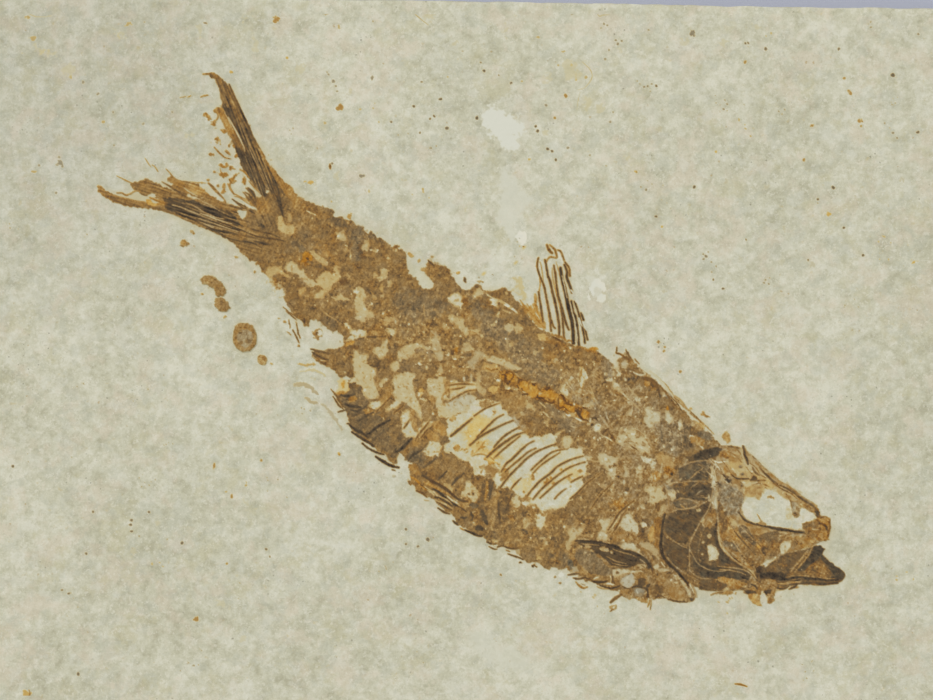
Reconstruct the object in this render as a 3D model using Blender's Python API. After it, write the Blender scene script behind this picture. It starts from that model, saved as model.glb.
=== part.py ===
"""A fossil fish lying in relief on a split slab of laminated limestone.

The slab lies on its back: +X runs along its long upper edge, +Y towards that
edge, +Z out of the face that carries the fish. The origin is at the middle of
the underside. Lengths are written in millimetres and turned into metres when
the meshes are made.
"""

import bmesh
import bpy
from math import cos, pi, radians, sin, sqrt
from mathutils import Vector, noise

# ---------------------------------------------------------------- dimensions
MM = 0.001
SLAB_W = 163.0          # along X
SLAB_H = 117.0          # along Y
SLAB_T = 11.0           # thickness of the stone
CORNER = 5.0            # broken corners, about this radius
EDGE_POINTS = 132       # points round the slab's outline
BED = 0.80              # how deep the bones' bed goes into the stone
GAP = 0.30              # clearance between neighbouring pieces and their bed
RELIEF_BODY = 0.80      # how far each piece stands above the face
RELIEF_HEAD = 0.90
RELIEF_FIN = 0.45
RELIEF_NODULE = 0.70

# Outlines are drawn on a plan of the face: u to the right and v down, in units
# of 0.155 mm. The plan is turned a little against the slab's edges.
UNIT = 0.155
PLAN_MID = (466.5, 350.0)
PLAN_TURN = radians(0.9)
PLAN_RISE = 4.3

FLANK = [
    (281, 181), (300, 199), (318, 206), (334, 212), (350, 220), (368, 233),
    (384, 240), (400, 250), (413, 266), (428, 264), (447, 268), (457, 284),
    (468, 289), (482, 286), (503, 290), (519, 304), (536, 328), (548, 334),
    (560, 340), (575, 347), (591, 347), (604, 355), (616, 360), (629, 356),
    (643, 370), (658, 386), (676, 402), (696, 418), (712, 434), (722, 446),
    (700, 455), (678, 466), (664, 487), (668, 500), (663, 520), (661, 545),
    (664, 560), (645, 556), (622, 548), (600, 541), (574, 541), (566, 556),
    (568, 572), (550, 571), (525, 563), (500, 549), (481, 537), (463, 531),
    (448, 514), (430, 502), (419, 488), (410, 472), (398, 467), (380, 455),
    (360, 437), (350, 424), (342, 410), (331, 391), (340, 381), (333, 370),
    (314, 360), (311, 345), (303, 327), (290, 312), (284, 296), (270, 283),
    (257, 266), (248, 257), (236, 244), (250, 236), (264, 222), (277, 205),
]
SKULL = [
    (722, 446), (743, 445), (754, 458), (771, 474), (797, 492), (815, 505),
    (821, 514), (830, 518), (831, 530), (831, 540), (822, 543), (812, 547),
    (803, 551), (790, 553), (776, 561), (766, 567), (756, 569), (728, 560),
    (716, 545), (716, 515), (712, 500), (716, 484), (713, 470), (700, 455),
]
GILL_COVER = [
    (700, 455), (713, 470), (716, 484), (712, 500), (716, 515), (716, 545),
    (728, 560), (756, 569), (752, 585), (735, 588), (720, 591), (700, 591),
    (690, 580), (676, 570), (664, 560), (661, 545), (663, 520), (668, 500),
    (664, 487), (678, 466),
]
LOWER_JAW = [
    (756, 569), (766, 567), (776, 561), (790, 553), (803, 551), (812, 547),
    (824, 548), (822, 555), (832, 564), (843, 573), (845, 579), (838, 584),
    (820, 586), (800, 585), (782, 589), (772, 600), (760, 602), (752, 596),
    (752, 585),
]
PECTORAL_FIN = [
    (574, 541), (600, 541), (622, 548), (645, 556), (664, 560), (676, 570),
    (690, 580), (700, 591), (694, 600), (684, 603), (668, 601), (650, 600),
    (635, 602), (622, 595), (612, 590), (595, 584), (578, 579), (568, 572),
    (566, 556),
]
DORSAL_FIN = [
    (536, 328), (534, 312), (535, 296), (532, 280), (529, 262), (538, 256),
    (549, 245), (560, 250), (565, 262), (569, 275), (574, 295), (582, 312),
    (587, 330), (591, 347), (575, 347), (560, 340), (548, 334),
]
TAIL_FIN = [
    (281, 181), (277, 205), (264, 222), (250, 236), (236, 244), (220, 235),
    (200, 226), (185, 220), (165, 212), (150, 209), (130, 207), (116, 203),
    (104, 196), (99, 187), (112, 190), (128, 193), (140, 181), (158, 183),
    (176, 178), (200, 186), (216, 192), (234, 198), (243, 190), (240, 176),
    (233, 160), (229, 146), (223, 130), (220, 112), (218, 94), (208, 77),
    (216, 74), (226, 80), (238, 102), (250, 130), (262, 155), (272, 172),
]
NODULE_LONG = [
    (201, 279), (203, 276), (209, 275), (218, 279), (225, 286), (227, 295),
    (231, 304), (227, 312), (219, 313), (214, 304), (215, 296), (213, 289),
    (205, 286),
]


def ring_outline(mid, ru, rv, count=18, wobble=0.08, seed=0.0):
    """A rough round outline on the plan."""
    points = []
    for i in range(count):
        a = -2 * pi * i / count
        k = 1 + wobble * noise.noise(Vector((cos(a) * 1.7, sin(a) * 1.7, seed)))
        points.append((mid[0] + ru * k * cos(a), mid[1] + rv * k * sin(a)))
    return points


NODULE_ROUND = ring_outline((245, 337.5), 12.5, 15.5, 20, 0.12, 3.1)
NODULE_SMALL = ring_outline((262.5, 359.5), 6.0, 6.0, 14, 0.15, 7.7)


def place(u, v):
    """A plan point on the slab, in millimetres."""
    a, b = (u - PLAN_MID[0]) * UNIT, (PLAN_MID[1] - v) * UNIT
    return (a * cos(PLAN_TURN) - b * sin(PLAN_TURN),
            a * sin(PLAN_TURN) + b * cos(PLAN_TURN) + PLAN_RISE)


def area(points):
    return sum(points[i - 1][0] * points[i][1] - points[i][0] * points[i - 1][1]
               for i in range(len(points))) / 2


def anticlockwise(points):
    return points if area(points) > 0 else points[::-1]


def grown(points, by):
    """An anticlockwise outline moved outwards by a distance; negative is inwards."""
    out, n = [], len(points)
    for i in range(n):
        (ax, ay), (bx, by_), (cx, cy) = points[i - 1], points[i], points[(i + 1) % n]
        d1, d2 = Vector((bx - ax, by_ - ay)).normalized(), Vector((cx - bx, cy - by_)).normalized()
        n1, n2 = Vector((d1.y, -d1.x)), Vector((d2.y, -d2.x))
        m = (n1 + n2)
        m = m.normalized() if m.length > 1e-6 else n1
        k = by / max(0.45, m.dot(n1))
        out.append((bx + m.x * k, by_ + m.y * k))
    return out


# ----------------------------------------------------------------- the slab
def frame_point(s):
    """A point and its outward direction at arc length s round the slab, anticlockwise from the lower left corner."""
    w, h, r = SLAB_W / 2, SLAB_H / 2, CORNER
    runs = [
        ("line", (-w + r, -h), (1, 0), SLAB_W - 2 * r),
        ("arc", (w - r, -h + r), -pi / 2, r * pi / 2),
        ("line", (w, -h + r), (0, 1), SLAB_H - 2 * r),
        ("arc", (w - r, h - r), 0.0, r * pi / 2),
        ("line", (w - r, h), (-1, 0), SLAB_W - 2 * r),
        ("arc", (-w + r, h - r), pi / 2, r * pi / 2),
        ("line", (-w, h - r), (0, -1), SLAB_H - 2 * r),
        ("arc", (-w + r, -h + r), pi, r * pi / 2),
    ]
    for kind, p, d, length in runs:
        if s <= length or (kind, p) == (runs[-1][0], runs[-1][1]):
            if kind == "line":
                return (p[0] + d[0] * s, p[1] + d[1] * s), (d[1], -d[0])
            a = d + s / r
            return (p[0] + r * cos(a), p[1] + r * sin(a)), (cos(a), sin(a))
        s -= length


PERIMETER = 2 * (SLAB_W - 2 * CORNER) + 2 * (SLAB_H - 2 * CORNER) + 2 * pi * CORNER

# Flake scars round the rim: middle as a share of the way round, half width,
# how far in the scar reaches, and how far it drops, in millimetres.
SCARS = [
    (0.018, 7.0, 2.6, 1.5), (0.060, 5.0, 1.9, 1.1), (0.105, 9.0, 3.2, 2.0),
    (0.150, 6.0, 1.6, 1.0), (0.195, 8.0, 2.4, 1.6), (0.236, 6.5, 3.6, 2.2),
    (0.275, 7.0, 3.4, 2.4), (0.318, 8.5, 2.2, 1.3), (0.356, 5.5, 1.7, 1.0),
    (0.395, 9.5, 3.0, 1.9), (0.440, 6.0, 2.5, 1.6), (0.482, 7.5, 3.5, 2.3),
    (0.520, 5.5, 2.0, 1.1), (0.545, 4.5, 2.8, 1.4), (0.572, 5.0, 3.4, 1.2),
    (0.602, 6.5, 2.4, 1.1), (0.640, 7.0, 3.0, 1.3), (0.677, 5.5, 2.0, 1.0),
    (0.712, 6.0, 2.6, 1.2), (0.748, 7.5, 3.6, 2.3), (0.786, 7.0, 2.6, 1.6),
    (0.826, 8.5, 3.3, 2.1), (0.868, 6.0, 1.9, 1.1), (0.908, 8.0, 2.8, 1.8),
    (0.950, 6.5, 2.2, 1.3), (0.984, 6.0, 3.6, 2.2),
]


def scar(s):
    """How far in the rim's scars reach and how far they drop, at arc length s."""
    reach, drop = 0.7, 0.45
    for middle, half, far, deep in SCARS:
        d = abs((s - middle * PERIMETER + PERIMETER / 2) % PERIMETER - PERIMETER / 2) / half
        if d < 1:
            k = sqrt(1 - d * d)
            reach, drop = max(reach, far * k), max(drop, deep * k)
    return reach, drop


def slab_side(s, z):
    """How far the broken side lies inside its frame at arc length s and height z."""
    p, _ = frame_point(s)
    long_wave = 0.55 + 0.55 * noise.noise(Vector((p[0] * 0.035, p[1] * 0.035, 1.3)))
    short_wave = 0.45 * noise.noise(Vector((p[0] * 0.16, p[1] * 0.16, 4.0 + z * 0.25)))
    bed = int(z / 2.1)
    ledge = 0.50 * noise.noise(Vector((p[0] * 0.05 + bed * 7.1, p[1] * 0.05, bed * 3.7)))
    return max(0.0, long_wave + short_wave + ledge + 0.25)


def slab_rings():
    """The outline of the slab at each level, as lists of points."""
    levels = [0.0, 0.55, 2.0, 2.2, 4.1, 4.3, 6.2, 6.4, 8.2]
    steps = [PERIMETER * i / EDGE_POINTS for i in range(EDGE_POINTS)]
    rings = []
    for z in levels:
        ring = []
        for s in steps:
            p, out = frame_point(s)
            inside = slab_side(s, z) + (0.55 if z == 0 else 0.0)
            ring.append((p[0] - out[0] * inside, p[1] - out[1] * inside, z))
        rings.append(ring)
    lip, brow = [], []
    for s in steps:
        p, out = frame_point(s)
        reach, drop = scar(s)
        inside = slab_side(s, SLAB_T - drop)
        lip.append((p[0] - out[0] * inside, p[1] - out[1] * inside, SLAB_T - drop))
        brow.append((p[0] - out[0] * (inside + reach), p[1] - out[1] * (inside + reach), SLAB_T))
    rings += [lip, brow]
    # the widest points are brought to the stated size
    xs = [p[0] for r in rings for p in r]
    ys = [p[1] for r in rings for p in r]
    kx, ky = SLAB_W / (max(xs) - min(xs)), SLAB_H / (max(ys) - min(ys))
    mx, my = (max(xs) + min(xs)) / 2, (max(ys) + min(ys)) / 2
    return [[((x - mx) * kx, (y - my) * ky, z) for x, y, z in r] for r in rings]


def mesh_object(name, bm, material):
    bmesh.ops.recalc_face_normals(bm, faces=bm.faces)
    mesh = bpy.data.meshes.new(name)
    bm.to_mesh(mesh)
    bm.free()
    mesh.shade_smooth()
    mesh.set_sharp_from_angle(angle=radians(35))
    obj = bpy.data.objects.new(name, mesh)
    bpy.context.scene.collection.objects.link(obj)
    if material:
        mesh.materials.append(material)
    return obj


def stacked(name, rings, material):
    """A closed solid through rings with the same number of points, lowest first."""
    bm = bmesh.new()
    rows = [[bm.verts.new((x * MM, y * MM, z * MM)) for x, y, z in ring] for ring in rings]
    n = len(rows[0])
    for low, high in zip(rows, rows[1:]):
        for i in range(n):
            j = (i + 1) % n
            bm.faces.new((low[i], low[j], high[j], high[i]))
    bm.faces.new(rows[0][::-1])
    bm.faces.new(rows[-1])
    return mesh_object(name, bm, material)


def surface(name, colour, rough):
    m = bpy.data.materials.new(name)
    m.use_nodes = True
    p = m.node_tree.nodes["Principled BSDF"]
    p.inputs["Base Color"].default_value = (*colour, 1.0)
    p.inputs["Roughness"].default_value = rough
    p.inputs["Metallic"].default_value = 0.0
    return m


def fossil(name, plan, relief, material):
    """A thin piece bedded in the stone: straight sides below, rounded shoulders above the face."""
    edge = anticlockwise([place(u, v) for u, v in plan])
    foot = grown(edge, -GAP * 0.55)
    shoulder = grown(edge, -GAP * 0.75)
    crown = grown(edge, -GAP * 0.55 - 0.55 * relief)
    low, top = SLAB_T - BED + GAP, SLAB_T + relief
    rings = [
        [(x, y, low) for x, y in foot],
        [(x, y, SLAB_T + relief * 0.45) for x, y in foot],
        [(x, y, SLAB_T + relief * 0.75) for x, y in shoulder],
        [(x, y, top) for x, y in crown],
    ]
    return stacked(name, rings, material)


def bed_cutter(name, plan, deeper):
    """The bed that a piece lies in, as a cutter that runs out of the face."""
    edge = grown(anticlockwise([place(u, v) for u, v in plan]), GAP * 0.55)
    rings = [[(x, y, SLAB_T - BED - deeper) for x, y in edge], [(x, y, SLAB_T + 3.0) for x, y in edge]]
    cutter = stacked(name, rings, None)
    cutter.hide_render = True
    cutter.display_type = "WIRE"
    return cutter


def main():
    for o in list(bpy.data.objects):
        bpy.data.objects.remove(o, do_unlink=True)

    stone = surface("pale_limestone", (0.55, 0.54, 0.41), 0.9)
    scales = surface("brown_scales", (0.28, 0.17, 0.06), 0.6)
    bone = surface("dark_bone", (0.12, 0.08, 0.045), 0.5)
    rays = surface("fin_rays", (0.18, 0.10, 0.05), 0.6)
    nodule = surface("nodule_brown", (0.33, 0.22, 0.09), 0.75)

    slab = stacked("limestone_slab", slab_rings(), stone)
    pieces = [
        ("fish_flank", FLANK, RELIEF_BODY, scales),
        ("fish_skull", SKULL, RELIEF_HEAD, bone),
        ("gill_cover", GILL_COVER, RELIEF_HEAD, bone),
        ("lower_jaw", LOWER_JAW, RELIEF_HEAD, bone),
        ("pectoral_fin", PECTORAL_FIN, RELIEF_FIN, rays),
        ("dorsal_fin", DORSAL_FIN, RELIEF_FIN, rays),
        ("tail_fin", TAIL_FIN, RELIEF_FIN, rays),
        ("nodule_long", NODULE_LONG, RELIEF_NODULE, nodule),
        ("nodule_round", NODULE_ROUND, RELIEF_NODULE, nodule),
        ("nodule_small", NODULE_SMALL, RELIEF_NODULE, nodule),
    ]
    for i, (name, plan, relief, material) in enumerate(pieces):
        fossil(name, plan, relief, material)
        cutter = bed_cutter("bed_of_" + name, plan, 0.012 * i)
        cut = slab.modifiers.new("bed_of_" + name, "BOOLEAN")
        cut.operation = "DIFFERENCE"
        cut.solver = "EXACT"
        cut.object = cutter


main()
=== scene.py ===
"""Looks of the fossil fish slab: a fish pressed flat on a split face of pale limestone."""
import bpy
from math import radians
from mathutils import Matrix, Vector, geometry

# ---- drawing starts
import math
import numpy as np


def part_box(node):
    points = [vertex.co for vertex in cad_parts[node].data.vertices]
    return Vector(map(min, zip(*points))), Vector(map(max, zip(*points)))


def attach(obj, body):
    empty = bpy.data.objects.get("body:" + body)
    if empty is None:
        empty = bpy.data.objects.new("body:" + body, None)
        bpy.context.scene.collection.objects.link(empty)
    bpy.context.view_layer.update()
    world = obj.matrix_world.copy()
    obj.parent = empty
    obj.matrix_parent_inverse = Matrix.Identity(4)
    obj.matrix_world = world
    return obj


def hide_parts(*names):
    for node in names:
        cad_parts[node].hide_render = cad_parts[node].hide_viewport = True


# The face is drawn on a plan: u to the right, v down, in units of 0.155 mm.
U0, V0, U1, V1 = 0, 0, 933, 700
RES = 2
NU, NV = (U1 - U0) * RES + 1, (V1 - V0) * RES + 1
UU, VV = np.meshgrid((U0 + np.arange(NU) / RES).astype(np.float32), (V0 + np.arange(NV) / RES).astype(np.float32))

# Colours as 8-bit sRGB, by tone: below 0 is chalky white, 0 is bare stone, 1 is the blackest bone.
NEUTRAL = [(-0.25, (228, 222, 204)), (0.0, (197, 194, 170)), (0.12, (194, 184, 143)), (0.25, (184, 163, 111)), (0.38, (166, 136, 86)),
           (0.5, (147, 115, 67)), (0.65, (118, 91, 55)), (0.8, (90, 73, 51)), (0.92, (66, 55, 43)), (1.0, (45, 38, 31))]
ORANGE = [(-0.25, (230, 223, 200)), (0.0, (198, 193, 166)), (0.12, (210, 193, 131)), (0.25, (203, 173, 96)), (0.38, (188, 142, 60)),
          (0.5, (175, 120, 37)), (0.65, (139, 90, 32)), (0.8, (107, 67, 29)), (0.92, (77, 50, 27)), (1.0, (49, 34, 23))]
COOL = [(-0.25, (228, 229, 224)), (0.0, (193, 194, 173)), (0.12, (185, 181, 158)), (0.25, (168, 160, 135)), (0.38, (148, 138, 112)),
        (0.5, (129, 117, 91)), (0.65, (106, 97, 75)), (0.8, (82, 75, 59)), (0.92, (60, 56, 46)), (1.0, (42, 39, 34))]

_rng = np.random.RandomState(11)
_PERM = _rng.permutation(256)
_PERM = np.concatenate([_PERM, _PERM])
_ANG = _rng.rand(256) * 2 * math.pi
_GX, _GY = np.cos(_ANG).astype(np.float32), np.sin(_ANG).astype(np.float32)


def perlin(x, y, seed=0):
    """Gradient noise, about -1 to 1."""
    x, y = x + np.float32(seed * 17.31 + 1000), y + np.float32(seed * 9.73 + 1000)
    xi, yi = np.floor(x).astype(np.int32), np.floor(y).astype(np.int32)
    xf, yf = x - xi, y - yi
    u, v = xf * xf * (3 - 2 * xf), yf * yf * (3 - 2 * yf)

    def corner(i, j, fx, fy):
        h = _PERM[_PERM[(i + seed * 5) & 255] + (j & 255)]
        return _GX[h] * fx + _GY[h] * fy

    a, b = corner(xi, yi, xf, yf), corner(xi + 1, yi, xf - 1, yf)
    c, d = corner(xi, yi + 1, xf, yf - 1), corner(xi + 1, yi + 1, xf - 1, yf - 1)
    return (a + u * (b - a) + v * ((c + u * (d - c)) - (a + u * (b - a)))) * 1.5


def fbm(x, y, seed=0, octaves=3):
    total, amp, norm = 0.0, 1.0, 0.0
    for k in range(octaves):
        total = total + amp * perlin(x * 2 ** k, y * 2 ** k, seed + 3 * k)
        norm += amp
        amp *= 0.55
    return total / norm


def smooth(lo, hi, x):
    t = np.clip((x - lo) / (hi - lo), 0, 1)
    return t * t * (3 - 2 * t)


def soften(m, times):
    for _ in range(times):
        m = np.pad(m, 1, mode="edge")
        m = (m[:, :-2] + 2 * m[:, 1:-1] + m[:, 2:]) / 4
        m = (m[:-2] + 2 * m[1:-1] + m[2:]) / 4
    return m


def wide_blur(m, r):
    """A broad blur: three box averages of radius r samples."""
    r = int(r)
    for _ in range(3):
        for axis in (0, 1):
            p = np.pad(m, [(r + 1, r) if a == axis else (0, 0) for a in (0, 1)], mode="edge")
            c = np.cumsum(p, axis=axis, dtype=np.float64)
            hi = np.take(c, np.arange(2 * r + 1, c.shape[axis]), axis=axis)
            lo = np.take(c, np.arange(0, c.shape[axis] - 2 * r - 1), axis=axis)
            m = ((hi - lo) / (2 * r + 1)).astype(np.float32)
    return m


def pts(text):
    if not isinstance(text, str):
        return [tuple(p) for p in text]
    return [tuple(float(c) for c in p.split(",")) for p in text.split()]


def curve(points, steps=5):
    """The points with smooth turns between them."""
    p = pts(points)
    if len(p) < 3:
        return p
    out, q = [], [p[0]] + p + [p[-1]]
    for i in range(1, len(q) - 2):
        a, b, c, d = (np.array(q[i + k - 1]) for k in range(4))
        for s in range(steps):
            t = s / steps
            out.append(tuple(0.5 * (2 * b + (c - a) * t + (2 * a - 5 * b + 4 * c - d) * t * t + (3 * b - a - 3 * c + d) * t ** 3)))
    return out + [p[-1]]


WX = 0.95 * fbm(UU / 5.2, VV / 5.2, 1, 2) + 0.45 * perlin(UU / 1.7, VV / 1.7, 21)
WY = 0.95 * fbm(UU / 5.2, VV / 5.2, 2, 2) + 0.45 * perlin(UU / 1.7, VV / 1.7, 22)
TEAR = 1.5 * perlin(UU / 6.5, VV / 6.5, 23) + 1.3 * perlin(UU / 3.2, VV / 3.2, 24) + 0.9 * perlin(UU / 1.6, VV / 1.6, 25)

T = np.zeros_like(UU)      # tone
W = np.zeros_like(UU)      # warmth: 1 is orange, -1 is grey
R = np.zeros_like(UU)      # relief in units of 0.1 mm


def window(p, pad):
    us, vs = [a for a, _ in p], [b for _, b in p]
    i0, i1 = int((min(us) - pad - U0) * RES), int((max(us) + pad - U0) * RES) + 2
    j0, j1 = int((min(vs) - pad - V0) * RES), int((max(vs) + pad - V0) * RES) + 2
    return slice(max(j0, 0), min(j1, NV)), slice(max(i0, 0), min(i1, NU))


def fill(points, k=1.0, soft=0.9, torn=0.0):
    """The inside of an outline whose edge wanders by k and is torn into flakes by torn."""
    p = pts(points)
    w = window(p, 4 + 3 * k + 2 * torn)
    x, y = UU[w] + k * WX[w], VV[w] + k * WY[w]
    inside = np.zeros(x.shape, bool)
    dist = np.full(x.shape, 6.0, np.float32)
    for i in range(len(p)):
        (ax, ay), (bx, by) = p[i - 1], p[i]
        near = window([p[i - 1], p[i]], 6.5 + 1.6 * k)
        rows = slice(max(0, near[0].start - w[0].start), max(0, near[0].stop - w[0].start))
        cols = slice(max(0, near[1].start - w[1].start), max(0, near[1].stop - w[1].start))
        px, py = x[rows, cols] - ax, y[rows, cols] - ay
        n = math.hypot(bx - ax, by - ay) ** 2 + 1e-9
        t = np.clip((px * (bx - ax) + py * (by - ay)) / n, 0, 1)
        dist[rows, cols] = np.minimum(dist[rows, cols], np.hypot(px - t * (bx - ax), py - t * (by - ay)))
        if ay != by:
            inside ^= ((ay > y) != (by > y)) & (x < (bx - ax) * (y - ay) / (by - ay) + ax)
    d = np.where(inside, -dist, dist) + torn * TEAR[w]
    return w, np.clip(0.5 - d / max(soft, 0.05), 0, 1)


def stroke(points, w0, w1=None, w2=None, k=0.35, soft=0.8):
    """A line that is w0, w1 and w2 wide at its start, middle and end."""
    w1 = w0 if w1 is None else w1
    w2 = w1 if w2 is None else w2
    p = curve(points)
    w = window(p, 3 + max(w0, w1, w2))
    x, y = UU[w] + k * WX[w], VV[w] + k * WY[w]
    lens = [math.dist(p[i], p[i + 1]) for i in range(len(p) - 1)]
    whole, run = sum(lens) or 1.0, 0.0
    best, half = np.full(x.shape, 1e9, np.float32), np.zeros(x.shape, np.float32)
    for i, n in enumerate(lens):
        (ax, ay), (bx, by) = p[i], p[i + 1]
        t = np.clip(((x - ax) * (bx - ax) + (y - ay) * (by - ay)) / (n * n + 1e-9), 0, 1)
        d = np.hypot(x - ax - t * (bx - ax), y - ay - t * (by - ay))
        s = (run + t * n) / whole
        hw = 0.5 * np.where(s < 0.5, w0 + (w1 - w0) * 2 * s, w1 + (w2 - w1) * (2 * s - 1))
        closer = d - hw < best
        best, half = np.where(closer, d - hw, best), np.where(closer, hw, half)
        run += n
    return w, np.clip(0.5 - best / soft, 0, 1)


def spot(u, v, ru, rv=None, turn=0.0, k=1.2, soft=0.9, torn=0.0):
    """A ragged oval."""
    rv = ru if rv is None else rv
    w = window([(u - max(ru, rv), v - max(ru, rv)), (u + max(ru, rv), v + max(ru, rv))], 3 + 2 * k)
    x, y = UU[w] + k * WX[w] - u, VV[w] + k * WY[w] - v
    c, s = math.cos(math.radians(turn)), math.sin(math.radians(turn))
    x, y = x * c + y * s, y * c - x * s
    d = (np.hypot(x / ru, y / rv) - 1) * min(ru, rv) + torn * TEAR[w]
    return w, np.clip(0.5 - d / soft, 0, 1)


def between(u0, u1, v0, v1, turn=0.0, k=1.5, torn=0.8):
    return spot((u0 + u1) / 2, (v0 + v1) / 2, max(0.9, (u1 - u0) / 2), max(0.9, (v1 - v0) / 2), turn, k, torn=torn)


def ink(mark, tone=None, warm=None, lift=None, much=1.0):
    """Lay a mark on the drawing."""
    w, m = mark
    m = m * much
    if tone is not None:
        T[w] += ((tone[w] if isinstance(tone, np.ndarray) else tone) - T[w]) * m
    if warm is not None:
        W[w] += ((warm[w] if isinstance(warm, np.ndarray) else warm) - W[w]) * m
    if lift is not None:
        R[w] += (lift - R[w]) * m


def add(mark, tone=0.0, warm=0.0, lift=0.0):
    w, m = mark
    T[w] += tone * m
    W[w] += warm * m
    R[w] += lift * m


# -- grain along and across the body
_c, _s = math.cos(math.radians(29)), math.sin(math.radians(29))
ALONG, ACROSS = UU * _c + VV * _s, VV * _c - UU * _s
N30, N12 = fbm(UU / 30, VV / 30, 31, 2), fbm(UU / 12, VV / 12, 41, 2)
N5, N2 = fbm(UU / 5, VV / 5, 51, 2), perlin(UU / 1.9, VV / 1.9, 61)
HATCH = perlin(ALONG / 1.5, ACROSS / 7, 71)
SCALE_TONE = 0.56 + 0.04 * N30 + 0.06 * N12 + 0.04 * N5
SCALE_WARM = 0.0 + 0.30 * N30 + 0.30 * N12

FLANK_EDGE = """283,180 290,190 296,197 299,200 306,201 312,203 318,206 322,207 328,207 333,210 334,213 332,215 335,218 339,218 341,217 344,220 347,220
352,220 354,224 358,226 361,228 363,228 365,231 368,233 371,231 374,234 377,238 380,237 383,240 386,242 389,245 393,248 400,249 404,251 407,256 406,259
407,264 408,270 408,274 412,276 416,278 418,282 421,286 423,289 430,290 434,287 434,283 432,279 427,276 426,270 427,264 428,260 430,262 434,264 438,264
442,267 446,266 449,270 450,276 454,278 456,284 460,287 465,290 470,289 474,286 478,284 482,286
483,290 492,291 500,289 505,288 510,292 514,297 519,303 524,307 527,311 530,318 538,328 545,331 552,335 560,339 570,344 580,347 592,348 598,352
604,356 610,362 616,365 618,358 624,356 626,349 629,354 632,358 635,363 637,366 641,369 645,372 650,375 655,380 660,385 663,390 668,396 674,402 680,408 686,413
690,418 696,423 702,428 708,433 714,439 722,446 718,455 700,460 684,466 678,474 668,486 672,500 664,520 662,545 668,560 680,574 690,587 695,595
694,600 688,602 680,602 668,600 665,598 652,599 648,598 645,603 640,601 634,598 627,598 620,594 621,590 615,589 608,589 600,585 592,582 585,580 575,578 580,574 572,571 566,569 560,569
553,566 551,568 549,571 544,568 540,564 532,562 528,563 524,560 519,555 520,549 515,549 508,548 503,546 497,547 493,546 487,542 483,536 478,535 472,532 468,529 461,526 456,521 453,515 446,511 440,506 434,499
428,497 417,491 412,484 410,477 409,470 411,464 416,462 410,462 405,459 402,455 399,453 398,458 398,464 393,464 388,459 385,454 378,451 372,446 364,440 356,434 350,428
348,420 347,412 344,408 338,400 336,394 340,391 346,392 349,388 348,382 352,378 350,374 346,377 342,378 339,376 336,371 330,368 326,366 318,362 312,357 312,352
318,350 326,350 334,349 340,347 345,345 343,338 341,332 335,331 329,330 325,326 321,322 316,319 310,320 309,326 304,326 302,321 297,318 292,312 287,305 284,297
286,290 281,283 275,280 268,277 262,270 257,262 250,260 245,255 240,250 234,244 240,232 250,215 262,208 274,205 280,196"""
ink(fill(FLANK_EDGE, 0.6, torn=0.7), SCALE_TONE, SCALE_WARM, 1.2)


def draw(text, torn=0.8, colour=1.0):
    """Rows of marks, each with its tone and warmth: P outlines, H hazes, L lines with a width, S spots, B soft blots."""
    for row in text.strip().splitlines():
        head, body = row.split("|")
        kind, *v = head.split()
        v = [float(a) for a in v]
        tone, warm = v[0], v[1] * (colour if v[1] > 0 else 1.0)
        lift = 0.25 + 0.9 * min(1.0, max(0.0, (tone - 0.2) / 0.25)) + 0.9 * max(0.0, tone - 0.5)
        if kind == "P":
            ink(fill(body, 0.6, torn=v[2] if len(v) > 2 else torn), tone, warm, lift)
        elif kind == "H":
            ink(fill(body, 1.5, soft=5.0, torn=2.4), tone, warm, None, v[2] if len(v) > 2 else 0.8)
        elif kind == "L":
            ink(stroke(body, v[2] * 0.6, v[2], v[2] * 0.55, 0.35), tone, warm, lift + 0.3)
        elif kind == "B":
            for item in body.split():
                a = [float(b) for b in item.split(",")]
                ink(spot(*a[:2], a[2] * 1.1, (a[3] if len(a) > 3 else a[2]) * 1.1, a[4] if len(a) > 4 else 0.0, 3.0, soft=2.0, torn=2.2), tone, warm, None, 0.65)
        else:
            for item in body.split():
                a = [float(b) for b in item.split(",")]
                ink(spot(*a[:2], a[2], a[3] if len(a) > 3 else a[2], a[4] if len(a) > 4 else 0.0, 0.8, torn=0.35 if a[2] < 1.7 else 1.25), tone, warm, lift)


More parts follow.
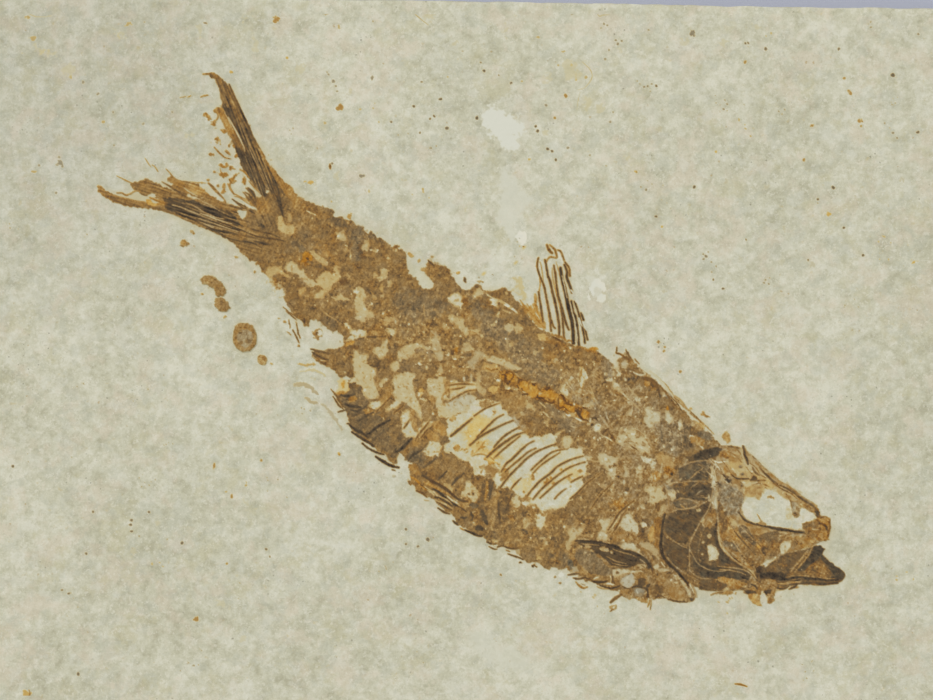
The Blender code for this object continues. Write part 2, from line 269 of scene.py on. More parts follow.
# what lies on the body, from its back to its belly and from the tail to the head
DARK_AND_TAN = """
P 0.66 -0.3|326,219 332,217 338,219 344,220 348,224 342,228 334,226 328,223
H 0.58 -0.55|350,226 358,227 366,233 374,236 376,240 368,238 361,240 360,250 361,262 355,263 351,258 352,244 350,234
H 0.55 0.05|300,215 314,214 328,218 334,228 322,232 308,228
H 0.5 0.45|276,182 284,184 292,190 300,200 306,206 298,206 288,202 280,196
H 0.44 0.45|312,246 318,244 326,250 336,258 340,266 336,266 328,258 320,252
H 0.52 0.5|270,280 276,279 280,283 282,288 276,288 272,284
H 0.6 0.05|283,276 290,276 298,277 303,283 306,290 302,292 306,296 308,300 290,300 286,294 282,288 280,282
H 0.58 -0.5|395,290 408,292 420,294 436,298 446,304 448,312 440,318 424,318 408,318 398,310 394,300
H 0.62 0.1|428,262 434,264 440,266 446,268 449,272 450,278 444,280 436,278 430,276 427,270
H 0.56 -0.5|470,296 484,306 494,316 506,320 520,336 536,346 552,360 560,372 556,384 544,386 530,376 516,364 502,350 488,338 480,326 472,312
H 0.5 0.0|411,356 416,354 424,355 430,353 436,353 438,358 437,361 430,362 420,363 412,362
P 0.5 -0.3|415,350 421,347 428,350 430,353 424,354 417,353
H 0.53 -0.35|398,358 404,361 411,362 411,369 406,372 400,372
H 0.5 0.0|482,375 487,373 491,375 495,379 494,384 490,386 485,388 481,386
H 0.44 0.15|497,392 505,392 512,393 520,393 528,395 530,402 524,410 520,420 517,418 514,414 508,410 504,405 500,401 497,398
H 0.5 0.35|545,352 552,350 557,356 556,366 548,366 544,360
H 0.52 -0.5|550,404 562,404 572,414 578,424 576,436 564,434 554,424 548,414
H 0.5 -0.55|603,358 609,361 614,367 614,374 610,380 605,378 602,368
H 0.48 -0.3|621,385 627,384 631,388 629,393 624,393 621,390
H 0.7 -0.5|627,378 632,375 637,378 634,381 628,382
H 0.55 -0.3|630,400 637,398 642,402 642,410 635,413 630,408
H 0.6 -0.35|320,320 326,316 334,316 338,320 340,326 336,330 330,329 326,325
H 0.56 -0.1|570,395 576,395 582,400 578,404 572,402
H 0.55 0.0|436,456 446,456 458,460 468,466 472,476 462,482 452,486 442,482 432,476 430,466
H 0.4 0.25|494,490 502,490 505,498 502,506 497,510 493,504
H 0.58 -0.1|505,510 514,508 521,514 522,526 516,532 507,528
H 0.56 -0.1|584,466 594,464 604,470 612,482 606,494 598,506 588,512 576,512 570,504 578,492 586,480
H 0.58 0.05|575,512 588,512 598,516 602,530 598,538 586,536 578,526
H 0.52 0.5|614,504 619,500 624,502 622,508 616,509
P 0.7 -0.2|291,241 296,239.6 299,243 298,247 293,246.6
P 0.7 -0.1|315,263.6 320,264.6 325,268 321,268.6 316,267
P 0.6 -0.5|298,245 302,244 305,248 304,252 300,252
S 0.72 0.3|331,272,2.6 364,256,3,2.4 384,248,2 343,282,4,3
S 0.7 -0.1|465,280,1.3,2.4,-20 435,307,1.6 409,305,1.6
S 0.66 0.4|396.5,246.5,2.6 390,314,3.4,2 647,383,3,4
S 0.68 0.3|355,347,3,2.4 349,337,3.4,2.6
S 0.66 -0.2|468,354,4,3
S 0.62 0.5|280,283,2,1.6 300,262,2 464,300,3,5,-10
L 0.76 0.1 1.6|356,340 362,338 368,337 376,337 386,336
L 0.7 0.1 1.2|420,363 430,362.5 438,362 445,361 452,360 458,360
L 0.84 0.0 1.8|432,352 435,350.5 440,350 446,350
L 0.8 0.5 2.2|553,337 557,339 561,342 564,346 567,349
L 0.8 0.3 1.4|592,351 596,353 600,354
L 0.8 0.1 1.8|632,372 636,374 640,377
L 0.7 0.1 1.0|595,396 598,400 599,404
L 0.62 0.4 2.4|545,342 556,344 568,348
P 0.42 1.0|583,350 588,348 592,348 596,347 598,349 594,352 588,352
"""
PALE = """
P 0.1 0|335,231 339,232 343,230 346,235 347,240 344,241 341,239 337,238 336,234
P 0.09 0|361,249 361,244 364,243 365,240 369,240 369,246 368,249 367,252 364,250
P 0.12 0.1|277,222 281,221 283,226 284,232 287,236 283,238 280,236 278,230
P 0.24 0.4|286,222 292,224 296,229 293,233 288,232 284,228
P 0.26 0.2|284,214 288,212 292,215 292,221 288,222 284,219
P 0.13 0.15|310,250 314,251 317,253 321,256 325,259 328,263 327,266 322,264 318,262 314,259 311,255
P 0.08 0|286,262 290,261 294,260 296,264 299,268 304,269 305,273 308,277 311,279 314,280 317,284 314,287 311,288 307,285 303,281 300,277 297,274 292,273 287,272 284,271 285,267
P 0.16 0.3|266,267 274,266 281,266 282,269 284,272 289,275 291,278 286,277 281,274 277,274 273,276 272,281 268,280 266,274
P 0.12 0.2|318,278 321,273 325,270 329,271 332,275 335,272 334,266 337,265 339,270 341,276 338,281 334,284 332,288 333,291 329,290 326,293 324,297 319,298 314,299 313,295 317,293 320,291 323,289 321,286 318,284 315,280
P 0.2 0.35|300,288 304,286 307,290 303,294 300,297 298,292
P 0.1 0.05|356,287 360,286 364,289 366,296 364,302 366,308 371,311 375,315 371,319 366,318 366,322 360,322 355,318 356,311 354,304 355,296
P 0.1 0.05|380,269 385,268 389,271 386,274 388,277 383,280 380,283 378,278 380,274
P 0.12 0|387,281 391,279 392,283 391,287 387,287
P 0.22 0.3|373,273 376,271 378,275 374,277
P 0.22 0.3|371,292 375,294 377,300 373,300
P 0.14 0.1|379,294 383,293 384,297 380,299
P 0.2 0.5|380,282 383,284 383,292 380,292
P 0.12 0.1|332,297 336,296 340,293 343,296 348,297 350,300 345,300 339,301 334,300
P 0.2 0.2|347,274 350,276 351,280 348,279
P -0.02 0|447,297 450,294 455,292 460,293 463,297 461,300 463,304 461,307 455,307 452,303 448,300
P 0.1 0|472,297 474,292 478,288 482,290 484,293 480,296 476,297
P -0.05 0|490,299 493,297 497,298 499,303 498,307 494,306 490,305 493,303
P 0.12 0.05|448,315 453,314 458,317 460,321 459,318 463,317 465,321 466,326 469,330 469,335 466,338 464,334 462,331 457,328 454,323 450,321 447,319
P 0.13 0.1|442,325 446,324 449,328 447,331 443,330
P 0.12 0|471,330 476,329 480,330 479,335 475,334
P 0.12 0.05|463,343 468,342 472,345 473,350 468,352 463,353 461,350
P 0.14 0.1|478,345 481,344 481,348 479,348
P 0.1 0|505,324 510,322 514,324 513,328 511,334 508,336 507,331 504,328
P 0.14 0.1|515,323 520,323 523,327 521,333 516,333 514,328
P 0.1 0|509,343 512,342 513,346 510,346
P 0.14 -0.1|430,325 433,330 438,333 440,342 443,352 443,360 441,362 443,366 444,372 441,376 438,374 439,366 438,358 434,352 431,350 432,340 434,335 430,330
P 0.1 0|400,349 404,346 410,344 416,343 421,343 427,346 431,349 428,350 422,347 418,348 414,351 415,354 411,356 409,359 404,359 400,361 396,358 398,352
P 0.08 0|388,340 386,346 389,350 386,356 381,360 376,356 372,351 374,348 380,346 384,342
P 0.08 0|389,364 393,361 398,362 400,368 396,372 391,370
P -0.02 0|344,323 348,323 351,326 352,328 348,328 345,326
P -0.03 0|349,331 353,329 360,330 366,331 368,334 365,337 359,338 354,340 350,341 346,341 349,337 351,335
P 0.1 0|383,320 386,318 390,318 395,317 394,320 390,322 386,323
P 0.04 0|384,329 390,328 396,329 400,329 396,333 392,336 388,334 386,331
P 0.07 0|353,351 357,350 360,354 364,352 367,354 370,356 367,360 366,364 370,366 374,366 378,367 376,372 374,378 376,384 378,390 380,396 377,399 371,400 366,398 363,395 361,390 358,386 355,381 352,377 353,372 352,366 353,360
P 0.05 0|378,382 382,379 386,377 389,378 388,382 384,385 381,387 379,386
P 0.06 0|392,378 397,375 402,373 408,372 414,373 417,376 415,380 413,384 416,388 415,393 416,398 419,402 421,409 423,414 421,420 418,418 416,412 413,409 410,408 406,403 402,401 396,400 392,395 394,388 392,383
P 0.06 0|426,380 430,378 436,378 440,376 446,377 444,382 445,386 447,390 445,394 443,398 442,401 444,403 450,401 460,398 468,394 474,394 477,398 472,404 470,410 466,413 458,414 452,417 446,419 440,417 437,412 438,408 436,405 435,399 432,396 428,396 427,390 427,384
P 0.02 0.2|450,381 456,380 462,383 470,382 475,382 476,388 475,392 468,393 460,396 454,400 449,400 450,394 449,388
P 0.14 0.0|475,372 479,371 481,376 480,384 483,388 486,390 486,394 480,396 477,390 476,382
P 0.16 -0.2|473,352 478,350 483,352 485,356 482,360 478,363 476,366 473,369 469,366 468,362 472,358 474,356
P 0.08 -0.05|484,356 490,355 496,356 501,358 507,361 513,363 518,366 521,368 518,371 514,370 508,369 503,367 498,364 492,363 487,362 484,360
P 0.2 0.5|484,361 490,363 498,365 501,369 497,373 490,372 485,370 482,366
P 0.15 0.7|488,388 493,385 498,386 498,390 494,394 488,393
P 0.15 0.5|537,335 543,332 547,338 549,341 540,341
P -0.02 0|579,369 581,366 583,367 585,370 587,375 588,380 585,381 582,380 581,375 580,372
P -0.03 0|580,381 584,381 584,386 583,392 580,390
P 0.1 0|564,377 568,380 571,387 572,390 569,386 566,382
P 0.14 -0.2|568,376 573,375 578,379 580,386 577,392 571,391 568,384
P 0.05 0|562,386 565,384 567,388 568,394 567,399 564,396 562,391
P 0.12 0|583,403 588,403 591,406 587,408 583,406
P -0.01 0|614,364 617,362 620,365 619,369 619,373 615,371
P 0.0 0|615,376 618,373 621,373 620,377
P 0.12 -0.2|620,363 625,360 628,364 625,368 621,368
P 0.0 0|607,378 612,378 613,381 608,381
P -0.02 0|592,427 595,424 598,422 601,425 602,430 599,433 596,432 594,429
P 0.12 0.2|616,436 620,430 626,427 632,426 638,428 642,432 645,436 643,444 648,450 632,450 622,446 616,442
P 0.1 0|625,415 628,410 632,408 633,412 631,416
P 0.05 0|627,401 632,400 632,405 628,406
P 0.06 0|643,418 646,413 649,409 655,411 660,412 660,420 656,428 648,428 645,422
P 0.02 0|634,399 637,396 641,401 638,403
P 0.12 0.2|538,440 546,436 552,434 556,438 552,442 544,446 538,446
P 0.06 0|562,439 566,435 571,436 573,441 571,446 566,449 561,446
P 0.12 0.05|597,456 600,453 604,453 609,456 614,456 619,460 617,463 612,465 609,466 612,470 615,466 616,470 616,475 613,479 609,477 608,472 605,468 602,464 598,462
P 0.1 0.05|583,456 588,455 592,457 590,460 584,460
P 0.15 -0.2|578,446 582,446 583,449 579,450
P 0.02 0|610,491 611,486 614,484 613,489 611,492
P 0.12 -0.1|623,473 626,470 629,471 628,475 625,476
P 0.12 0|636,468 640,465 643,468 642,472 638,474 636,472
P 0.06 0|645,489 650,487 655,489 656,494 648,492
P 0.07 0|622,518 627,514 630,518 633,521 636,526 638,531 636,535 632,532 627,532 622,529 621,523
P 0.07 0|600,518 604,520 607,518 611,520 608,526 606,530 608,536 611,540 606,541 600,541 596,538 598,534 602,531 600,526 598,521
P -0.02 0|640,523 643,521 646,524 647,527 642,527
P 0.0 0|589,536 592,534 594,537 590,538
P 0.1 0|566,528 570,527 577,529 580,527 583,523 585,525 583,531 580,535 576,540 579,541 574,543 570,546 567,543 569,537 567,532
P 0.06 0|620,545 626,544 632,543 637,547 641,551 636,552 630,551 624,550
P 0.05 0|466,481 470,479 472,483 475,486 478,490 478,496 477,500 474,503 470,500 467,495 463,497 460,496 462,491 465,486
P 0.14 0.1|442,482 447,483 452,484 454,488 453,493 449,491 445,487
P 0.02 0|511,499 516,494 520,498 520,505 516,508 512,506
P 0.1 0|522,520 526,517 530,518 530,524 526,529 523,527
P 0.03 0|523,500 528,498 529,505 525,508
P 0.1 0|382,437 385,434 389,434 392,437 390,440 388,442 390,446 396,450 397,453 392,452 387,448 384,446 383,442 386,440
P -0.02 0|380,419 383,416 385,417 383,421
P -0.03 0|366,404 370,401 376,400 382,400 386,402 382,406 379,411 376,410 370,408
P -0.02 0|385,409 390,405 394,402 400,402 398,406 392,411 386,412
P -0.02 0|402,411 406,409 410,410 411,414 411,420 413,426 415,431 418,432 417,436 414,439 408,440 403,436 401,430 402,424 400,418
P 0.0 0|419,428 424,422 430,420 434,420 432,425 428,430 424,434 420,437 417,436
P -0.02 0|421,452 424,448 428,444 430,441 434,440 439,442 442,446 441,452 438,456 432,456 426,456
"""
# the open part of the belly, where ribs lie on bare stone
P_WINDOW = """471,404 476,400 482,399 488,399 494,401 500,402 503,408 507,412 512,418 516,424 521,430 526,434 531,437 538,436 546,434 552,433 557,436 556,441 553,445 560,447
566,449 574,447 583,450 584,456 588,462 587,468 585,474 582,480 583,484 580,490 574,497 569,503 564,508 560,508 556,510 552,513 548,514 546,518 545,523 542,530 538,530
536,524 535,516 534,512 537,513 540,512 536,506 530,504 526,508 523,506 522,500 520,498 516,494 511,490 507,488 500,490 496,488 494,482 492,479 486,478 482,476 479,474
475,475 472,468 468,462 460,458 452,454 445,452 444,446 448,441 447,435 446,430 448,424 446,420 452,416 460,413 466,413 470,408"""
IN_WINDOW = """
H 0.2 0.9|471,417 476,414 484,416 490,417 492,421 488,427 482,432 478,438 470,443 464,440 464,432 467,426 470,421
H 0.2 0.85|470,441 480,438 488,441 487,450 482,456 474,452 468,448
H 0.22 0.8|486,450 494,446 499,452 500,462 494,466 488,460
P 0.3 0.5|450,418 453,415 456,416 454,420 451,421
P 0.4 0.1|480,402 486,400 494,402 490,406 484,408 480,406
P 0.3 0.4|492,409 495,408 496,413 493,415
P 0.4 0.6|454,449 457,446 460,447 458,451 455,452
P 0.3 0.1|480,468 486,464 492,462 498,466 500,472 496,476 492,480 490,474 484,471 481,474
P 0.32 0.2|500,474 505,471 509,473 507,478 502,480
H 0.12 0.6|514,474 524,468 532,470 534,480 526,490 516,488 512,482
P 0.3 0.6|531,474 535,473 535,478 532,479
P 0.52 0.5|542,482 546,479 551,479 548,483 545,485
P 0.45 0.5|567,475 570,473 571,479 568,480
H 0.2 1|560,483 564,482 566,486 562,488
P 0.28 0.4|569,485 572,485 573,490 570,490
H 0.14 0.7|566,468 576,466 582,470 578,478 570,480 564,476
H 0.12 0.7|540,496 550,492 560,494 556,500 546,502
P 0.3 0.2|520,498 527,495 530,499 524,502
H 0.12 0.5|496,424 504,422 512,426 506,430 498,430
S 0.6 0.8|485,459,2,1.4 492,463,3.2,1.2
S 0.3 0.7|464,450,3,1 472,452,1.6,2.6 496,456,2 553,483,1.6 524,492,1.4 579,471,2,1.2
S -0.08 0|488,412,4,3 508,436,6,3 526,440,4,2.4 476,408,3,2 452,440,4,3 574,489,4,3 552,503,5,3
L 0.45 0.6 1.4|444,456 441,450 443,446
H 0.14 1|468,424 476,420 486,420 488,428 480,436 470,440
H 0.16 1|486,452 494,450 498,458 494,464 487,460
H 0.02 -0.7|500,418 512,414 520,420 524,428 514,434 504,438 496,446 492,438
H 0.02 -0.7|522,448 534,440 546,444 552,452 540,462 528,474 520,482 514,476 520,462
H 0.03 -0.6|448,396 462,392 474,396 472,404 460,410 448,410
H 0.02 -0.6|538,500 548,490 560,484 570,486 566,494 556,502 546,506
S 0.46 0.7|478,443,3,1.2,-30 484,447,2,1 466,452,2.4,1.2 561,470,1.6 551,478,1.3 505,470,2,1.2
L 0.44 0.7 1.1|472,456 480,454 488,456 494,460
L 0.4 0.8 1.2|484,442 480,448 474,454
L 0.46 0.6 1.2|500,380 498,388 500,394
"""
SMALL_WHITE = """
S -0.12 0|286,199,2,3 350.5,256,1.1,3.6 376,251,2,1.4 371,250,1.6,0.9 388,258,1.6,1.4 396,250,1.4 331.5,225,1 346,245.5,1.3,1 355,292.5,2.8,2.6
S -0.1 0|497,315,2.3 496,322,1.5 466,314,1,1.6 506,293,1.6 606,374,1.6 625,379.5,1.2,1.9 564,351,1.3 543,348,1.5,1.2 570,348,1.4 540,394,1.4 574,404,1.2
S -0.12 0|594,438,1.5 600,438,1.2 585.5,441,1.3 620,442,1.3 564.5,526.5,1.4 528,513.5,1.7 474,523.5,1.4 625.5,493.5,1.3,2.2 370,304,2,1.2 315,305,1.4,1 383,313,1.4,2
S -0.06 0|534,507,2,1.6 492,529,1.2,1.8 427,367,1.6,2.4 421,364,2,1.2 421,361,1.2 414,335,1.5 409,324,1.4,2 405,322,1 418,327,1.2 424,332,1.3 419,331,1 411,340,1.6,1 430,341,2,3.4
S -0.06 0|451,346,1.3 448,354,1.6,2 454,359,2.4,1 453,366,1.6 458,356,1 462,357,1.6,0.9 437,375,1.4 433,414,1,2.4 423,400,2.8,2.4 447,398,2.2,1.8 419,394,1.2,2
S 0.02 -0.3|464,379,1,3 471,377,1.6,4 590,420,1.3,2.6 580,391,2.6,2 571,379,2,2.6 396,321,1,2.4 564,416,0.9,2.2 618,497,1
S 0.12 0|302,223,1.4 336,253.5,1.2 494,325,2.4,1.2 346,306,1.2 535,352,1.8,2.4 556,360,1.8,2.4 546,422,2.8,2.2 532,407,3,2.4 527,402,1.8 522,413,1.8,2.8 475,512,2,1
S 0.1 0|546,543,2.4,1.8 544,539,2,1 534,546,2,1.6 557,528,1.4 624,482,1.4,2.4 643,508,2,2.4 615,395,1.5,1.2 572,515,1.4,2 581,499,1,2.2
S 0.0 0|345,372,2.4,2 352,381,2.8,1.4 357,383,1,1.8 319.5,333.5,2.8,2.4
L -0.12 0 1.8|307,211 311,213 316,215
L -0.12 0 3.4|496,299 502,302 508,306 514,310 517,313
L -0.06 0 1.8|486,293 489,296 493,298
L 0.0 0 2.4|503,310 506,311 510,313
L 0.12 0 2.0|421,323 425,327 428,331
L 0.25 0 1.8|424,304 424,310 425,317
L 0.2 0.1 1.4|321,309 326,314 331,317 338,321
L 0.3 0.2 1.2|345,246 349,251
L 0.2 0.2 1.6|416,354.5 420,354 425,354
L 0.0 0 2.0|613,383 618,385 619,390 622,393 628,399
L 0.05 0 1.6|628,399 632,394 633,390 636,388
L -0.06 0 2.2|603,436 608,438 612,441
L 0.12 -0.4 2.4|600,415 604,421 608,427
L 0.12 -0.3 1.8|606,412 607,417 609,422
L -0.1 0 1.5|539,402 543,405 546,408
L -0.08 0 2.0|576,417 580,420 584,422
L 0.1 0 1.2|568,412 572,415 576,417
L 0.08 0 2.4|543,412 546,414 549,417
L 0.05 0.05 3.0|553,438 558,433 564,430
L 0.2 -0.1 1.0|571,392 576,398 580,402
L 0.2 -0.1 1.0|575,391 580,397 585,401
L 0.18 0.2 2.2|590,386 592,392 594,398
L -0.04 0 2.6|584,476 587,474 590,474
L 0.14 0 2.0|588,459 594,461 600,461
L 0.1 0 1.6|576,540 584,539 592,540
L -0.08 0 2.2|427,489 431,492 434,495
L -0.05 0 2.0|432,490 436,494 439,499
L -0.08 0 2.2|447,496 452,500 457,503 461,508
L -0.04 0 1.5|436,500 442,503 448,506
L -0.03 0 1.3|313,357 320,360 326,361
L 0.35 0.9 1.2|582,368 581,372 582,376
L 0.3 0.9 0.9|583,383 583,390
"""
# the chain of orange bones; the S rows at tone 0.36 and 0.42 with warmth 1 are painted highlights on the beads
ORANGE_BONES = """
P 0.6 0.6 0.5|499,372 505,369 511,371 517,376 522,379 529,382 536,385 541,389 546,386 553,389 559,394 565,397 570,401 577,404 584,409 590,412 590,418 584,421 577,418 569,415 563,410 557,409 552,402 546,402 540,401 534,399 527,396 520,391 513,386 506,384 500,380
P 0.45 1|510,375 514,376 517,380 514,382 510,380
P 0.42 1|530,384 535,384 537,389 534,392 530,389
P 0.44 1|539,391 544,391 546,396 542,399 538,396
P 0.46 1|552,392 557,393 559,398 555,401 551,398
P 0.44 1|571,404 576,405 578,409 574,411 570,408
L 0.84 0.3 1.3|518,377 519,382 517,386
L 0.84 0.3 1.3|529,383 528,388 530,393
L 0.84 0.3 1.3|538,388 537,394 539,399
L 0.84 0.3 1.3|548,388 547,394 549,400
L 0.84 0.3 1.3|560,395 558,400 560,406
L 0.84 0.3 1.3|569,401 568,407 570,412
L 0.84 0.3 1.3|579,407 577,412 579,417
P 0.5 1|301,259 303,254 306,252 309,253 312,255 314,258 312,261 308,261 306,264 302,262
P 0.62 0.7|304,262 308,262 311,265 306,266
S 0.78 0.5|307,258.5,1.8
P 0.56 0.9|453,350 457,348 460,351 457,354 454,353
S 0.8 0.3|453,352,1.6,2.4
P 0.5 1|501,376 505,373 509,374 513,375 513,379 509,381 505,380 502,380
S 0.86 0.4|505.5,378,1.6,3 502,380,2,1
P 0.42 1|519,383 523,382 527,383 530,386 532,387 535,384 537,388 538,393 535,397 531,397 527,393 523,390 520,388
S 0.75 0|521,388,2,1
P 0.46 1|546,391 549,388 552,391 555,396 554,399 549,399 546,396
S 0.6 0.6|548,388.5,2.2,1.2
P 0.72 0.7|558,396 562,394 565,398 562,402 561,406 558,408 559,402
P 0.5 1|561,400 564,404 570,406 576,408 574,412 568,412 563,409 560,405
P 0.46 1|580,415 584,412 588,412 587,417 584,419 580,417
S 0.74 0.4|579,414,2.6,2 584,420,2,1
L 0.8 0.6 1.8|566,404 572,406 578,410 582,413
L 0.85 0.5 1.6|537,397 542,398 546,401 552,403 554,400
L 0.62 0.7 2.2|543,401 547,402 551,402
L 0.85 0.3 1.6|522,394.5 526,394 529,394
L 0.82 0.5 1.4|506,391 509,390.5 512,391
L 0.85 0.2 2.0|591,418 595,418 598,421
L 0.8 0.2 2.0|602,434 606,430 609,428
L 0.75 0.3 1.6|610,434 613,437 615,441
L 0.7 0.5 1.6|486,368 491,370 497,369 501,373
L 0.7 0.4 1.2|478,366 482,361 486,360
L 0.8 0.5 1.0|488,396.5 491,396 495,395.5
P -0.12 0 0.5|495,380 499,379 502,380 500,382 496,382
P -0.12 0 0.5|505,386 509,386 512,388 509,390 506,389
P -0.1 0 0.5|513,389 517,388 520,390 517,391
P -0.12 0 0.4|521,391 524,391 527,393 524,393
P 0.46 0 1|568,374 576,371 590,380 590,392 580,396 570,392 566,384
B 0.36 -0.5|580,398,7,4 592,404,5,3 572,386,4,3
P 0.02 -0.1 0.4|561,386 565,384 568,390 567,398 563,395 560,391
P -0.05 0.1 0.4|580,367 583,366 586,372 588,379 584,380 583,384 583,388 580,388 580,382 580,376
L 0.42 0.7 1.6|582,367 581,373 580,379
L 0.0 -0.1 1.6|566,380 568,385 572,389
L 0.06 0 1.4|569,381 573,387
S 0.0 -0.2|580,391,3,2 572,384,2.2,1.6
S -0.12 0|583.5,394.5,1.4 605.5,374,1.5 577,379,1.3
L 0.12 -0.2 2.2|588,390 593,396 596,402 598,404
P 0.16 -0.1 0.6|586,402 592,402 594,406 588,408 585,405
L 0.42 0.8 1.1|591,394 593,398 594,402
P 0.04 0.2 0.4|605,379 610,377 610,381 607,382
P 0.42 0.95 0.5|519,382 523,380.5 526,384 527,388 524,388 520,386
P 0.44 0.9 0.5|524,387 528,388 531,392 529,394 526,391
P 0.42 0.95 0.5|531,387 535,385 538,389 539,393 535,394 532,392
P 0.42 0.95 0.5|545,391 549,390 550,394 553,395 555,399 549,399 545,396
P 0.44 1 0.5|559.5,399 562,399 563,403 561,406 560,403
P 0.48 1 0.5|565,404 570,406 575,407 572,410 568,410 565,408
P 0.46 1 0.5|581,413 584,411 587,412 588,415 585,418 582,416
S 0.36 1|522,383.5,2,1.3 535,389.5,1.8,1.4 547.5,393.5,1.6,2.2 585,413.5,1.5,1.3 568,406.5,1.5,1 561,401,1,1.6
S 0.42 1|509,376.5,2.2,2 500.5,376.5,1,1
L 0.84 0.5 1.2|505,377 505.5,380.5 509,381 512.5,378.5 513.5,375.5 512,372.5 508,371.8 505.5,373.5
S 0.84 0.5|503.5,378,1.8,2.6 508,383.5,2.2,1 521.5,388.5,2.2,1 534,384.3,1.8,0.9 546.8,388,2.4,1.4
L 0.82 0.6 1|517,381.5 520,379.6 523,379.4
L 0.7 0.6 1.2|529,384 528.5,387 531,391
L 0.72 0.6 1.4|539,388 541,391 543,391.5
L 0.88 0.4 1.5|536,397 540,398.5 543,398
L 0.84 0.6 1.3|543,401 548,402 552,403 554,401
L 0.82 0.6 1.9|560,394 563,396 565,400 567,403
L 0.8 0.6 1.5|558,401 558,405 560,408 563,407 567,410 571,412
L 0.76 0.7 1.4|566,401.5 569,404 573,405 577,407 581,409
L 0.84 0.4 2.3|575,410 578,413 580,416 583,419.5 586,420
S 0.84 0.3|592,419,1.7,1.4 592.5,424,1.8,1.4 585,408,2,1
L 0.6 0.5 1|556,397 557,401 556,404
P -0.08 0 0.3|593,430 595,425 598,422 600,424 601,430
S -0.14 0|540.4,394,1.3 571,414.5,2.2,1
L -0.06 0 1.5|574,417 577,419 580,421
S -0.04 -0.1|564.5,417,1,2 588,424,1.6,1.2
S 0.12 0|545,416,2.2,1.4 548,419,1.6,1.2 524,414,2,2 529,406,3,2.6
"""
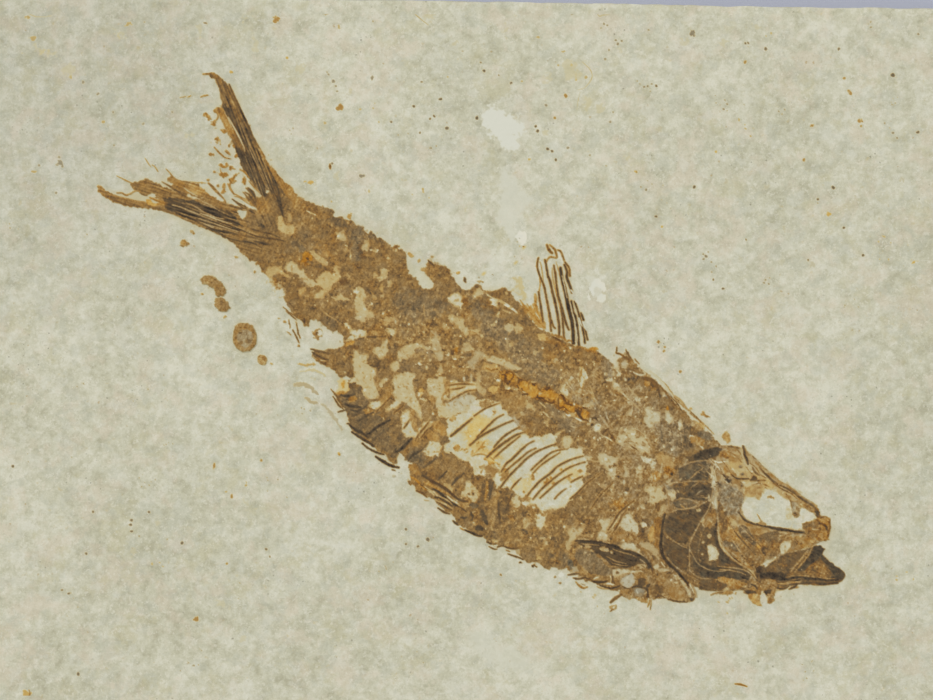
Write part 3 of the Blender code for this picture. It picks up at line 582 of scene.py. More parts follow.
BELLY = """
P 0.44 0.25|384,388 390,386 393,388 392,393 390,398 386,401 379,401 380,398 384,393
P 0.46 0.1|375,380 378,378 381,380 378,384 379,388 382,389 379,391 376,387
P 0.5 0.0|417,376 421,374 424,378 426,383 426,390 427,396 424,399 421,402 418,400 416,396 416,390 414,386 413,382 414,378
P 0.6 -0.1|414,380 419,378 423,381 422,386 417,387
P 0.2 0.9|419,388 422,386 424,388 423,393 421,396 418,392
P -0.05 0|420,399 423,397 427,399 426,402 423,403 421,402
P 0.38 0.2|428,397 434,395 436,400 434,404 430,400
P 0.48 -0.05|421,404 425,402 429,402 431,406 433,409 432,414 430,419 427,421 424,418 422,412
P 0.42 0.25|411,410 414,410 415,414 417,420 418,428 418,432 415,431 412,425 410,418
P 0.4 0.4|434,421 438,420 443,424 446,428 446,434 443,437 438,432 434,430 432,426
P 0.36 0.4|427,434 432,432 437,434 440,440 436,442 430,440 427,438
P 0.4 0.3|445,380 449,380 450,386 449,392 447,396 444,398 442,400 443,394 445,390 444,384
P 0.48 0.1|450,366 458,367 466,370 472,373 470,378 466,374 464,378 466,382 462,382 458,378 452,376 450,372
P 0.52 0.1|443,364 448,362 452,366 452,374 446,376 443,370
P 0.38 0.3|412,441 416,440 420,443 419,447 415,447 413,444
P 0.62 -0.3|338,394 346,393 350,387 358,384 362,388 362,395 368,400 370,403 365,407 372,410 378,410 380,413 377,415 382,417 384,421 392,413 398,411 400,420 401,430 404,436 410,438 414,438 408,444 404,450 400,452 397,458 392,456 386,452 376,446 366,438 356,431 350,424 348,414 343,406
H 0.54 -0.05|386,424 392,416 398,413 400,424 400,434 398,446 392,442 390,436 386,430
H 0.62 -0.6|408,450 416,448 424,450 425,458 420,464 412,462 408,458
P 0.5 0.5|349,396 354,395 358,398 355,402 350,402
P 0.48 0.35|362,409 370,409 376,411 372,415 365,414
P 0.5 0.3|410,465 415,463 420,468 420,475 414,474 410,470
P 0.5 0.5|336,394 340,390 345,391 348,393 340,396
P 0.1 0.6|337,382 341,378 346,380 349,384 350,389 347,392 342,390 338,392 335,393 339,387
S 0.35 1|344,384,2
P 0.66 0.1|345,376 348,372 350,368 353,370 354,376 350,378
P 0.66 0.0|348,380 353,380 358,386 352,389 348,386
P 0.36 0.9|346,343 350,341 355,341 352,345 347,346
P 0.52 0.2 1.2|312,331 317,329 322,331 323,336 319,339 314,338
S 0.0 0|319.5,333.5,2.8,2.4
S 0.75 0|317,333,1.2 469,494,1.4 473,493.5,1.4
L 0.84 -0.3 3.0|341,395 348,396 355,394
L 0.86 -0.3 3.4|345,404 352,406 361,407
L 0.84 -0.1 1.6|338,412 342,411 346,410
L 0.82 -0.3 2.4|351,410 358,411 366,406
L 0.8 -0.3 3.0|358,421 366,416 374,412
L 0.72 -0.3 3.0|352,416 358,414 364,412
L 0.88 -0.3 3.2|366,435 371,432 377,427 384,423 390,420
L 0.7 -0.4 3.0|372,440 378,436 384,430
L 0.88 -0.3 3.4|396,452 401,449 406,444 412,438
L 0.8 -0.4 2.6|408,461 412,456 418,452 424,447 427,443
L 0.84 -0.3 2.2|411,457 415,452
L 0.8 -0.3 2.4|438,480 442,476 447,471
L 0.8 -0.3 3.0|452,485 457,479 464,473
L 0.74 -0.3 2.6|424,467 430,463 437,457
L 0.6 -0.2 1.4|443,447 441,453 439,457
L 0.55 0.1 2.0|428,440 424,446 420,450
L 0.85 -0.3 5.0|482,511 484,517 487,524
P 0.86 -0.2|476,526 480,526 484,528 483,531 478,531 475,529
L 0.84 -0.2 2.2|471,512 472.6,516 472,520
L 0.84 -0.2 2.2|460,517 464,518 467,517
H 0.74 -0.2|486,474 492,480 494,490 490,500 484,512 486,522 480,518 478,506 482,492
H 0.72 -0.1|500,488 508,494 512,506 514,520 508,526 500,520 498,506
L 0.76 -0.1 3.0|498,500 499,512 500,524
L 0.76 -0.2 3.0|493,482 491,490 489,500
L 0.72 -0.1 2.6|484,485 484,494 481,503
L 0.5 0.5 3.0|487,482 487,490 485,500
L 0.64 0.0 3.0|508,489 506,498 503,507
L 0.8 0.0 1.8|512,494 509,502 506,509
P 0.72 -0.5|470,504 475,502 480,506 476,509 471,508
P 0.62 0.4|508,516 513,515 515,520 511,522
P 0.74 -0.5|523,530 527,530 528,533 524,534
H 0.72 -0.5|538,530 544,532 546,538 542,541 538,537
H 0.7 -0.5|548,553 554,554 556,558 550,559
H 0.62 -0.1|531,533 540,531 545,534 552,526 560,528 566,536 566,546 556,546 546,548 536,544 530,540
H 0.6 0.1|546,512 556,510 562,510 566,516 560,524 552,524 548,520
H 0.58 0.2|526,506 532,503 537,507 540,512 536,516 530,518 526,513
P 0.6 -0.1|521,506 525,510 527,516 522,518
"""

RIGHT = """
L 0.05 0 2.4|630,371 635,373 640,375 645,374 643,371
L 0.72 0.1 1.8|645,377 650,378 655,382 659,386
P 0.46 0.7|645,381 649,381 651,385 648,387 645,385
P 0.78 0.1|650,381 654,380 657,384 656,388 651,388
P 0.55 0.4|650,386 655,387 656,391 651,391
L 0.78 -0.3 2.2|656,386 659,392 660,398
P 0.06 0|662,390 666,388 668,392 665,396 662,397
P 0.5 -0.8|665,393 671,393 672,397 667,399
L 0.78 0 1.0|635,359 639,364
L 0.76 0 1.2|665,385 670,391 674,397 679,401
L 0.74 0 1.2|670,396 676,402 680,408 683,413
L 0.32 0.3 2.6|675,396 680,400 684,405 687,409 690,411
P 0.26 0.8|688,407 692,407 693,410 689,411
L 0.72 0.1 1.4|691,412 695,416 700,421 703,424
P 0.42 0.4|701,415 703,411 706,414 710,417 705,417
P 0.35 0.4|723,435 726,429 729,434 730,440 728,443 725,440 722,437
L 0.6 0.2 1.2|731,446 738,447.5 744,449 744,446
S 0.5 1|667.5,408.5,1.4,2.4
P 0.06 0|644,418 647,413 648,409 651,413 653,409 655,413 658,415 659,419 656,422 653,425 649,423 646,421
P 0.05 0|666,415 669,413 672,415 672,420 670,423 667,421 666,418
H 0.6 -0.6 0.7|654,424 672,420 690,426 692,448 676,456 660,450
L 0.72 -0.6 1.2|660,428 662,436 661,444
L 0.7 -0.6 1.0|668,426 670,436 670,446
L 0.7 -0.6 1.2|676,430 677,440 676,448
L 0.72 -0.5 1.0|684,428 685,438 687,448
L 0.28 -0.4 1.2|664,430 666,438 665,447
L 0.3 -0.4 1.0|672,428 674,438 673,448
L 0.26 -0.4 1.2|680,432 682,440 683,448
S 0.0 0|680.5,425,2,4 693,424,1.6,2.4
S -0.08 0|657,430,2.4,1.2 682,433,2,1.6 692,436.5,3.4,1.6 663.5,446.5,1.4,2 670,434,0.9,2
L -0.02 0 2.6|697,442 701,446 703,449
S 0.88 0|690.5,444,1.6,2.6
S 0.68 0|652,437,2.4,3
P 0.6 -0.6|697,432 704,430 712,433 711,440 703,441 697,438
P 0.5 0.5|690,437 697,436 705,440 704,446 697,444 691,442
P 0.38 0.3|694,422 701,421 706,426 704,430 698,430 694,427
L 0.88 -0.2 2.6|710,449 717,448 724,447
P 0.1 0.2|620,436 627,431 636,430 645,432 648,440 650,447 650,453 644,453 636,449 628,446 620,442
L 0.84 0.1 1.5|630,445 634,448 637,449.5
L 0.78 0.1 1.3|645,452 646,455
P 0.1 0|600,453 604,453 609,456 614,457 619,460 617,463 612,465 608,466 600,464
P 0.1 0.1|608,470 612,466 616,468 616,475 614,480 610,478 607,473
P 0.12 0|623,465 626,466 628,469 626,472 623,470
P 0.14 0|624,473 628,471 630,474 627,476 624,476
P 0.08 0.1|635,468 639,465 643,468 644,472 641,474 636,473
P 0.0 0|640,456 646,456 652,459 656,461 656,466 654,468 651,468 648,463 643,462
P 0.25 0.6|656,453 662,452 668,455 672,460 675,465 670,468 664,467 659,463 656,458
L 0.1 0.1 2.2|662,464 661,470 660,475
P 0.55 0.7|663,468 668,466 674,468 674,474 669,477 664,474
P 0.5 0.6|650,473 656,471 661,474 660,480 654,482 650,478
L -0.12 0 1.5|651,474 652,477 652,480
L -0.1 0 1.5|654.5,475 655,478 655,480
P 0.05 0|666,481 671,478 676,476.5 677,478 672,481 668,484
P 0.1 0.25|645,488 648,486 655,487 662,487 666,490 667,494 667,498 663,500 660,502 658,504 654,505 650,504 648,502 650,498 648,494 645,491
S 0.36 0.4|655,491,1.2 653,497,1.6,1.2 661,497,1,0.8
P 0.64 0.1|663,488 666,488 667,492 665,494 662,491
S 0.08 0.1|671,494.5,3.4,2.6
H 0.5 0.8 0.8|612,500 622,498 624,506 616,510 611,506
P 0.02 0|610,491 611,487 614,484 613,489 611,492
S -0.14 0|625.5,493.5,1.2,2.2
L -0.12 0 1.9|611,529 616,521 621,513
L -0.04 0 1.4|616,531 620,524 624,516
P 0.04 0|627,513 631,514 634,519 637,524 639,528 638,533 635,536 631,533 627,532 622,529 621,524 624,518
P -0.04 0|640,522 643,521 646,523 647,527 642,527 640,525
H 0.5 0.3 0.9|608,532 616,530 626,533 635,534 634,542 622,544 610,540
P 0.05 0|616,545 624,543 632,542 636,546 640,552 643,556 638,554 630,551 622,549
S -0.14 0|623,540.5,1.3 609,543,1
P 0.4 0.3|655,505 660,504 662,508 659,514 656,512
P 0.22 0.3|660,506 664,504 667,507 665,512 662,516 659,514
P 0.7 0.2|655,503 660,502 660,507 657,511 655,508
L 0.2 0.3 1.4|658,512 659,517 660,522
L 0.12 0.2 1.4|663,505 662,511 659,516
P 0.36 0.9|649,528 653,524 655,530 654,541 650,543 648,536
P 0.58 0.6|654,520 659,516 660,528 660,542 659,551 655,546 654,535
P 0.02 0 0.5|612,359 616,358 618,363 620,368 617,371 613,369 614,364
P 0.04 0 0.5|665,411 669,410 672,416 673,422 669,424 665,420
L 0.14 0.1 2.0|628,386 632,392 637,398 640,406
L 0.2 0.1 2.4|622,392 628,398 634,404 640,410
P 0.1 0.1 0.6|612,380 618,384 622,390 618,392 612,387
P 0.06 0 0.5|644,408 650,406 652,412 657,416 655,422 649,424 643,420 646,415
S 0.44 0.1|622,432,3,1.6,30 631,428,2.6,1.4 638,436,3,1.8,-20 627,441,2.4,1.6 644,444,2,2.6 635,447,2.6,1.4 618,438,2,1.6 649,437,2,1.6
L 0.44 0.2 1.3|620,428 626,434 630,441 637,443
L 0.42 0.3 1.2|636,430 642,434 646,440 652,444
B 0.3 0.1|628,447,5,3 641,429,4,2.4 650,446,4,3
S -0.1 0|633,434,1.6,1.2 645,438,1.3 626,437,1.1 606,459,1.4 611,470,1.2 640,466,1.6,1.2 621,356,1.1 593,362,1.2
"""
LOWER = """
L 0.5 0.9 2.4|411,477 416,480 421,485 426,490
L 0.7 0.1 1.6|418,465 421,471 426,476 432,479
L 0.45 0.5 3.0|424,482 432,486 440,490 448,494
L 0.82 0.2 3.2|422,475 430,480 438,484 446,489 452,494 458,499 463,501 468,501.5
L 0.82 0 1.6|420,484 428,489 436,490
L -0.02 0 1.3|424,486 430,490 436,493
L 0.9 -0.1 3.2|434,489 440,493 446,499 452,503 458,506
L 0.84 -0.1 2.2|435,497 440,498 446,502 452,506
L 0.05 0 1.4|436,495 441,497 447,500 452,504
L 0.78 0 2.0|440,503 446,507 452,510
L 0.04 0 1.4|440,501 446,504 452,508
L 0.84 0 2.2|438,508 444,512 450,514
L 0.78 0 2.0|458,506 463,509 467,512
L 0.72 0.3 2.6|417,491 422,493 427,497
S 0.62 0.2|409,482.5,2.4,1.6,40
L 0.3 0.2 1.2|424,500 429,501
L 0.85 0 2.2|453,521 458,525
L 0.5 0.7 1.8|460,528 464,530
L 0.88 0 2.8|465,530 472,533 478,535.5 482,536
L 0.86 0 1.6|487,542 491,544 496,544
L 0.86 0 1.6|489,546.5 494,549 497,549
S -0.1 0|493,545.6,3,0.7 494,541,2.4,0.9
L 0.84 0 1.4|497,547 503,546 508,548 515,549 519,548.5
L 0.6 0.3 1.2|506,550 510,551.5
L 0.82 0 2.0|508,554 514,556 520,558 523,559.5
S 0.82 0|520.5,562.5,1.6,1 534,565,3,1.8
P 0.16 0.4|568,553 572,551.5 576,554 575,559 571,560 568,557
P 0.15 0.3|536,556 541,556 541,559 537,559
P 0.2 0.2|515,549 521,550 520,554 516,554
L 0.8 0.1 1.8|428,260 431,263 434,266
"""
# throat and pectoral fin; the pale spots at 619,554 and 628.5,554 and the pale strokes at 596,572 and 596,578 are
# painted glints, small highlights
THROAT = """
H 0.54 0.25 0.9|574,542 600,542 622,548 640,556 650,570 640,580 620,588 600,583 582,578 572,570 566,558
H 0.5 0.1 0.8|576,560 584,560 584,573 577,574
H 0.52 0.5 0.8|580,553 598,552 602,566 594,574 582,572
H 0.62 -0.5 0.8|560,552 568,552 569,566 560,568
P 0.62 -0.8|568,560 572,560 573,567 571,570 568,566
P 0.15 -0.7|572,567 577,566 578,571 573,572
P 0.62 0.1|574,543 580,543 581,549 577,551 574,549
P 0.42 0.6|572,549 577,549 577,552 573,553
H 0.66 0.0 0.9|577,541 592,541 604,544 602,549 590,548 578,546
L 0.88 0.15 2.2|575,541 580,540.5 586,541 592,541 598,541.5 603,543 606,546
L 0.8 0 1.3|580,543.5 586,543.2 592,543.8
L 0.84 0 1.4|594,545.2 600,545.4 605,546.4
L 0.84 -0.1 1.4|592,547.8 598,547.4 602,548
P 0.8 -0.3|593,547.5 600,547 602,550 597,552 593,550
L 0.05 0 1.0|588,544.6 592,544.6
L 0.12 0.3 1.0|592,546.6 597,546.3
L 0.05 0.1 0.9|597,544 603,544.6
L 0.05 0.1 0.9|603,546.8 606,548.2
S -0.1 0|584.5,543.6,1.4,0.9 592.5,542.4,0.8 586,547.2,1.6,0.8
S 0.1 0|581.5,546,1.4,1.6
L 0.84 0 1.0|582.5,546 583.5,548.5 586,549.4
P 0.1 0.1|583,549.5 588,550.3 592,549 593,552 589,554 585,553 582,551
L 0.46 0.7 1.2|585,551 588,551.6 590,550
P 0.34 -0.5|576,552 584,553 587,556 583,558 577,557
P 0.12 -0.7|602,548 605,546.5 607,549 608,552 604,552 602,550
P 0.12 0.2|606,545 608,548 611,550 612,552 609,553 607,551
L 0.88 -0.1 2.6|608.6,545 614,545.2 618,547 621,550 623,553
L 0.84 -0.1 1.3|609,547.8 614,548 618,549.6
P 0.8 -0.15|600,552 606,553.5 612,554.6 618,553.6 622,551.6 626,550.5 632,551.5 638,554.6 643,557 647,560 649,565 649,569 646,567 643,561.6 638,559.4 634,561.5 630,562 626,560.5 622,559 616,560.5 610,559 604,558 600,555
L 0.58 0.1 1.0|601,553.6 607,555.4 613,556
L 0.52 0.1 0.9|603,556.4 609,557.6 616,558
L 0.6 -0.1 0.9|624,556 631,557.4 638,558.4
L 0.5 0.1 0.8|626,553.4 633,555 640,558
L 0.93 -0.1 2.0|624,550.6 630,551 636,553.2 641,556 646,560 650,565 652,570
S -0.16 0|619,554.3,2.4,1.2,10
S 0.25 -0.4|628.5,553.8,2,0.7
P 0.74 -0.6|624,562 628,560 633,559 637,561 637,565 633,566 629,568 625,566
P 0.14 0.3|617,564 620,562 624,561.5 625,564 624,567 620,567 618,566
L 0.22 0.2 1.2|607.6,562.4 613,562.6 618,561.6
L 0.74 -0.1 1.0|607.6,564.2 612,564.6 617,565
L 0.22 0.1 1.0|608,566.2 613,566.2 618,567
L 0.66 -0.1 1.3|610,568 618,568.2 626,567.6 632,568.4
P 0.08 0|638,560 642,558.6 646,561 647.6,565 644,568.6 640,568.6 637,565
L 0.74 0 0.9|639,561 643,564.2
L 0.74 0 0.9|642,560 645.6,563.4
L 0.72 0 0.9|641,565 644.4,567.4
P 0.62 -0.9|600,568 605,566.6 608,569 607,574.6 602,575 600,572
L 0.12 0 2.2|596.4,570.4 595.4,574
P 0.76 0|588.6,569 593,568.4 594.6,572 591,574.6 588.6,573
P 0.45 0.6|582.6,567 588,566 588.6,573.4 584,574.6 582,571
P 0.42 0.4|593,576 598,574.6 603,576 602,579.6 596,579.6
L -0.1 0 1.8|594,579 596,577.6 598.6,577
P 0.26 0|606,569 610,568 612,573 611,577.4 607.6,577
S 0.72 0|612,573.6,1.2,2
P 0.04 0|611,569 618,568.8 626,569 634,570 640,570 644,572 640,575 634,573 629,573 622,575 616,577 612,575
S 0.66 0.1|617.5,572.6,1.6,1.4
P 0.42 0.3|617,578 622,575 627,573.4 629,575.4 624,578 619,580.4
P 0.1 -0.5|622,578.6 626,575.6 631,573.6 635,575.6 636,580 634,585 630,588 625,588 622,584.6 620,582
P 0.5 0.4|634,574 640,571.6 646,574 649,580 647,587 641,589 636,586 634.6,580
P 0.76 0.15|637,579 641,577.4 645,579 645.6,584.4 642,587.4 638,585.6
L 0.8 -0.3 1.9|568,575 573,574 579.6,574
L 0.84 0.2 1.6|573,578 580,579 585,577.6 591.6,579.6
L 0.0 -0.5 1.3|574,576.6 579,576.9 583,576
L 0.9 0.1 2.6|592,581 597,582 603,582 607,581
L -0.1 0 1.5|610.4,576 611,579 610.4,583
L 0.8 0 2.4|612.6,576 612.6,580 614.6,583.4
L -0.15 0 2.2|604,584.2 608,583.6 613.6,584.6
L 0.9 -0.1 2.1|600,585.4 605,587 610,588.4 615,587.6 619.6,585.4
L 0.42 0.6 1.6|597,586.6 603,588.6 608,589
P 0.6 0.1|608.6,588.6 613,589.4 618,587.6 617,590.6 611,590.6
L 0.55 0.8 2.3|576,582 579,585.4 583,588 587.4,587
L 0.4 -0.5 1.2|581,584 585,585
L 0.82 0 1.2|622,585.8 627,588.4 632,588
L 0.86 -0.1 2.3|632,587.4 636.6,586.2 641.6,587.4 646.6,588
P 0.28 -1|634,588.6 640,588.2 645,589.4 644.6,594 640,597.4 635,595.4
L -0.14 0 1.4|645,594 647.4,591
L -0.1 0 1.1|642.6,597 644.2,600.4
L -0.05 -0.5 1.0|636.4,589.6 638,593.6
P 0.46 0.5|620.6,590 625,588.8 631,589.2 633.4,592 628,595.4 622,594.4
S 0.68 0.2|629.4,592,1.8,2
P 0.42 0.5|627,594.6 632,594.6 634,598.4 629,599.4
P 0.46 0.6|636,597 642,598 648,599 648,603.6 642,602.8 637.6,600.4
L 0.5 0.6 2.0|650,599.6 649,603.4 647.6,607
L 0.62 0 1.2|651.4,600 651,605 650.4,610
P 0.86 -0.1|646,584.4 650,583.6 651.6,590 650.6,597.4 647.4,598 645.8,591
P 0.5 0.35|648,588 654,582.4 660,578 668,578 676,582 682,586 686,592 688,598 686,601 678,601.4 670,600 664,597 656,598 650,598 648.4,594
P 0.64 0|650,586 656,583 662,586 664,593 660,596.6 652,597
P 0.34 0.6|669,587 677,586 683,590 686,596 682,600.4 673,599.4 668,593
S 0.2 0.6|682,593,2.6,2.6
L 0.86 0.1 1.5|668,599.4 674,600.8 681,601.8 687,602
L 0.8 0.1 1.9|655,597.6 660,595.6 664.6,597.4
P 0.3 0.4|655.6,576 660,574.4 661.6,578.6 657.6,580.6
P 0.7 0.1|664.6,572.4 670,571.4 672.6,573.4 668,575
P 0.05 -0.2|658,569 664,568 670,570 665,571.4 660,572.4
P 0.03 -0.1|673,574 678,574.6 681,578.6 677,579.6 673.6,577
S -0.1 0|675.5,582.6,1.6,1.2 661,583,0.9 671,580,1
P 0.05 0.1|680,580.4 684,580 687,585 690,592 692,598 689,596.6 686,590 682,584
P 0.86 0.5|686.4,580.6 689.4,581.4 689,586.6 687,586
L 0.34 0.4 2.2|686,572 690,580 694,590 696,597
S 0.8 -0.3|691.6,599.6,1.6
L 0.7 0.2 3.4|610.4,602.4 613,600 617,597 621.6,594.6
P 0.35 0.4|609,606.6 612,604.6 616,605 617.4,608.6 614.6,611 611,610
S 0.0 0|613.6,607,1.6,1.4
L 0.7 0.2 1.2|610,611.6 613,609.4
P 0.2 0.2|640,543.4 646,541.6 652,544 656,548 660,553 659,560 655,556 651,552 646,549 642,548
S 0.66 0|658.4,554,1.2,2
L 0.36 0.4 2.2|646,551 650,556 653,561 655,567 656,573
L 0.8 0.1 1.2|650.4,562 652,567.4 652.4,572.4
L 0.56 0.5 1.2|644,551 648,557 651.6,563
P 0.06 0|653.4,566 657,562 660.6,566 658,569 654.6,569.4
L -0.1 0 1.2|661,562 663,564.6 665,567
"""


def paint_body():
    draw(DARK_AND_TAN)
    draw(PALE)
    ink(fill(P_WINDOW, 0.8, torn=1.0), 0.05, 0.0, 0.15)
    draw(IN_WINDOW, 1.4)
    draw(BELLY)
    draw(ORANGE_BONES)
    draw(RIGHT)


paint_body()

RIBS = [
    ("449,385.5 458,384 474,384.4", 1.6), ("451,389.5 458,388.5 465,387", 1.5), ("450,400.5 459.5,395 468,391 476,390", 1.6),
    ("451,436 460.5,428 472,418.5", 3.0), ("474,416 484,409 492,405.6 499.5,403", 1.6), ("470,445 481,436 492,430 502.6,424.6 513,420.5", 2.6),
    ("477,437 487,427 496,418.5 503.6,414.4", 2.0), ("494,447 501.5,438.5 510,432 519.5,427", 2.2), ("487,457 497,448 508,440 516,435 525,432", 2.8),
    ("494,458 502.6,450 511,443 520,436", 1.8), ("501,472 506,464 512,459 521,450 528,444 534,441", 2.2), ("505,472 510,467 521,458 528,452 536,448", 1.9),
    ("500,488 505,481 512,473 520,465 526,459 536,452 547,447 556,444", 2.2), ("531,470 536,465 543,459 552,452 565,449", 1.7),
    ("533,473 540,466 548,460 556,455 560,452", 1.5), ("511,489 515,484 521,478", 1.6), ("527,496 532,489.5 540,481 550,473.6 558,466 571,459.5 583,456", 2.2),
    ("533,499 541,489.5 550.5,481 564,470.5 575,465 585,462", 2.0), ("540,498 550.5,488.5 561,480 572,474", 1.9), ("554.6,498.7 560,493 566,488.5", 1.6),
    ("571,482 579,477.7 589.5,473.6", 1.7), ("570,499 578,492 587,483 595.6,476.7 602,471.5", 1.8), ("591.5,508 597.7,498.7 604,491.5 613,483", 1.8),
    ("608,530 613,523 619,513 627,506 634.6,500", 2.4), ("612,534 617,526 622,516 627,509", 1.8), ("376,412 383,405 390,398", 1.6),
    ("394,413 399,409 404,405", 2.0), ("404,428 407,424 410,419", 1.7), ("415,441 419,434 425,427 430,420", 2.0), ("421,438 427,430 433,426", 1.6),
]


def paint_ribs():
    for p, w in RIBS:
        ink(stroke(p, w + 1.0, w + 1.6, w + 0.6, 0.15), 0.32, 0.6, much=0.5)
    for p, w in RIBS:
        ink(stroke(p, w * 0.6, w * 0.85, w * 0.4, 0.12), 0.78, 0.1, 1.6, 0.95)


paint_ribs()
draw(SMALL_WHITE, 0.5)


def paint_scutes():
    for p, w, tone in [
        ("347,423.5 350,424", 1.6, 0.8), ("350,425 356,430 362,433 368,437", 3.0, 0.88), ("352,432 358,436 366,441 374,446", 3.0, 0.88),
        ("362,443 368,448 376,452 384,454.5", 2.4, 0.88), ("376,456.5 384,462 392,466 398.5,467.5", 3.4, 0.9), ("392,469.5 395,470.5", 1.4, 0.8),
    ]:
        ink(stroke(p, w * 0.6, w, w * 0.6, 0.6), tone, -0.1, 1.8)
    draw(LOWER)
    # the edge of the belly is ragged with loose splints
    for p, w, tone in [
        ("331,389 336,395 340,402 345,408", 2.2, 0.7), ("333,396 338,404 344,410", 2.0, 0.8), ("283,307 289,312 295,316", 1.4, 0.7),
        ("286,311 292,316 297,320", 1.4, 0.72), ("289,303 294,308", 1.3, 0.7), ("293,330 296,336 299,343", 2.0, 0.72), ("289,320 290,328", 1.3, 0.6),
        ("287,332 291,335", 1.3, 0.62), ("296,322 298,332 300,338", 1.5, 0.72), ("311,349 322,352 330,354", 2.6, 0.74), ("312,352 320,357 328,360", 2.2, 0.8),
        ("314,356 320,361 326,365", 1.6, 0.7),
    ]:
        ink(stroke(p, w * 0.5, w, w * 0.5, 0.7), tone, 0.1, 1.4)


paint_scutes()


def ray(a, b, t):
    """A line part of the way from one line to another."""
    a, b = curve(a, 6), curve(b, 6)
    n = 24
    pick = lambda p, s: p[min(len(p) - 1, int(round(s * (len(p) - 1))))]
    return [tuple((1 - t) * np.array(pick(a, i / n)) + t * np.array(pick(b, i / n))) for i in range(n + 1)]


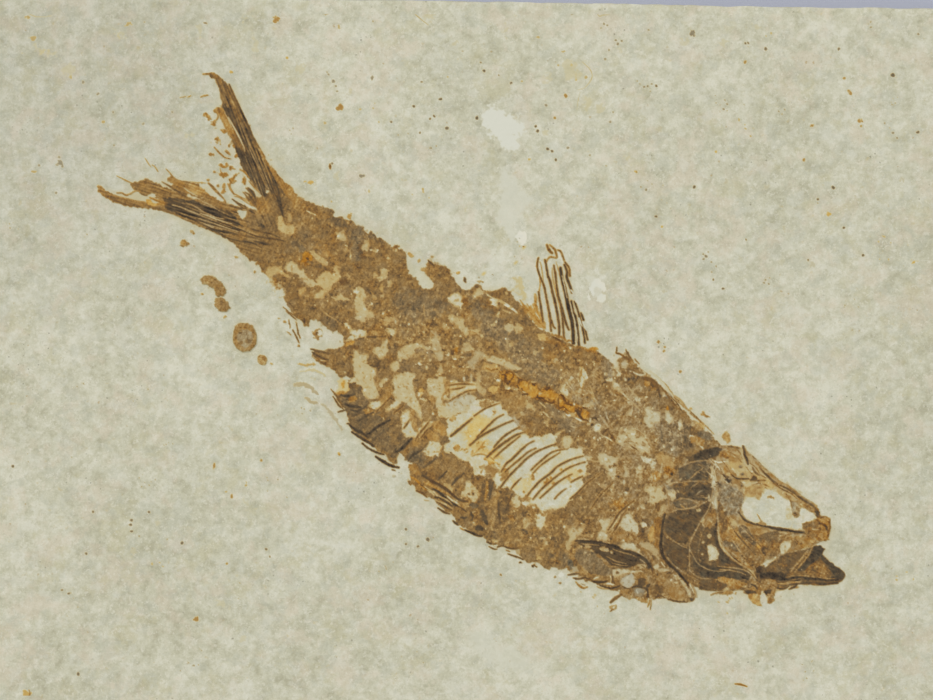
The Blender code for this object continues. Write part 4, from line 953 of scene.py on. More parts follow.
TAIL = """
P 0.56 0|246,196 262,196 283,182 290,196 286,224 292,238 286,250 268,262 256,261 245,254 236,246 236,232 246,222 244,206
P 0.6 0.0|207,73 213,72 219,76 223,79 227,84 231,90 234,97 238,105 242,113 246,121 250,131 256,143 262,155 266,160 271,168 277,177 283,182 290,192 290,205 283,222 279,215 275,200 268,190 258,184 250,177 244,168 240,158 236,150 232,142 228,132 224,120 222,108 221,96 218,86 214,79
H 0.8 -0.1 0.95|224,108 232,110 240,120 250,138 258,154 268,172 276,186 272,192 262,182 250,172 242,158 236,144 228,128
L 0.55 0.3 2.6|203,74 208,74 213,73.4 216,76 219,79 221,82
L 0.84 0 2.2|229,84 233,93 237,102 240,109 244,118 249,128 253,137 258,146 264,156
L 0.86 0 1.6|226,96 230,106 234,116 240,127 246,138 252,150 258,162 264,174 270,186 275,200
L 0.84 0 1.5|225,104 229,114 235,126 241,138 247,150 253,162 259,174 266,188
L 0.86 -0.1 1.8|262,158 268,168 274,178 278,190 281,204 284,220
L 0.82 0 1.4|256,148 262,160 268,172 273,184
P 0.5 0.35|214,110 220,108 224,112 228,120 234,128 238,136 242,144 245,150 240,148 234,140 229,134 224,127 221,120 219,115 215,113
P 0.66 0|231,134 238,136 243,146 245,152 240,149 235,142
P 0.8 -0.15|235,148 241,149 247,156 252,164 257,172 262,181 266,190 268,197 262,196 257,190 252,183 247,176 243,168 240,160 237,153
P 0.52 0.35|256,141 262,152 268,162 276,172 284,181 292,188 298,196 292,199 286,196 281,188 276,180 269,169 262,157
L 0.05 0 1.8|228,117 232,124 236,131 240,139 244,147 245,151
L 0.45 0.1 0.9|240,123 246,134 251,146 256,158 260,168
L 0.4 0.1 1|250,150 256,163 261,175 266,187
L 0.3 0.2 1.2|262,158 266,167 270,177 273,186
L 0.25 0.1 0.8|256,150 261,162 266,172
L 0.4 0.1 0.8|244,158 250,168 255,180
L 0.55 0.3 1.4|214,147 218,151 222,155 226,158 231,159
L 0.5 0.3 1.8|225,151 230,155
S 0.5 0.4|224,131,1.6,2.4 217.6,141,1.8,3 210.6,154.6,2.2,2 223,176,2.6,2 206,115,2.4,1.8 210,118,2,1.6 214,122.5,1.8,1.4
S 0.48 0.4|214,172,1.1 208,180,1.3 218,186,1.4 204,190,1.3 212,198,1.5 202,183,1.1
L 0.5 0.5 2.6|220,166 225,167 228,165
L 0.5 0.4 1.8|230,167 235,169
L 0.5 0.5 2.2|236,174 233,178 230,180 236,181
S 0.62 0.4|244.6,182,1.2,3
L 0.5 0.4 2.4|228,184 231,190 234,194
L 0.5 0.4 1.6|240,170 245,172 249,178
L 0.7 -0.2 3.6|248,188 252,192 256,199
L 0.7 0 2|245,192 250,196 255,203
L 0.55 0 1.6|251,180 255,185 259,191
P 0.08 0.1|252,184 258,190 262,196 259,198 254,191
L 0.5 0.4 1.2|187,97.6 191,95.6
L 0.5 0.45 1.8|201,97 205,95.6 208,95
L 0.5 0.4 2.2|204,114 208,117 211,119
S 0.5 0.4|213,123,2.6,2
L 0.42 0.3 1.2|145,158 148,163 151,167
L 0.46 0.4 1.4|152,165 155,167 158,171.6
S 0.45 0.9|232,72,1.6,1.2
P 0.54 0.1|98,185 103,188 110,193 120,197 130,200 141,201 150,199 158,196 152,193 140,192 134,190 130,184 140,180 147,178 153,182 160,185 170,189 178,180 188,181 198,184 206,193 214,198 226,203 238,206 250,208 256,214 250,226 244,240 236,245 228,239 215,233 200,226 182,218 166,212 150,209 130,207 118,204 106,198 98,192
P 0.04 0|103,188 110,191 118,196 128,199 140,199 148,200 140,198 131,196 120,193 110,188
P 0.8 -0.15|163,199 172,197 182,199 195,201 205,204 215,207 225,210 232,213 236,218 240,224 236,228 232,232 224,233 215,231 200,224 182,216 166,210
P 0.58 0.1|133,184 138,182.4 144,180 150,181 156,184 162,186 168,188 172,192 172,197 166,196 160,193.6 152,194 146,196 141,195 138,191 133,189 137,187
P 0.04 0|131,195 136,193.4 141,193.6 143,196 150,196.6 158,199 161,202 156,204 150,204.4 146,202 140,201 134,200.6
P 0.62 0.1|110,198 116,198 124,200 132,202 142,204 150,205 156,206 164,208 170,211 163,210.6 154,209 146,207 138,207 128,206 120,204.6 114,201.6
L 0.5 0.3 1.4|97,186 101,189 106,192 111,195
L 0.55 0.3 1.6|98,191 103,194 107,197 112,200
L 0.5 0.3 1.6|113,195 120,197 128,199 136,201 144,202 150,204
L 0.45 0.4 1.4|117,176 123,179 130,182.4 135,184
L 0.5 0.3 1.8|117,193 122,193 126,195 131,193.6 134,191.6 140,191
L 0.3 0.9 2|148,202 152,205 158,204.6
L 0.56 0.6 2.4|150,197.6 156,200 162,202 167,203
L 0.56 0.5 2.4|155,205 160,204 168,203.4
L 0.5 0.4 1.4|166,169 170,173 174,178 180,181
P 0.5 0.3|167,178 172,176.6 178,180 184,182 188,186 190,190 190,194 186,193 182,190 177,186 172,183 168,181.6
L 0.74 0 1.6|162,182 168,185 174,189 180,193 186,197
P 0.45 0.4|188,182 195,184 201,187 205,191 202,195 196,195 191,192
P 0.05 0|186,192 192,196 199,198 204,197 200,199 192,199 187,196
L 0.35 0.5 1.2|191,182 198,182.6 206,183
L 0.5 0.4 2|205,190 208,195 213,198 216,198
L 0.5 0.4 2.4|208,183 212,187 216,192
P 0.04 0|204,186 208,185 212,191 214,196 210,195 206,191
L 0.86 -0.1 1.5|168,199 176,200 186,203 196,206
L 0.86 -0.1 1.5|166,203 176,205 188,209 200,214
L 0.86 -0.1 1.5|166,207 178,210 190,214 204,220
L 0.84 -0.1 1.5|176,213 188,217 200,222 212,228
L 0.9 -0.1 2.2|200,205 208,208 216,211 226,215 236,220
L 0.9 -0.1 2.2|200,209.6 210,213 222,217.6 234,222
L 0.9 -0.1 2.2|200,215 212,219.4 224,223.6 236,228 246,231
L 0.9 -0.1 2.2|200,221 212,226 224,230 236,234
L 0.15 0 1.5|172,205 180,207 190,211 200,215 210,219 216,221
L 0.2 0 1.1|186,203 194,206 204,212 214,216
L 0.25 0 1.1|196,198 204,202 212,206 216,208
L 0.1 0 1.5|200,213 210,217 222,221 232,224
L 0.12 0 1.3|200,218.6 212,222.6 226,227.6 238,231.6
L 0.15 0 1.2|204,224 214,228 222,230
L 0.3 0 1.5|214,232 224,234 232,234
L 0.6 0 1.6|163,210 172,213 182,218 192,222 202,226 214,231
L 0.8 0 2|206,228 216,232 224,236 230,239
S 0.5 0.4|193.5,232,1.8,1.6
S 0.52 -0.1|184.5,244,3.2,3.4
L 0.8 0 1.5|232,199 238,203 244,206 250,208
L 0.82 0 1.5|231,206 238,208 246,209 252,212 258,215
L 0.84 0 2|232,211 238,213
L 0.6 0.2 2|209,183 214,188 219,194 224,199 226,203
L 0.5 0.5 1.8|235,194 242,198 248,201 254,206
P -0.05 0|240,197 248,202 256,208 259,212 255,210 247,206 240,201
P 0.58 -0.1|244,220 250,215 258,213 268,214 276,216 277,224 274,230 266,233 256,232 248,228
P -0.02 0|237,211 242,209 248,210 247,215 242,219 239,216
S 0.8 -0.1|261.4,225.6,1.8,1.4
S 0.7 0|264,217,2,1.4
H 0.5 0.5|256,200 264,199 268,206 266,212 258,212
L 0.84 0 2|277,200 280,207 283,216
L 0.8 0 1.2|270,180 274,187 277,195 279,203
P 0.12 0.2|277,217 282,215 284,222 288,226 293,224 296,229 290,236 283,233 278,229
L 0.8 0 1.8|255,236 266,237.6 276,239 284,241
L 0.8 0 1.6|255,242 264,244 272,245
L 0.8 0 1.4|250,228.6 262,232 272,234 280,238
L 0.78 0 1.6|228,238 240,241 252,243 262,248
L 0.2 0 1.6|250,232 255,234 258,235
L 0.8 0.1 1.5|232,90 240,108 248,125 252,138
L 0.62 0.2 0.9|224,88 229,100 234,112 238,122
L 0.4 0.3 0.8|226,86 231,98 236,110 240,120
L 0.62 0.1 0.9|229,86 234,98 239,110 243,120
L 0.42 -0.35 0.95|237,118 240,128 244,138 249,148 254,158 259,168 263,178 267,188
L 0.42 -0.35 0.95|240,122 245,134 250,146 256,158 261,170 266,182 270,192
L 0.4 -0.35 0.9|248,150 252,160 255,170 258,180 261,190 264,198
L 0.44 -0.3 0.9|245,156 249,166 253,176 257,186 260,194
L 0.42 -0.35 0.9|258,158 262,166 266,176 270,186 272,190
L 0.4 -0.3 0.8|254,150 258,160 262,170
L 0.92 -0.1 1.0|245,128 250,140 255,152 260,164 264,174 268,184 272,194
L 0.92 -0.1 1.0|243,132 247,144 251,156 256,168 260,178
L 0.9 0 1.0|240,150 245,160 250,170 254,178
L 0.86 0 1.1|268,176 271,184 275,194 279,202 282,212 284,220
L 0.8 0 1.0|275,188 278,196 280,204
L 0.46 0.6 1.1|222,108 226,116 231,126 236,136 241,146
L 0.5 0.5 1.1|220,112 224,122 230,132 235,140
L 0.04 0.1 0.9|224,111 229,121 233,130
L 0.58 0.4 1.2|232,134 237,142 242,150
L 0.5 0.6 1.8|214,111 217,108 221,109 224,112
L 0.5 0.5 1.6|217,112 218,117 215,121 211,122
S 0.48 0.5|207,116,3,1.8,35 224,131,1.8,2.6,35 229,146,1.2,1.6 234,146,1.3,2 236,156,1.4,1.6
L 0.5 0.4 1.3|214,147 219,153 224,157 231,159
L 0.48 0.5 1.3|226,150 230,154
S 0.5 0.5|222,165,3.2,1.3,-5 226.5,164,2,1.5 224,175,3,1.9 232,168,2.4,1,25 236,175,2.2,1.7 244,180.5,1.3,3,10 224,186,1.3,2.4 223,192,2.6,1.8
L 0.48 0.6 1.2|220,168 222,174 226,176
L 0.56 0.4 1.4|229,179 232,183 235,182
L 0.54 0.5 1.8|234,176 233,180 230,184 231,190
L 0.5 0.5 1.5|240,169 245,173 250,178
L 0.5 0.5 1.4|249,181 254,187 259,192
L 0.62 0.1 1.7|246,188 251,194 256,202
L 0.62 0.1 1.5|243,192 248,198 253,203
L 0.7 0 1.6|232,199 237,203 243,208
L 0.68 0 1.4|230,206 236,208 243,210 248,210
L 0.7 -0.1 1.1|248,209 254,211 259,214
L 0.5 0.5 1.1|234,196 240,198 246,202 252,206
L 0.44 0.2 0.9|150,184 160,188 170,192 180,196
L 0.64 0.1 0.9|148,187 158,191 168,195 176,198
L 0.06 0 1|161,182.5 168,187 176,192
L 0.06 0 1.3|184,188 190,192 197,196
L 0.62 0.2 0.9|152,190 162,195
L 0.64 0 1|166,184 174,190 182,195 190,198
P 0.34 1 0.3|146,200 150,199 153,203 158,204 154,206 148,205
L 0.36 -0.2 0.95|172,204 184,208 196,213 208,218 220,223 232,228
L 0.38 -0.2 0.9|186,206 196,210 206,213
L 0.12 -0.1 1|204,214 214,217 224,219
L 0.12 -0.1 1|196,221 206,224 216,227 226,230
L 0.36 -0.2 0.9|190,216 200,219 210,222
L 0.36 -0.2 0.9|210,206 218,210 226,214 232,217
L 0.4 -0.3 0.9|182,203 192,205 200,208
L 0.34 0 1|222,222 232,225 242,229 250,233
L 0.34 0 1|214,226 224,229 234,232 244,236
L 0.4 -0.2 0.9|176,211 186,215 196,219
L 0.4 -0.3 0.9|200,203 208,206 214,208
L 0.38 -0.2 0.9|224,217 232,219 238,221
L 0.9 0 1.1|170,210 182,215 194,220 206,226 218,232 228,238
L 0.92 -0.1 1|180,210 192,214 204,219 216,223 228,227 240,231
L 0.88 0 1|240,229 250,234 262,238 276,240
L 0.86 0 1|212,228 224,231 236,234 250,238
L 0.9 -0.1 1|228,219 236,223 244,227
L 0.84 0 1.2|254,241 262,242 270,244
L 0.9 -0.1 1|190,201.5 200,204.5 210,207.5 218,210.5
"""


def paint_tail():
    draw(TAIL, 0.6)


paint_tail()


DORSAL = """
P -0.08 0.1|519,268 524,264 530,262 535,265 538,272 539,282 538,292 535,300 531,305 527,300 524,293 521,286 518,276
H 0.16 0.6|514,278 520,276 524,284 528,294 526,300 520,296 515,288
P 0.3 0.7|522,303 528,306 534,302 538,306 540,314 545,322 547,330 540,328 533,321 527,314 522,308
L 0.42 0.8 1.4|536,266 539,274 540,284 539,294 540,304 542,314
L 0.5 0.7 1.2|534,296 536,306 539,316 543,324
L 0.45 0.8 1.2|527,304 532,311 538,318
L 0.55 0.6 1.4|530,312 537,320 545,328
L 0.5 0.6 1.4|520,300 526,308 533,316
L -0.05 0 1.2|531,304 535,312 540,319
S 0.5 0.7|524,247,1.8,1.4
S 0.45 0.7|521,257,1.2 516,262,1
L 0.4 0.6 1.2|540,262 542,270 543,280
L 0.42 0.7 1.2|552,268 553,280 556,292 559,304 562,316
L 0.4 0.7 1.1|543,284 546,296 548,310 549,322
L 0.42 0.6 1.1|556,262 559,272 562,284 565,296 568,308 571,320
"""


def paint_dorsal():
    draw(DORSAL, 0.8)
    rays = [
        ("538.5,292 540,302 541.5,312 543,322", 2.0, 0.74, 0.2), ("535,294 536,300 534,310 535,320", 2.2, 0.4, 0.7),
        ("538.5,257.7 537,265 538.5,272 541,279 544,286 546,296 548,306 550,317 551,331", 1.9, 0.76, 0.25), ("549,315 553,325 555,328", 1.6, 0.7, 0.2),
        ("545,260 546.7,268 547.7,275 550.3,282 552.3,291.5 555,302 557,312 559,325 559,335.6", 2.3, 0.8, 0.15),
        ("553.8,265.4 555.4,274 556,281 557.4,291.5 560,302 563,312 565.6,322 568.7,329.5", 2.0, 0.78, 0.15), ("561,308 562.6,320 564,337.7", 1.8, 0.76, 0.1),
        ("560.5,268 562,279 565,289.5 567,300 569,310 572,322 573,332.6 573.3,343", 3.6, 0.9, -0.15),
        ("564.6,265 567,272 566.7,277 569.7,285.4 572.3,292.6", 2.6, 0.84, 0.0), ("571.3,301 572.8,311 575.4,317 577.4,328.5 578.5,341 579,346", 2.4, 0.88, -0.15),
        ("574.4,301 577.4,309 580,319 582.6,328.5 585,343", 2.0, 0.86, -0.1), ("581,313 583.6,320", 2.0, 0.86, -0.1), ("585,328.5 587.7,339.7", 1.8, 0.82, 0.0),
        ("547,245 549,250 552,253", 2.6, 0.62, 0.5), ("550,245 555,250 557,257", 1.8, 0.62, 0.4), ("558,250 561,252 564,260", 1.8, 0.66, 0.2),
        ("546,262 550,257 556,258", 1.5, 0.55, 0.4), ("565,262 569,268 570,276", 1.8, 0.7, 0.3),
    ]
    for p, w, tone, warm in rays:
        ink(stroke(p, w + 1.2, w + 1.4, w + 1.2, 0.5), 0.3, 0.6, much=0.4)
    for p, w, tone, warm in rays:
        ink(stroke(p, w * 0.75, w, w * 0.9, 0.4), tone, warm, 1.7)
    for p, w in [("562,276 565,288 567,298", 0.9), ("570,303 573,314 575,322", 0.9), ("576,296 579,304", 1.8), ("573,295 576,302", 2.0),
                 ("579,318 582,326", 1.4), ("571,290 574,294", 1.6), ("583,322 586,330", 1.4), ("575,322 577,334 578,342", 0.8)]:
        ink(stroke(p, w, w, w * 0.7, 0.4), -0.12, -0.3, 1.4)
    for p in ["546,339 556,342 566,345", "552,334 562,338 572,342", "575,346 586,349 596,353"]:
        ink(stroke(p, 2, 3, 1.5, 1.6), 0.6, 0.5, 1.4, 0.8)


paint_dorsal()


def paint_back_edge():
    # loose lines along the back, behind the dorsal fin
    for p, w, tone, warm in [
        ("617,347 616.4,351 616,353", 1.4, 0.78, 0.0), ("616,353 620,354 625,357 630,360", 2.2, 0.72, 0.4), ("626,350 628,354 632,360", 2.0, 0.7, 0.1),
        ("635,359 639,364", 1.2, 0.6, 0.1), ("632,372 635,376 640,378", 1.6, 0.72, 0.2), ("644,379 650,380 656,385 659,392", 3.2, 0.74, 0.3),
        ("656,375 661,380 667,386 672,393 676,400 682,405 686,409", 1.2, 0.5, 0.3), ("690,413 696,418 702,423 708,428 714,434", 1.2, 0.5, 0.3),
        ("660,386 666,393 672,401 678,408", 2.4, 0.66, 0.2),
    ]:
        ink(stroke(p, w * 0.7, w, w * 0.6, 0.6), tone, warm, 1.3)
    ink(stroke("650,371 658,378 666,387 673,396", 2.2, 2.6, 1.8, 0.6), 0.05, 0.1, 0.4)
    ink(spot(703, 414, 2.2, 1.6), 0.4, 0.5)


paint_back_edge()


FIN = """
P 0.82 -0.1|576,539.6 584,540.4 592,541.4 600,541.6 606,542.6 612,545 618,547.4 624,550 630,551.6 637,553.4 643,557.6 649,563 652,568 649,568 644,562.6 638,564.4 632,566.6 626,567.4 618,567 612,565.4 606,560 600,555.6 592,550 584,547 578,543
L 0.92 -0.1 1.4|576,540 586,541 596,542 606,543.6 616,547 626,551 636,554 644,559 651,567
L 0.92 -0.1 1.2|590,545 600,547 610,551 620,556 630,560 640,561
P 0.15 0|600,548 604,546.6 608,548 609,550.6 604,551.4 600,550.6
P 0.2 -0.1|585,545 589,544.6 591,547 588,548.4 585,547.4
P 0.15 0|610,551 613,551.6 613,554 610.4,554
L 0.22 0 0.8|581,543.4 590,544.4 599,545.4
L 0.2 0 0.8|613,549 621,552 629,554 636,556.6
L 0.25 0 0.8|606,556 616,561 626,563.4
L 0.25 0 0.8|612,563 620,565 628,565.4
L 0.15 -0.2 1|640,559 645,563 647,567
P 0.58 -0.4|577,548 586,549 594,553 601,559 606,565 612,569 612,574 604,576 594,574 586,570 579,564 575,556
P 0.18 0|566,541 570,542 571,548 569,553 566,550
"""


def paint_pectoral():
    draw(THROAT, 0.5, 0.5)
    draw(FIN, 0.6)


HEAD = """
P 0.88 -0.3|700,451 706,449.5 712,448.5 718,447.5 724,446.8 720,449.5 716,452 711,455 706,458 700,459.5
P 0.55 0.6|720,452 724,450 730,449.5 733,453 731,457 726,458.5 721,457
L 0.5 0.6 1.4|731,446 737,447.6 741,448.4
H 0.22 0.1|722,448 738,450 752,458 764,470 780,482 800,494 812,504 806,506 790,494 770,482 752,468 738,456
L 0.82 -0.2 2.4|743,446 744,450 744.5,454 747,459 748,464
L 0.35 0.6 1.4|725,462 732,459 738,457 741,453
L -0.08 0 2|712,460 717,462 722,462 728,461
L -0.05 -0.3 2|711,466 712,472 711,478
P 0.55 0.1|713,470 717,470 718,474 716,477 713,475
P 0.4 0.6|723,466 727,464 731,468 732,474 728,476 724,473
H 0.22 0.5|732,464 740,462 745,468 744,475 735,476
S 0.56 -0.5|740.5,466.5,1.6 742,474,1.6,1.2
L 0.84 0 1.4|732,475 735,477.6 740,478.6 748,478.4
L 0.6 0.2 1.2|750,480.6 758,480.6 766,480.4
P 0.88 -0.3|724,479 728,478 731,480 729,483 725,481
L 0.85 -0.1 1.2|722,474 726,478
L 0.85 -0.1 1.2|729,480 733,485
L 0.84 -0.3 2|715,482 718,483.6 721,485
P -0.12 -0.5|711,480 715,480 716,487 712,488
L 0.75 0 1.2|740,482 742,483.5 741,487
H 0.5 -0.5 0.9|716,486 726,484 738,490 744,498 744,508 736,514 724,514 716,504
P 0.64 0.1|718,500 722,505 726,512 728,520 726,526 722,527 719,520 717,510
P 0.08 -0.3|710,495 717,496 718,506 714,510 710,506
P 0.5 0.3|714,508 716,514 715,524 710,528 704,526 702,520 708,514
P 0.045 0.05|742,504 744,500 750,497.6 754,497.4 758,500 761,500.4 763,494 765,490 769,488.6 774,490 777,494 780,498 784,500 788,500 790,503 791,508 792,514 791,518 790,522 786,526 780,528.6 772,527.6 764,525 758,522.6 752,521.6 746,520 743,514 741,508
P 0.27 0.6|745,488 750,486 756,486 762,484 763,488 762,494 760,500 758,499 755,495 750,494 746,494
H 0.25 0.4|786,508 792,509 792,517 787,518
P 0.04 0|801,508 806,509 812,512 816,515 818,518 812,520.6 806,522 802,524.4 801,529 797,530 792,528 792,522 794,518 796,514
P 0.45 -0.1|790,500 794,501 798,503 800,508 800,515 797,517 794,518 792,512 791,506
S 0.8 0|795,513.6,1.4
L 0.66 0.3 1.6|773,483 780,488 786,491 792,494 797,499
L 0.35 0.5 2|749.6,454 755,460 760,466 766,470 772,476 780,482 788,486 796,492 804,498 812,503 817,506
L 0.84 0 1.8|759,467 763,471 768,476 772,480 778,484 784,487 790,490.6 795,494 799,498
L 0.74 0 1.5|752,467 754,471 759,475
P 0.5 0.4|798,498 804,499 810,502 815,506 816,509 814,513 808,510 803,506 799,502
S 0.22 0.6|812,505,2,2
L 0.7 0 1.4|800,498 806,502 812,506
L 0.8 -0.4 2.4|815,511 818,514.4
P 0.62 -0.3|738,526 744,524 748,528 751,534 755,539 758,544 752,545 746,541 741,536 738,531
L 0.78 -0.1 1.2|734,531 740,538 746,544
L 0.75 -0.1 1|742,534 748,540 754,545
P 0.45 0.6|725,531 729,529.6 733,534 736,539 731,538 727,536
P 0.64 -0.5|722,541 728,541 734,543 740,548 741,552 735,550 728,547 723,545
S -0.1 0|731.5,545.6,1,1.2
P 0.2 0.3|730,516 735,520 738,524 736,528 731,524
P 0.62 -0.2|757,538 763,534 770,531.6 778,531 784,532 782,537 776,540 768,541 760,541
P 0.3 0.6|753,530 759,529 766,531 762,533.6 757,536 754,534
P 0.2 0.2|780,530 786,531 790,534 786,537 781,539 777,542
L 0.6 0.1 3|765,547 772,543 780,538.6 786,535.6 792,533.6 798,533
P 0.6 0.05|802,523.6 808,523 814,522 819,521.4 822,524 818,527 810,527.4 803,527.4
L 0.0 0 1.4|812,529 818,529.6
P 0.5 0.8|820,520 824,518 828,520 829,526 827,530 827,537 823,539 818,537 816,533 820,530
L 0.82 0.4 2.6|819,523 823,524 826,527 827,530
L 0.6 0.3 1.2|820,517.5 824,516.4 829,519 830,526
L 0.4 0.7 2|818,536 824,538 829,539.6
P 0.56 0.3|803,533 808,531 814,532 817,534 815,538 808,539 803,537
L 0.84 -0.2 2.2|739,512 742,517 746,520.6 752,523 757,525
L 0.86 -0.3 2|756.6,523.6 762,525 770,527.6 778,529.4 788,530.6 796,532 804,533
L 0.12 0.3 1.8|719,527 718.6,535 720,543 724,550 730,556 736,561
L 0.84 0 1.4|728,552 734,558 741,563
P 0.84 -0.4|717,520 716,530 717,542 720,550 726,556 734,563 730,565 722,563 718,557 720,552 716,545 714,535 715,525
P 0.58 0.2|741,548 748,546 756,546 760,550 762,556 762,563 757,567 750,566 744,562 741,556
P 0.42 0.85|757,543 761,543.6 762,547 759,549 756.6,546
S 0.3 -0.5|741.5,554.5,2.5,1.5
P 0.78 0|760,550 764,546 768,548 767,554 764,556
P 0.58 0|765,549 772,549 777,552 776,557 770,558 766,556
P 0.55 0.1|790,543 794,539 800,538 800,541 796,545 793,549 791,548
P 0.45 0.85|799,546 803,543.6 808,544.6 813,545.6 809,547.4 803,548.6
P 0.06 0|780,547 784,543 789,541 790,545 788,549 784,552 780,553
P -0.02 0|764,563 766,560 772,558.6 776,557 774,560 770,562.6 768,566 765,567
P 0.84 0|755,568 760,566 765,568 763,573 758,573
P 0.7 -0.1|764,572 768,568 774,563 780,558 786,554.6 794,552 800,551 806,549 811,547 808,552 802,558 796,564 790,570 784,574 776,576 768,576
S 0.6 0.3|785.5,565,2.5,2
L 0.26 0.4 1.3|790,572 797,564 803,556 808,550
L 0.3 0.4 1|795,572 802,563 808,556
P 0.9 -0.2|762,574 768,571.6 776,572 782,573 788,576 784,578 776,578.6 768,579 762,578
P 0.62 0.3|806,571 812,565 818,560 822,562 826,567 831,573 833,577 824,577 814,576 804,575
L 0.48 0.4 2|816,566 822,568 826,571
P 0.84 -0.4|814,546.6 820,545.4 824.6,549 822,554 816,560 808,566 802,571 797,571 802,565 808,558 812,551
P 0.84 -0.3|821,555 828,560 834,565 840,570 844.6,574 845,577 842,580 836,579 832,573 827,566 822,560
L 0.9 -0.2 3|777,579.6 786,579.4 796,577.4 806,577.6 818,579 830,580.4 838,579.6
L 0.42 0.3 1.2|786,577.4 796,575.6 806,576 820,577.6 834,578.6
L 0.84 0 2.4|816,583 822,584 830,583.6 838,582.4
L 0.35 0.7 2|774,583 784,583.6 792,582 800,582
L 0.88 0 1.8|778,588 784,588.6 789,586
L 0.84 0 2.2|789,589 794,587 797,584.6
P 0.5 0.3|763,586 766,580 772,579 778,583 776,588 772,592 774,596 774,601 770,604 767,603 768,598 766,592 763,590
P 0.9 -0.2|764,591 768,589.6 772,590 770,594 765,594
P -0.02 0|760,595 764,595 768,597 767,603 762,604 760,600
P 0.38 0.7|748,594 754,593 759,597 760,603 762,606 757,606 752,602 748,598
P 0.9 0|745,590.6 750,590 754,592 752,594 747,593
L 0.84 0 2.2|751,584 755,586 757,589
P 0.74 -0.1|700,580 712,579 722,581 728,584 726,588 716,591 708,591 700,589
P 0.42 0.8|715,579 722,576.6 730,577 736,580 744,582 748,585 742,587 734,585 726,583 720,582
L 0.7 0.1 1.6|711,595 716,593 722,592.4 730,592 734,590
S 0.42 0.4|726,593,6,2
P 0.84 -0.4|700,562 708,566 716,570 728,570 740,572 750,576 748,580 738,579 724,577 712,576 700,573
L 0.3 0.1 1.2|717,566 726,567 736,568 744,570 750,573
L 0.26 0.2 1.1|719,569.4 730,570 742,573
L 0.2 0.4 2|748,569 753,573 756,578
P 0.05 0|707,545 712,544 716,548 719,554 717,559 713,560 709,560 708,553
L 0.05 -0.2 1.2|709,459 714,464 720,467
L 0.0 -0.2 1.2|713,468 715,474 716,481
L 0.1 -0.1 1|718,461 715,470 713,478
L 0.05 0 1|706,471 712,476 717,482
L 0.1 0 1|708,466 713,470
L 0.2 0 0.9|698,464 704,468 709,474
L 0.25 0 0.9|694,470 700,473 707,477
L 0.6 -0.6 1|684,472 692,470 700,468
S 0.0 -0.2|725,487,1.2,0.8 736,491,1,0.8 724,510,1.2,1 740,514,1.6,1 733,500,1,0.7 728,497,0.9,0.6
S 0.25 0.5|731,520,2,1.4
L 0.3 0.2 1.4|728,532 733,541 739,550 746,558
L 0.72 -0.1 1.2|733,529 739,537 747,546 756,555
L 0.28 0.3 1|741,527 748,534 754,540
L 0.7 0 1|748,533 756,541 762,548
L 0.72 0.1 1|768,536 776,534 784,534
L 0.3 0.2 1|786,541 794,536 804,535
L 0.66 0.2 0.9|730,452 736,456 741,462
L 0.6 0.3 0.9|735,447.6 740,453 742,459
L 0.62 0.3 1|752,485 760,483 770,487
L 0.6 0.3 0.9|757,488 764,487 771,490
L 0.64 0.2 1|786,494 790,500 792,508
L 0.6 0.3 1|750,463 756,468 760,474 766,478
L 0.58 0.3 0.8|746,467 751,473 757,477
L 0.62 0.2 0.9|722,461 728,468 731,476
L 0.6 0.1 0.9|716,462 720,468 723,475
L 0.34 0.5 1.5|757,514 760,519 763,525
P 0.32 0.6 0.4|757,524 762,520 766,524 762,527
S 0.3 0.5|772,497,3,1 789,497,2,1
"""


PLATES = """
B 0.62 -0.1|690,456,6,3 682,488,5,4 684,482,4,2
B 0.68 -0.7|684,474,5,3 690,470,5,3
B 0.84 -0.3|700,475,5,4 694,486,5,3 706,490,5,4
B 0.86 -0.1|708,504,3,5 696,484,4,3
B 0.52 -0.9|670,487,3,2.4
B 0.6 0.3|677,484,4,1.6 704,480,3,2
B 0.5 -0.5|706,467,4,4
L 0.4 0.1 1.3|703,468 697,472 692,477 688,480
L 0.44 -0.1 1|690,489 694,485 699,482
L 0.42 -0.5 1.6|696,495 699,492 703,490
L 0.46 -0.4 1|696,496 701,497 705,497
L 0.05 -0.3 1.8|711,487 714,485 717,483
L -0.02 -0.1 1.3|711,474 712,469 714,464
L 0.14 0 1.5|665,486 668,485 672,483 676,482
L 0.18 0.1 1.2|665,488 668,491 671,494
P 0.1 0.1 0.3|669,494 672,492 676,495 676,498 672,501 670,498
L 0.34 0.3 1.2|676,508 682,509 690,508 697,505
L 0.26 0.6 1.5|680.5,504.5 682.5,506.5 684.5,508
P 0.12 0.1 0.2|695,508 699,509 700,511 697,512
P 0.14 0.3 0.3|700,521 703,518 705,519 703,522 701,524
L 0.24 -0.1 2.6|717,489 715,495 713,501 714,507
S 0.05 -0.2|706,497.5,1 708.5,496.5,0.7,2 708.5,500.5,0.6,1.2 695.5,530,1 678,491.5,1.1
S 0.9 0|687.5,498,1 672,474,1.2
L 0.5 -0.4 0.8|684,504 690,503 695,504
L 0.56 0 0.8|682,499 690,498.5 696,503
"""


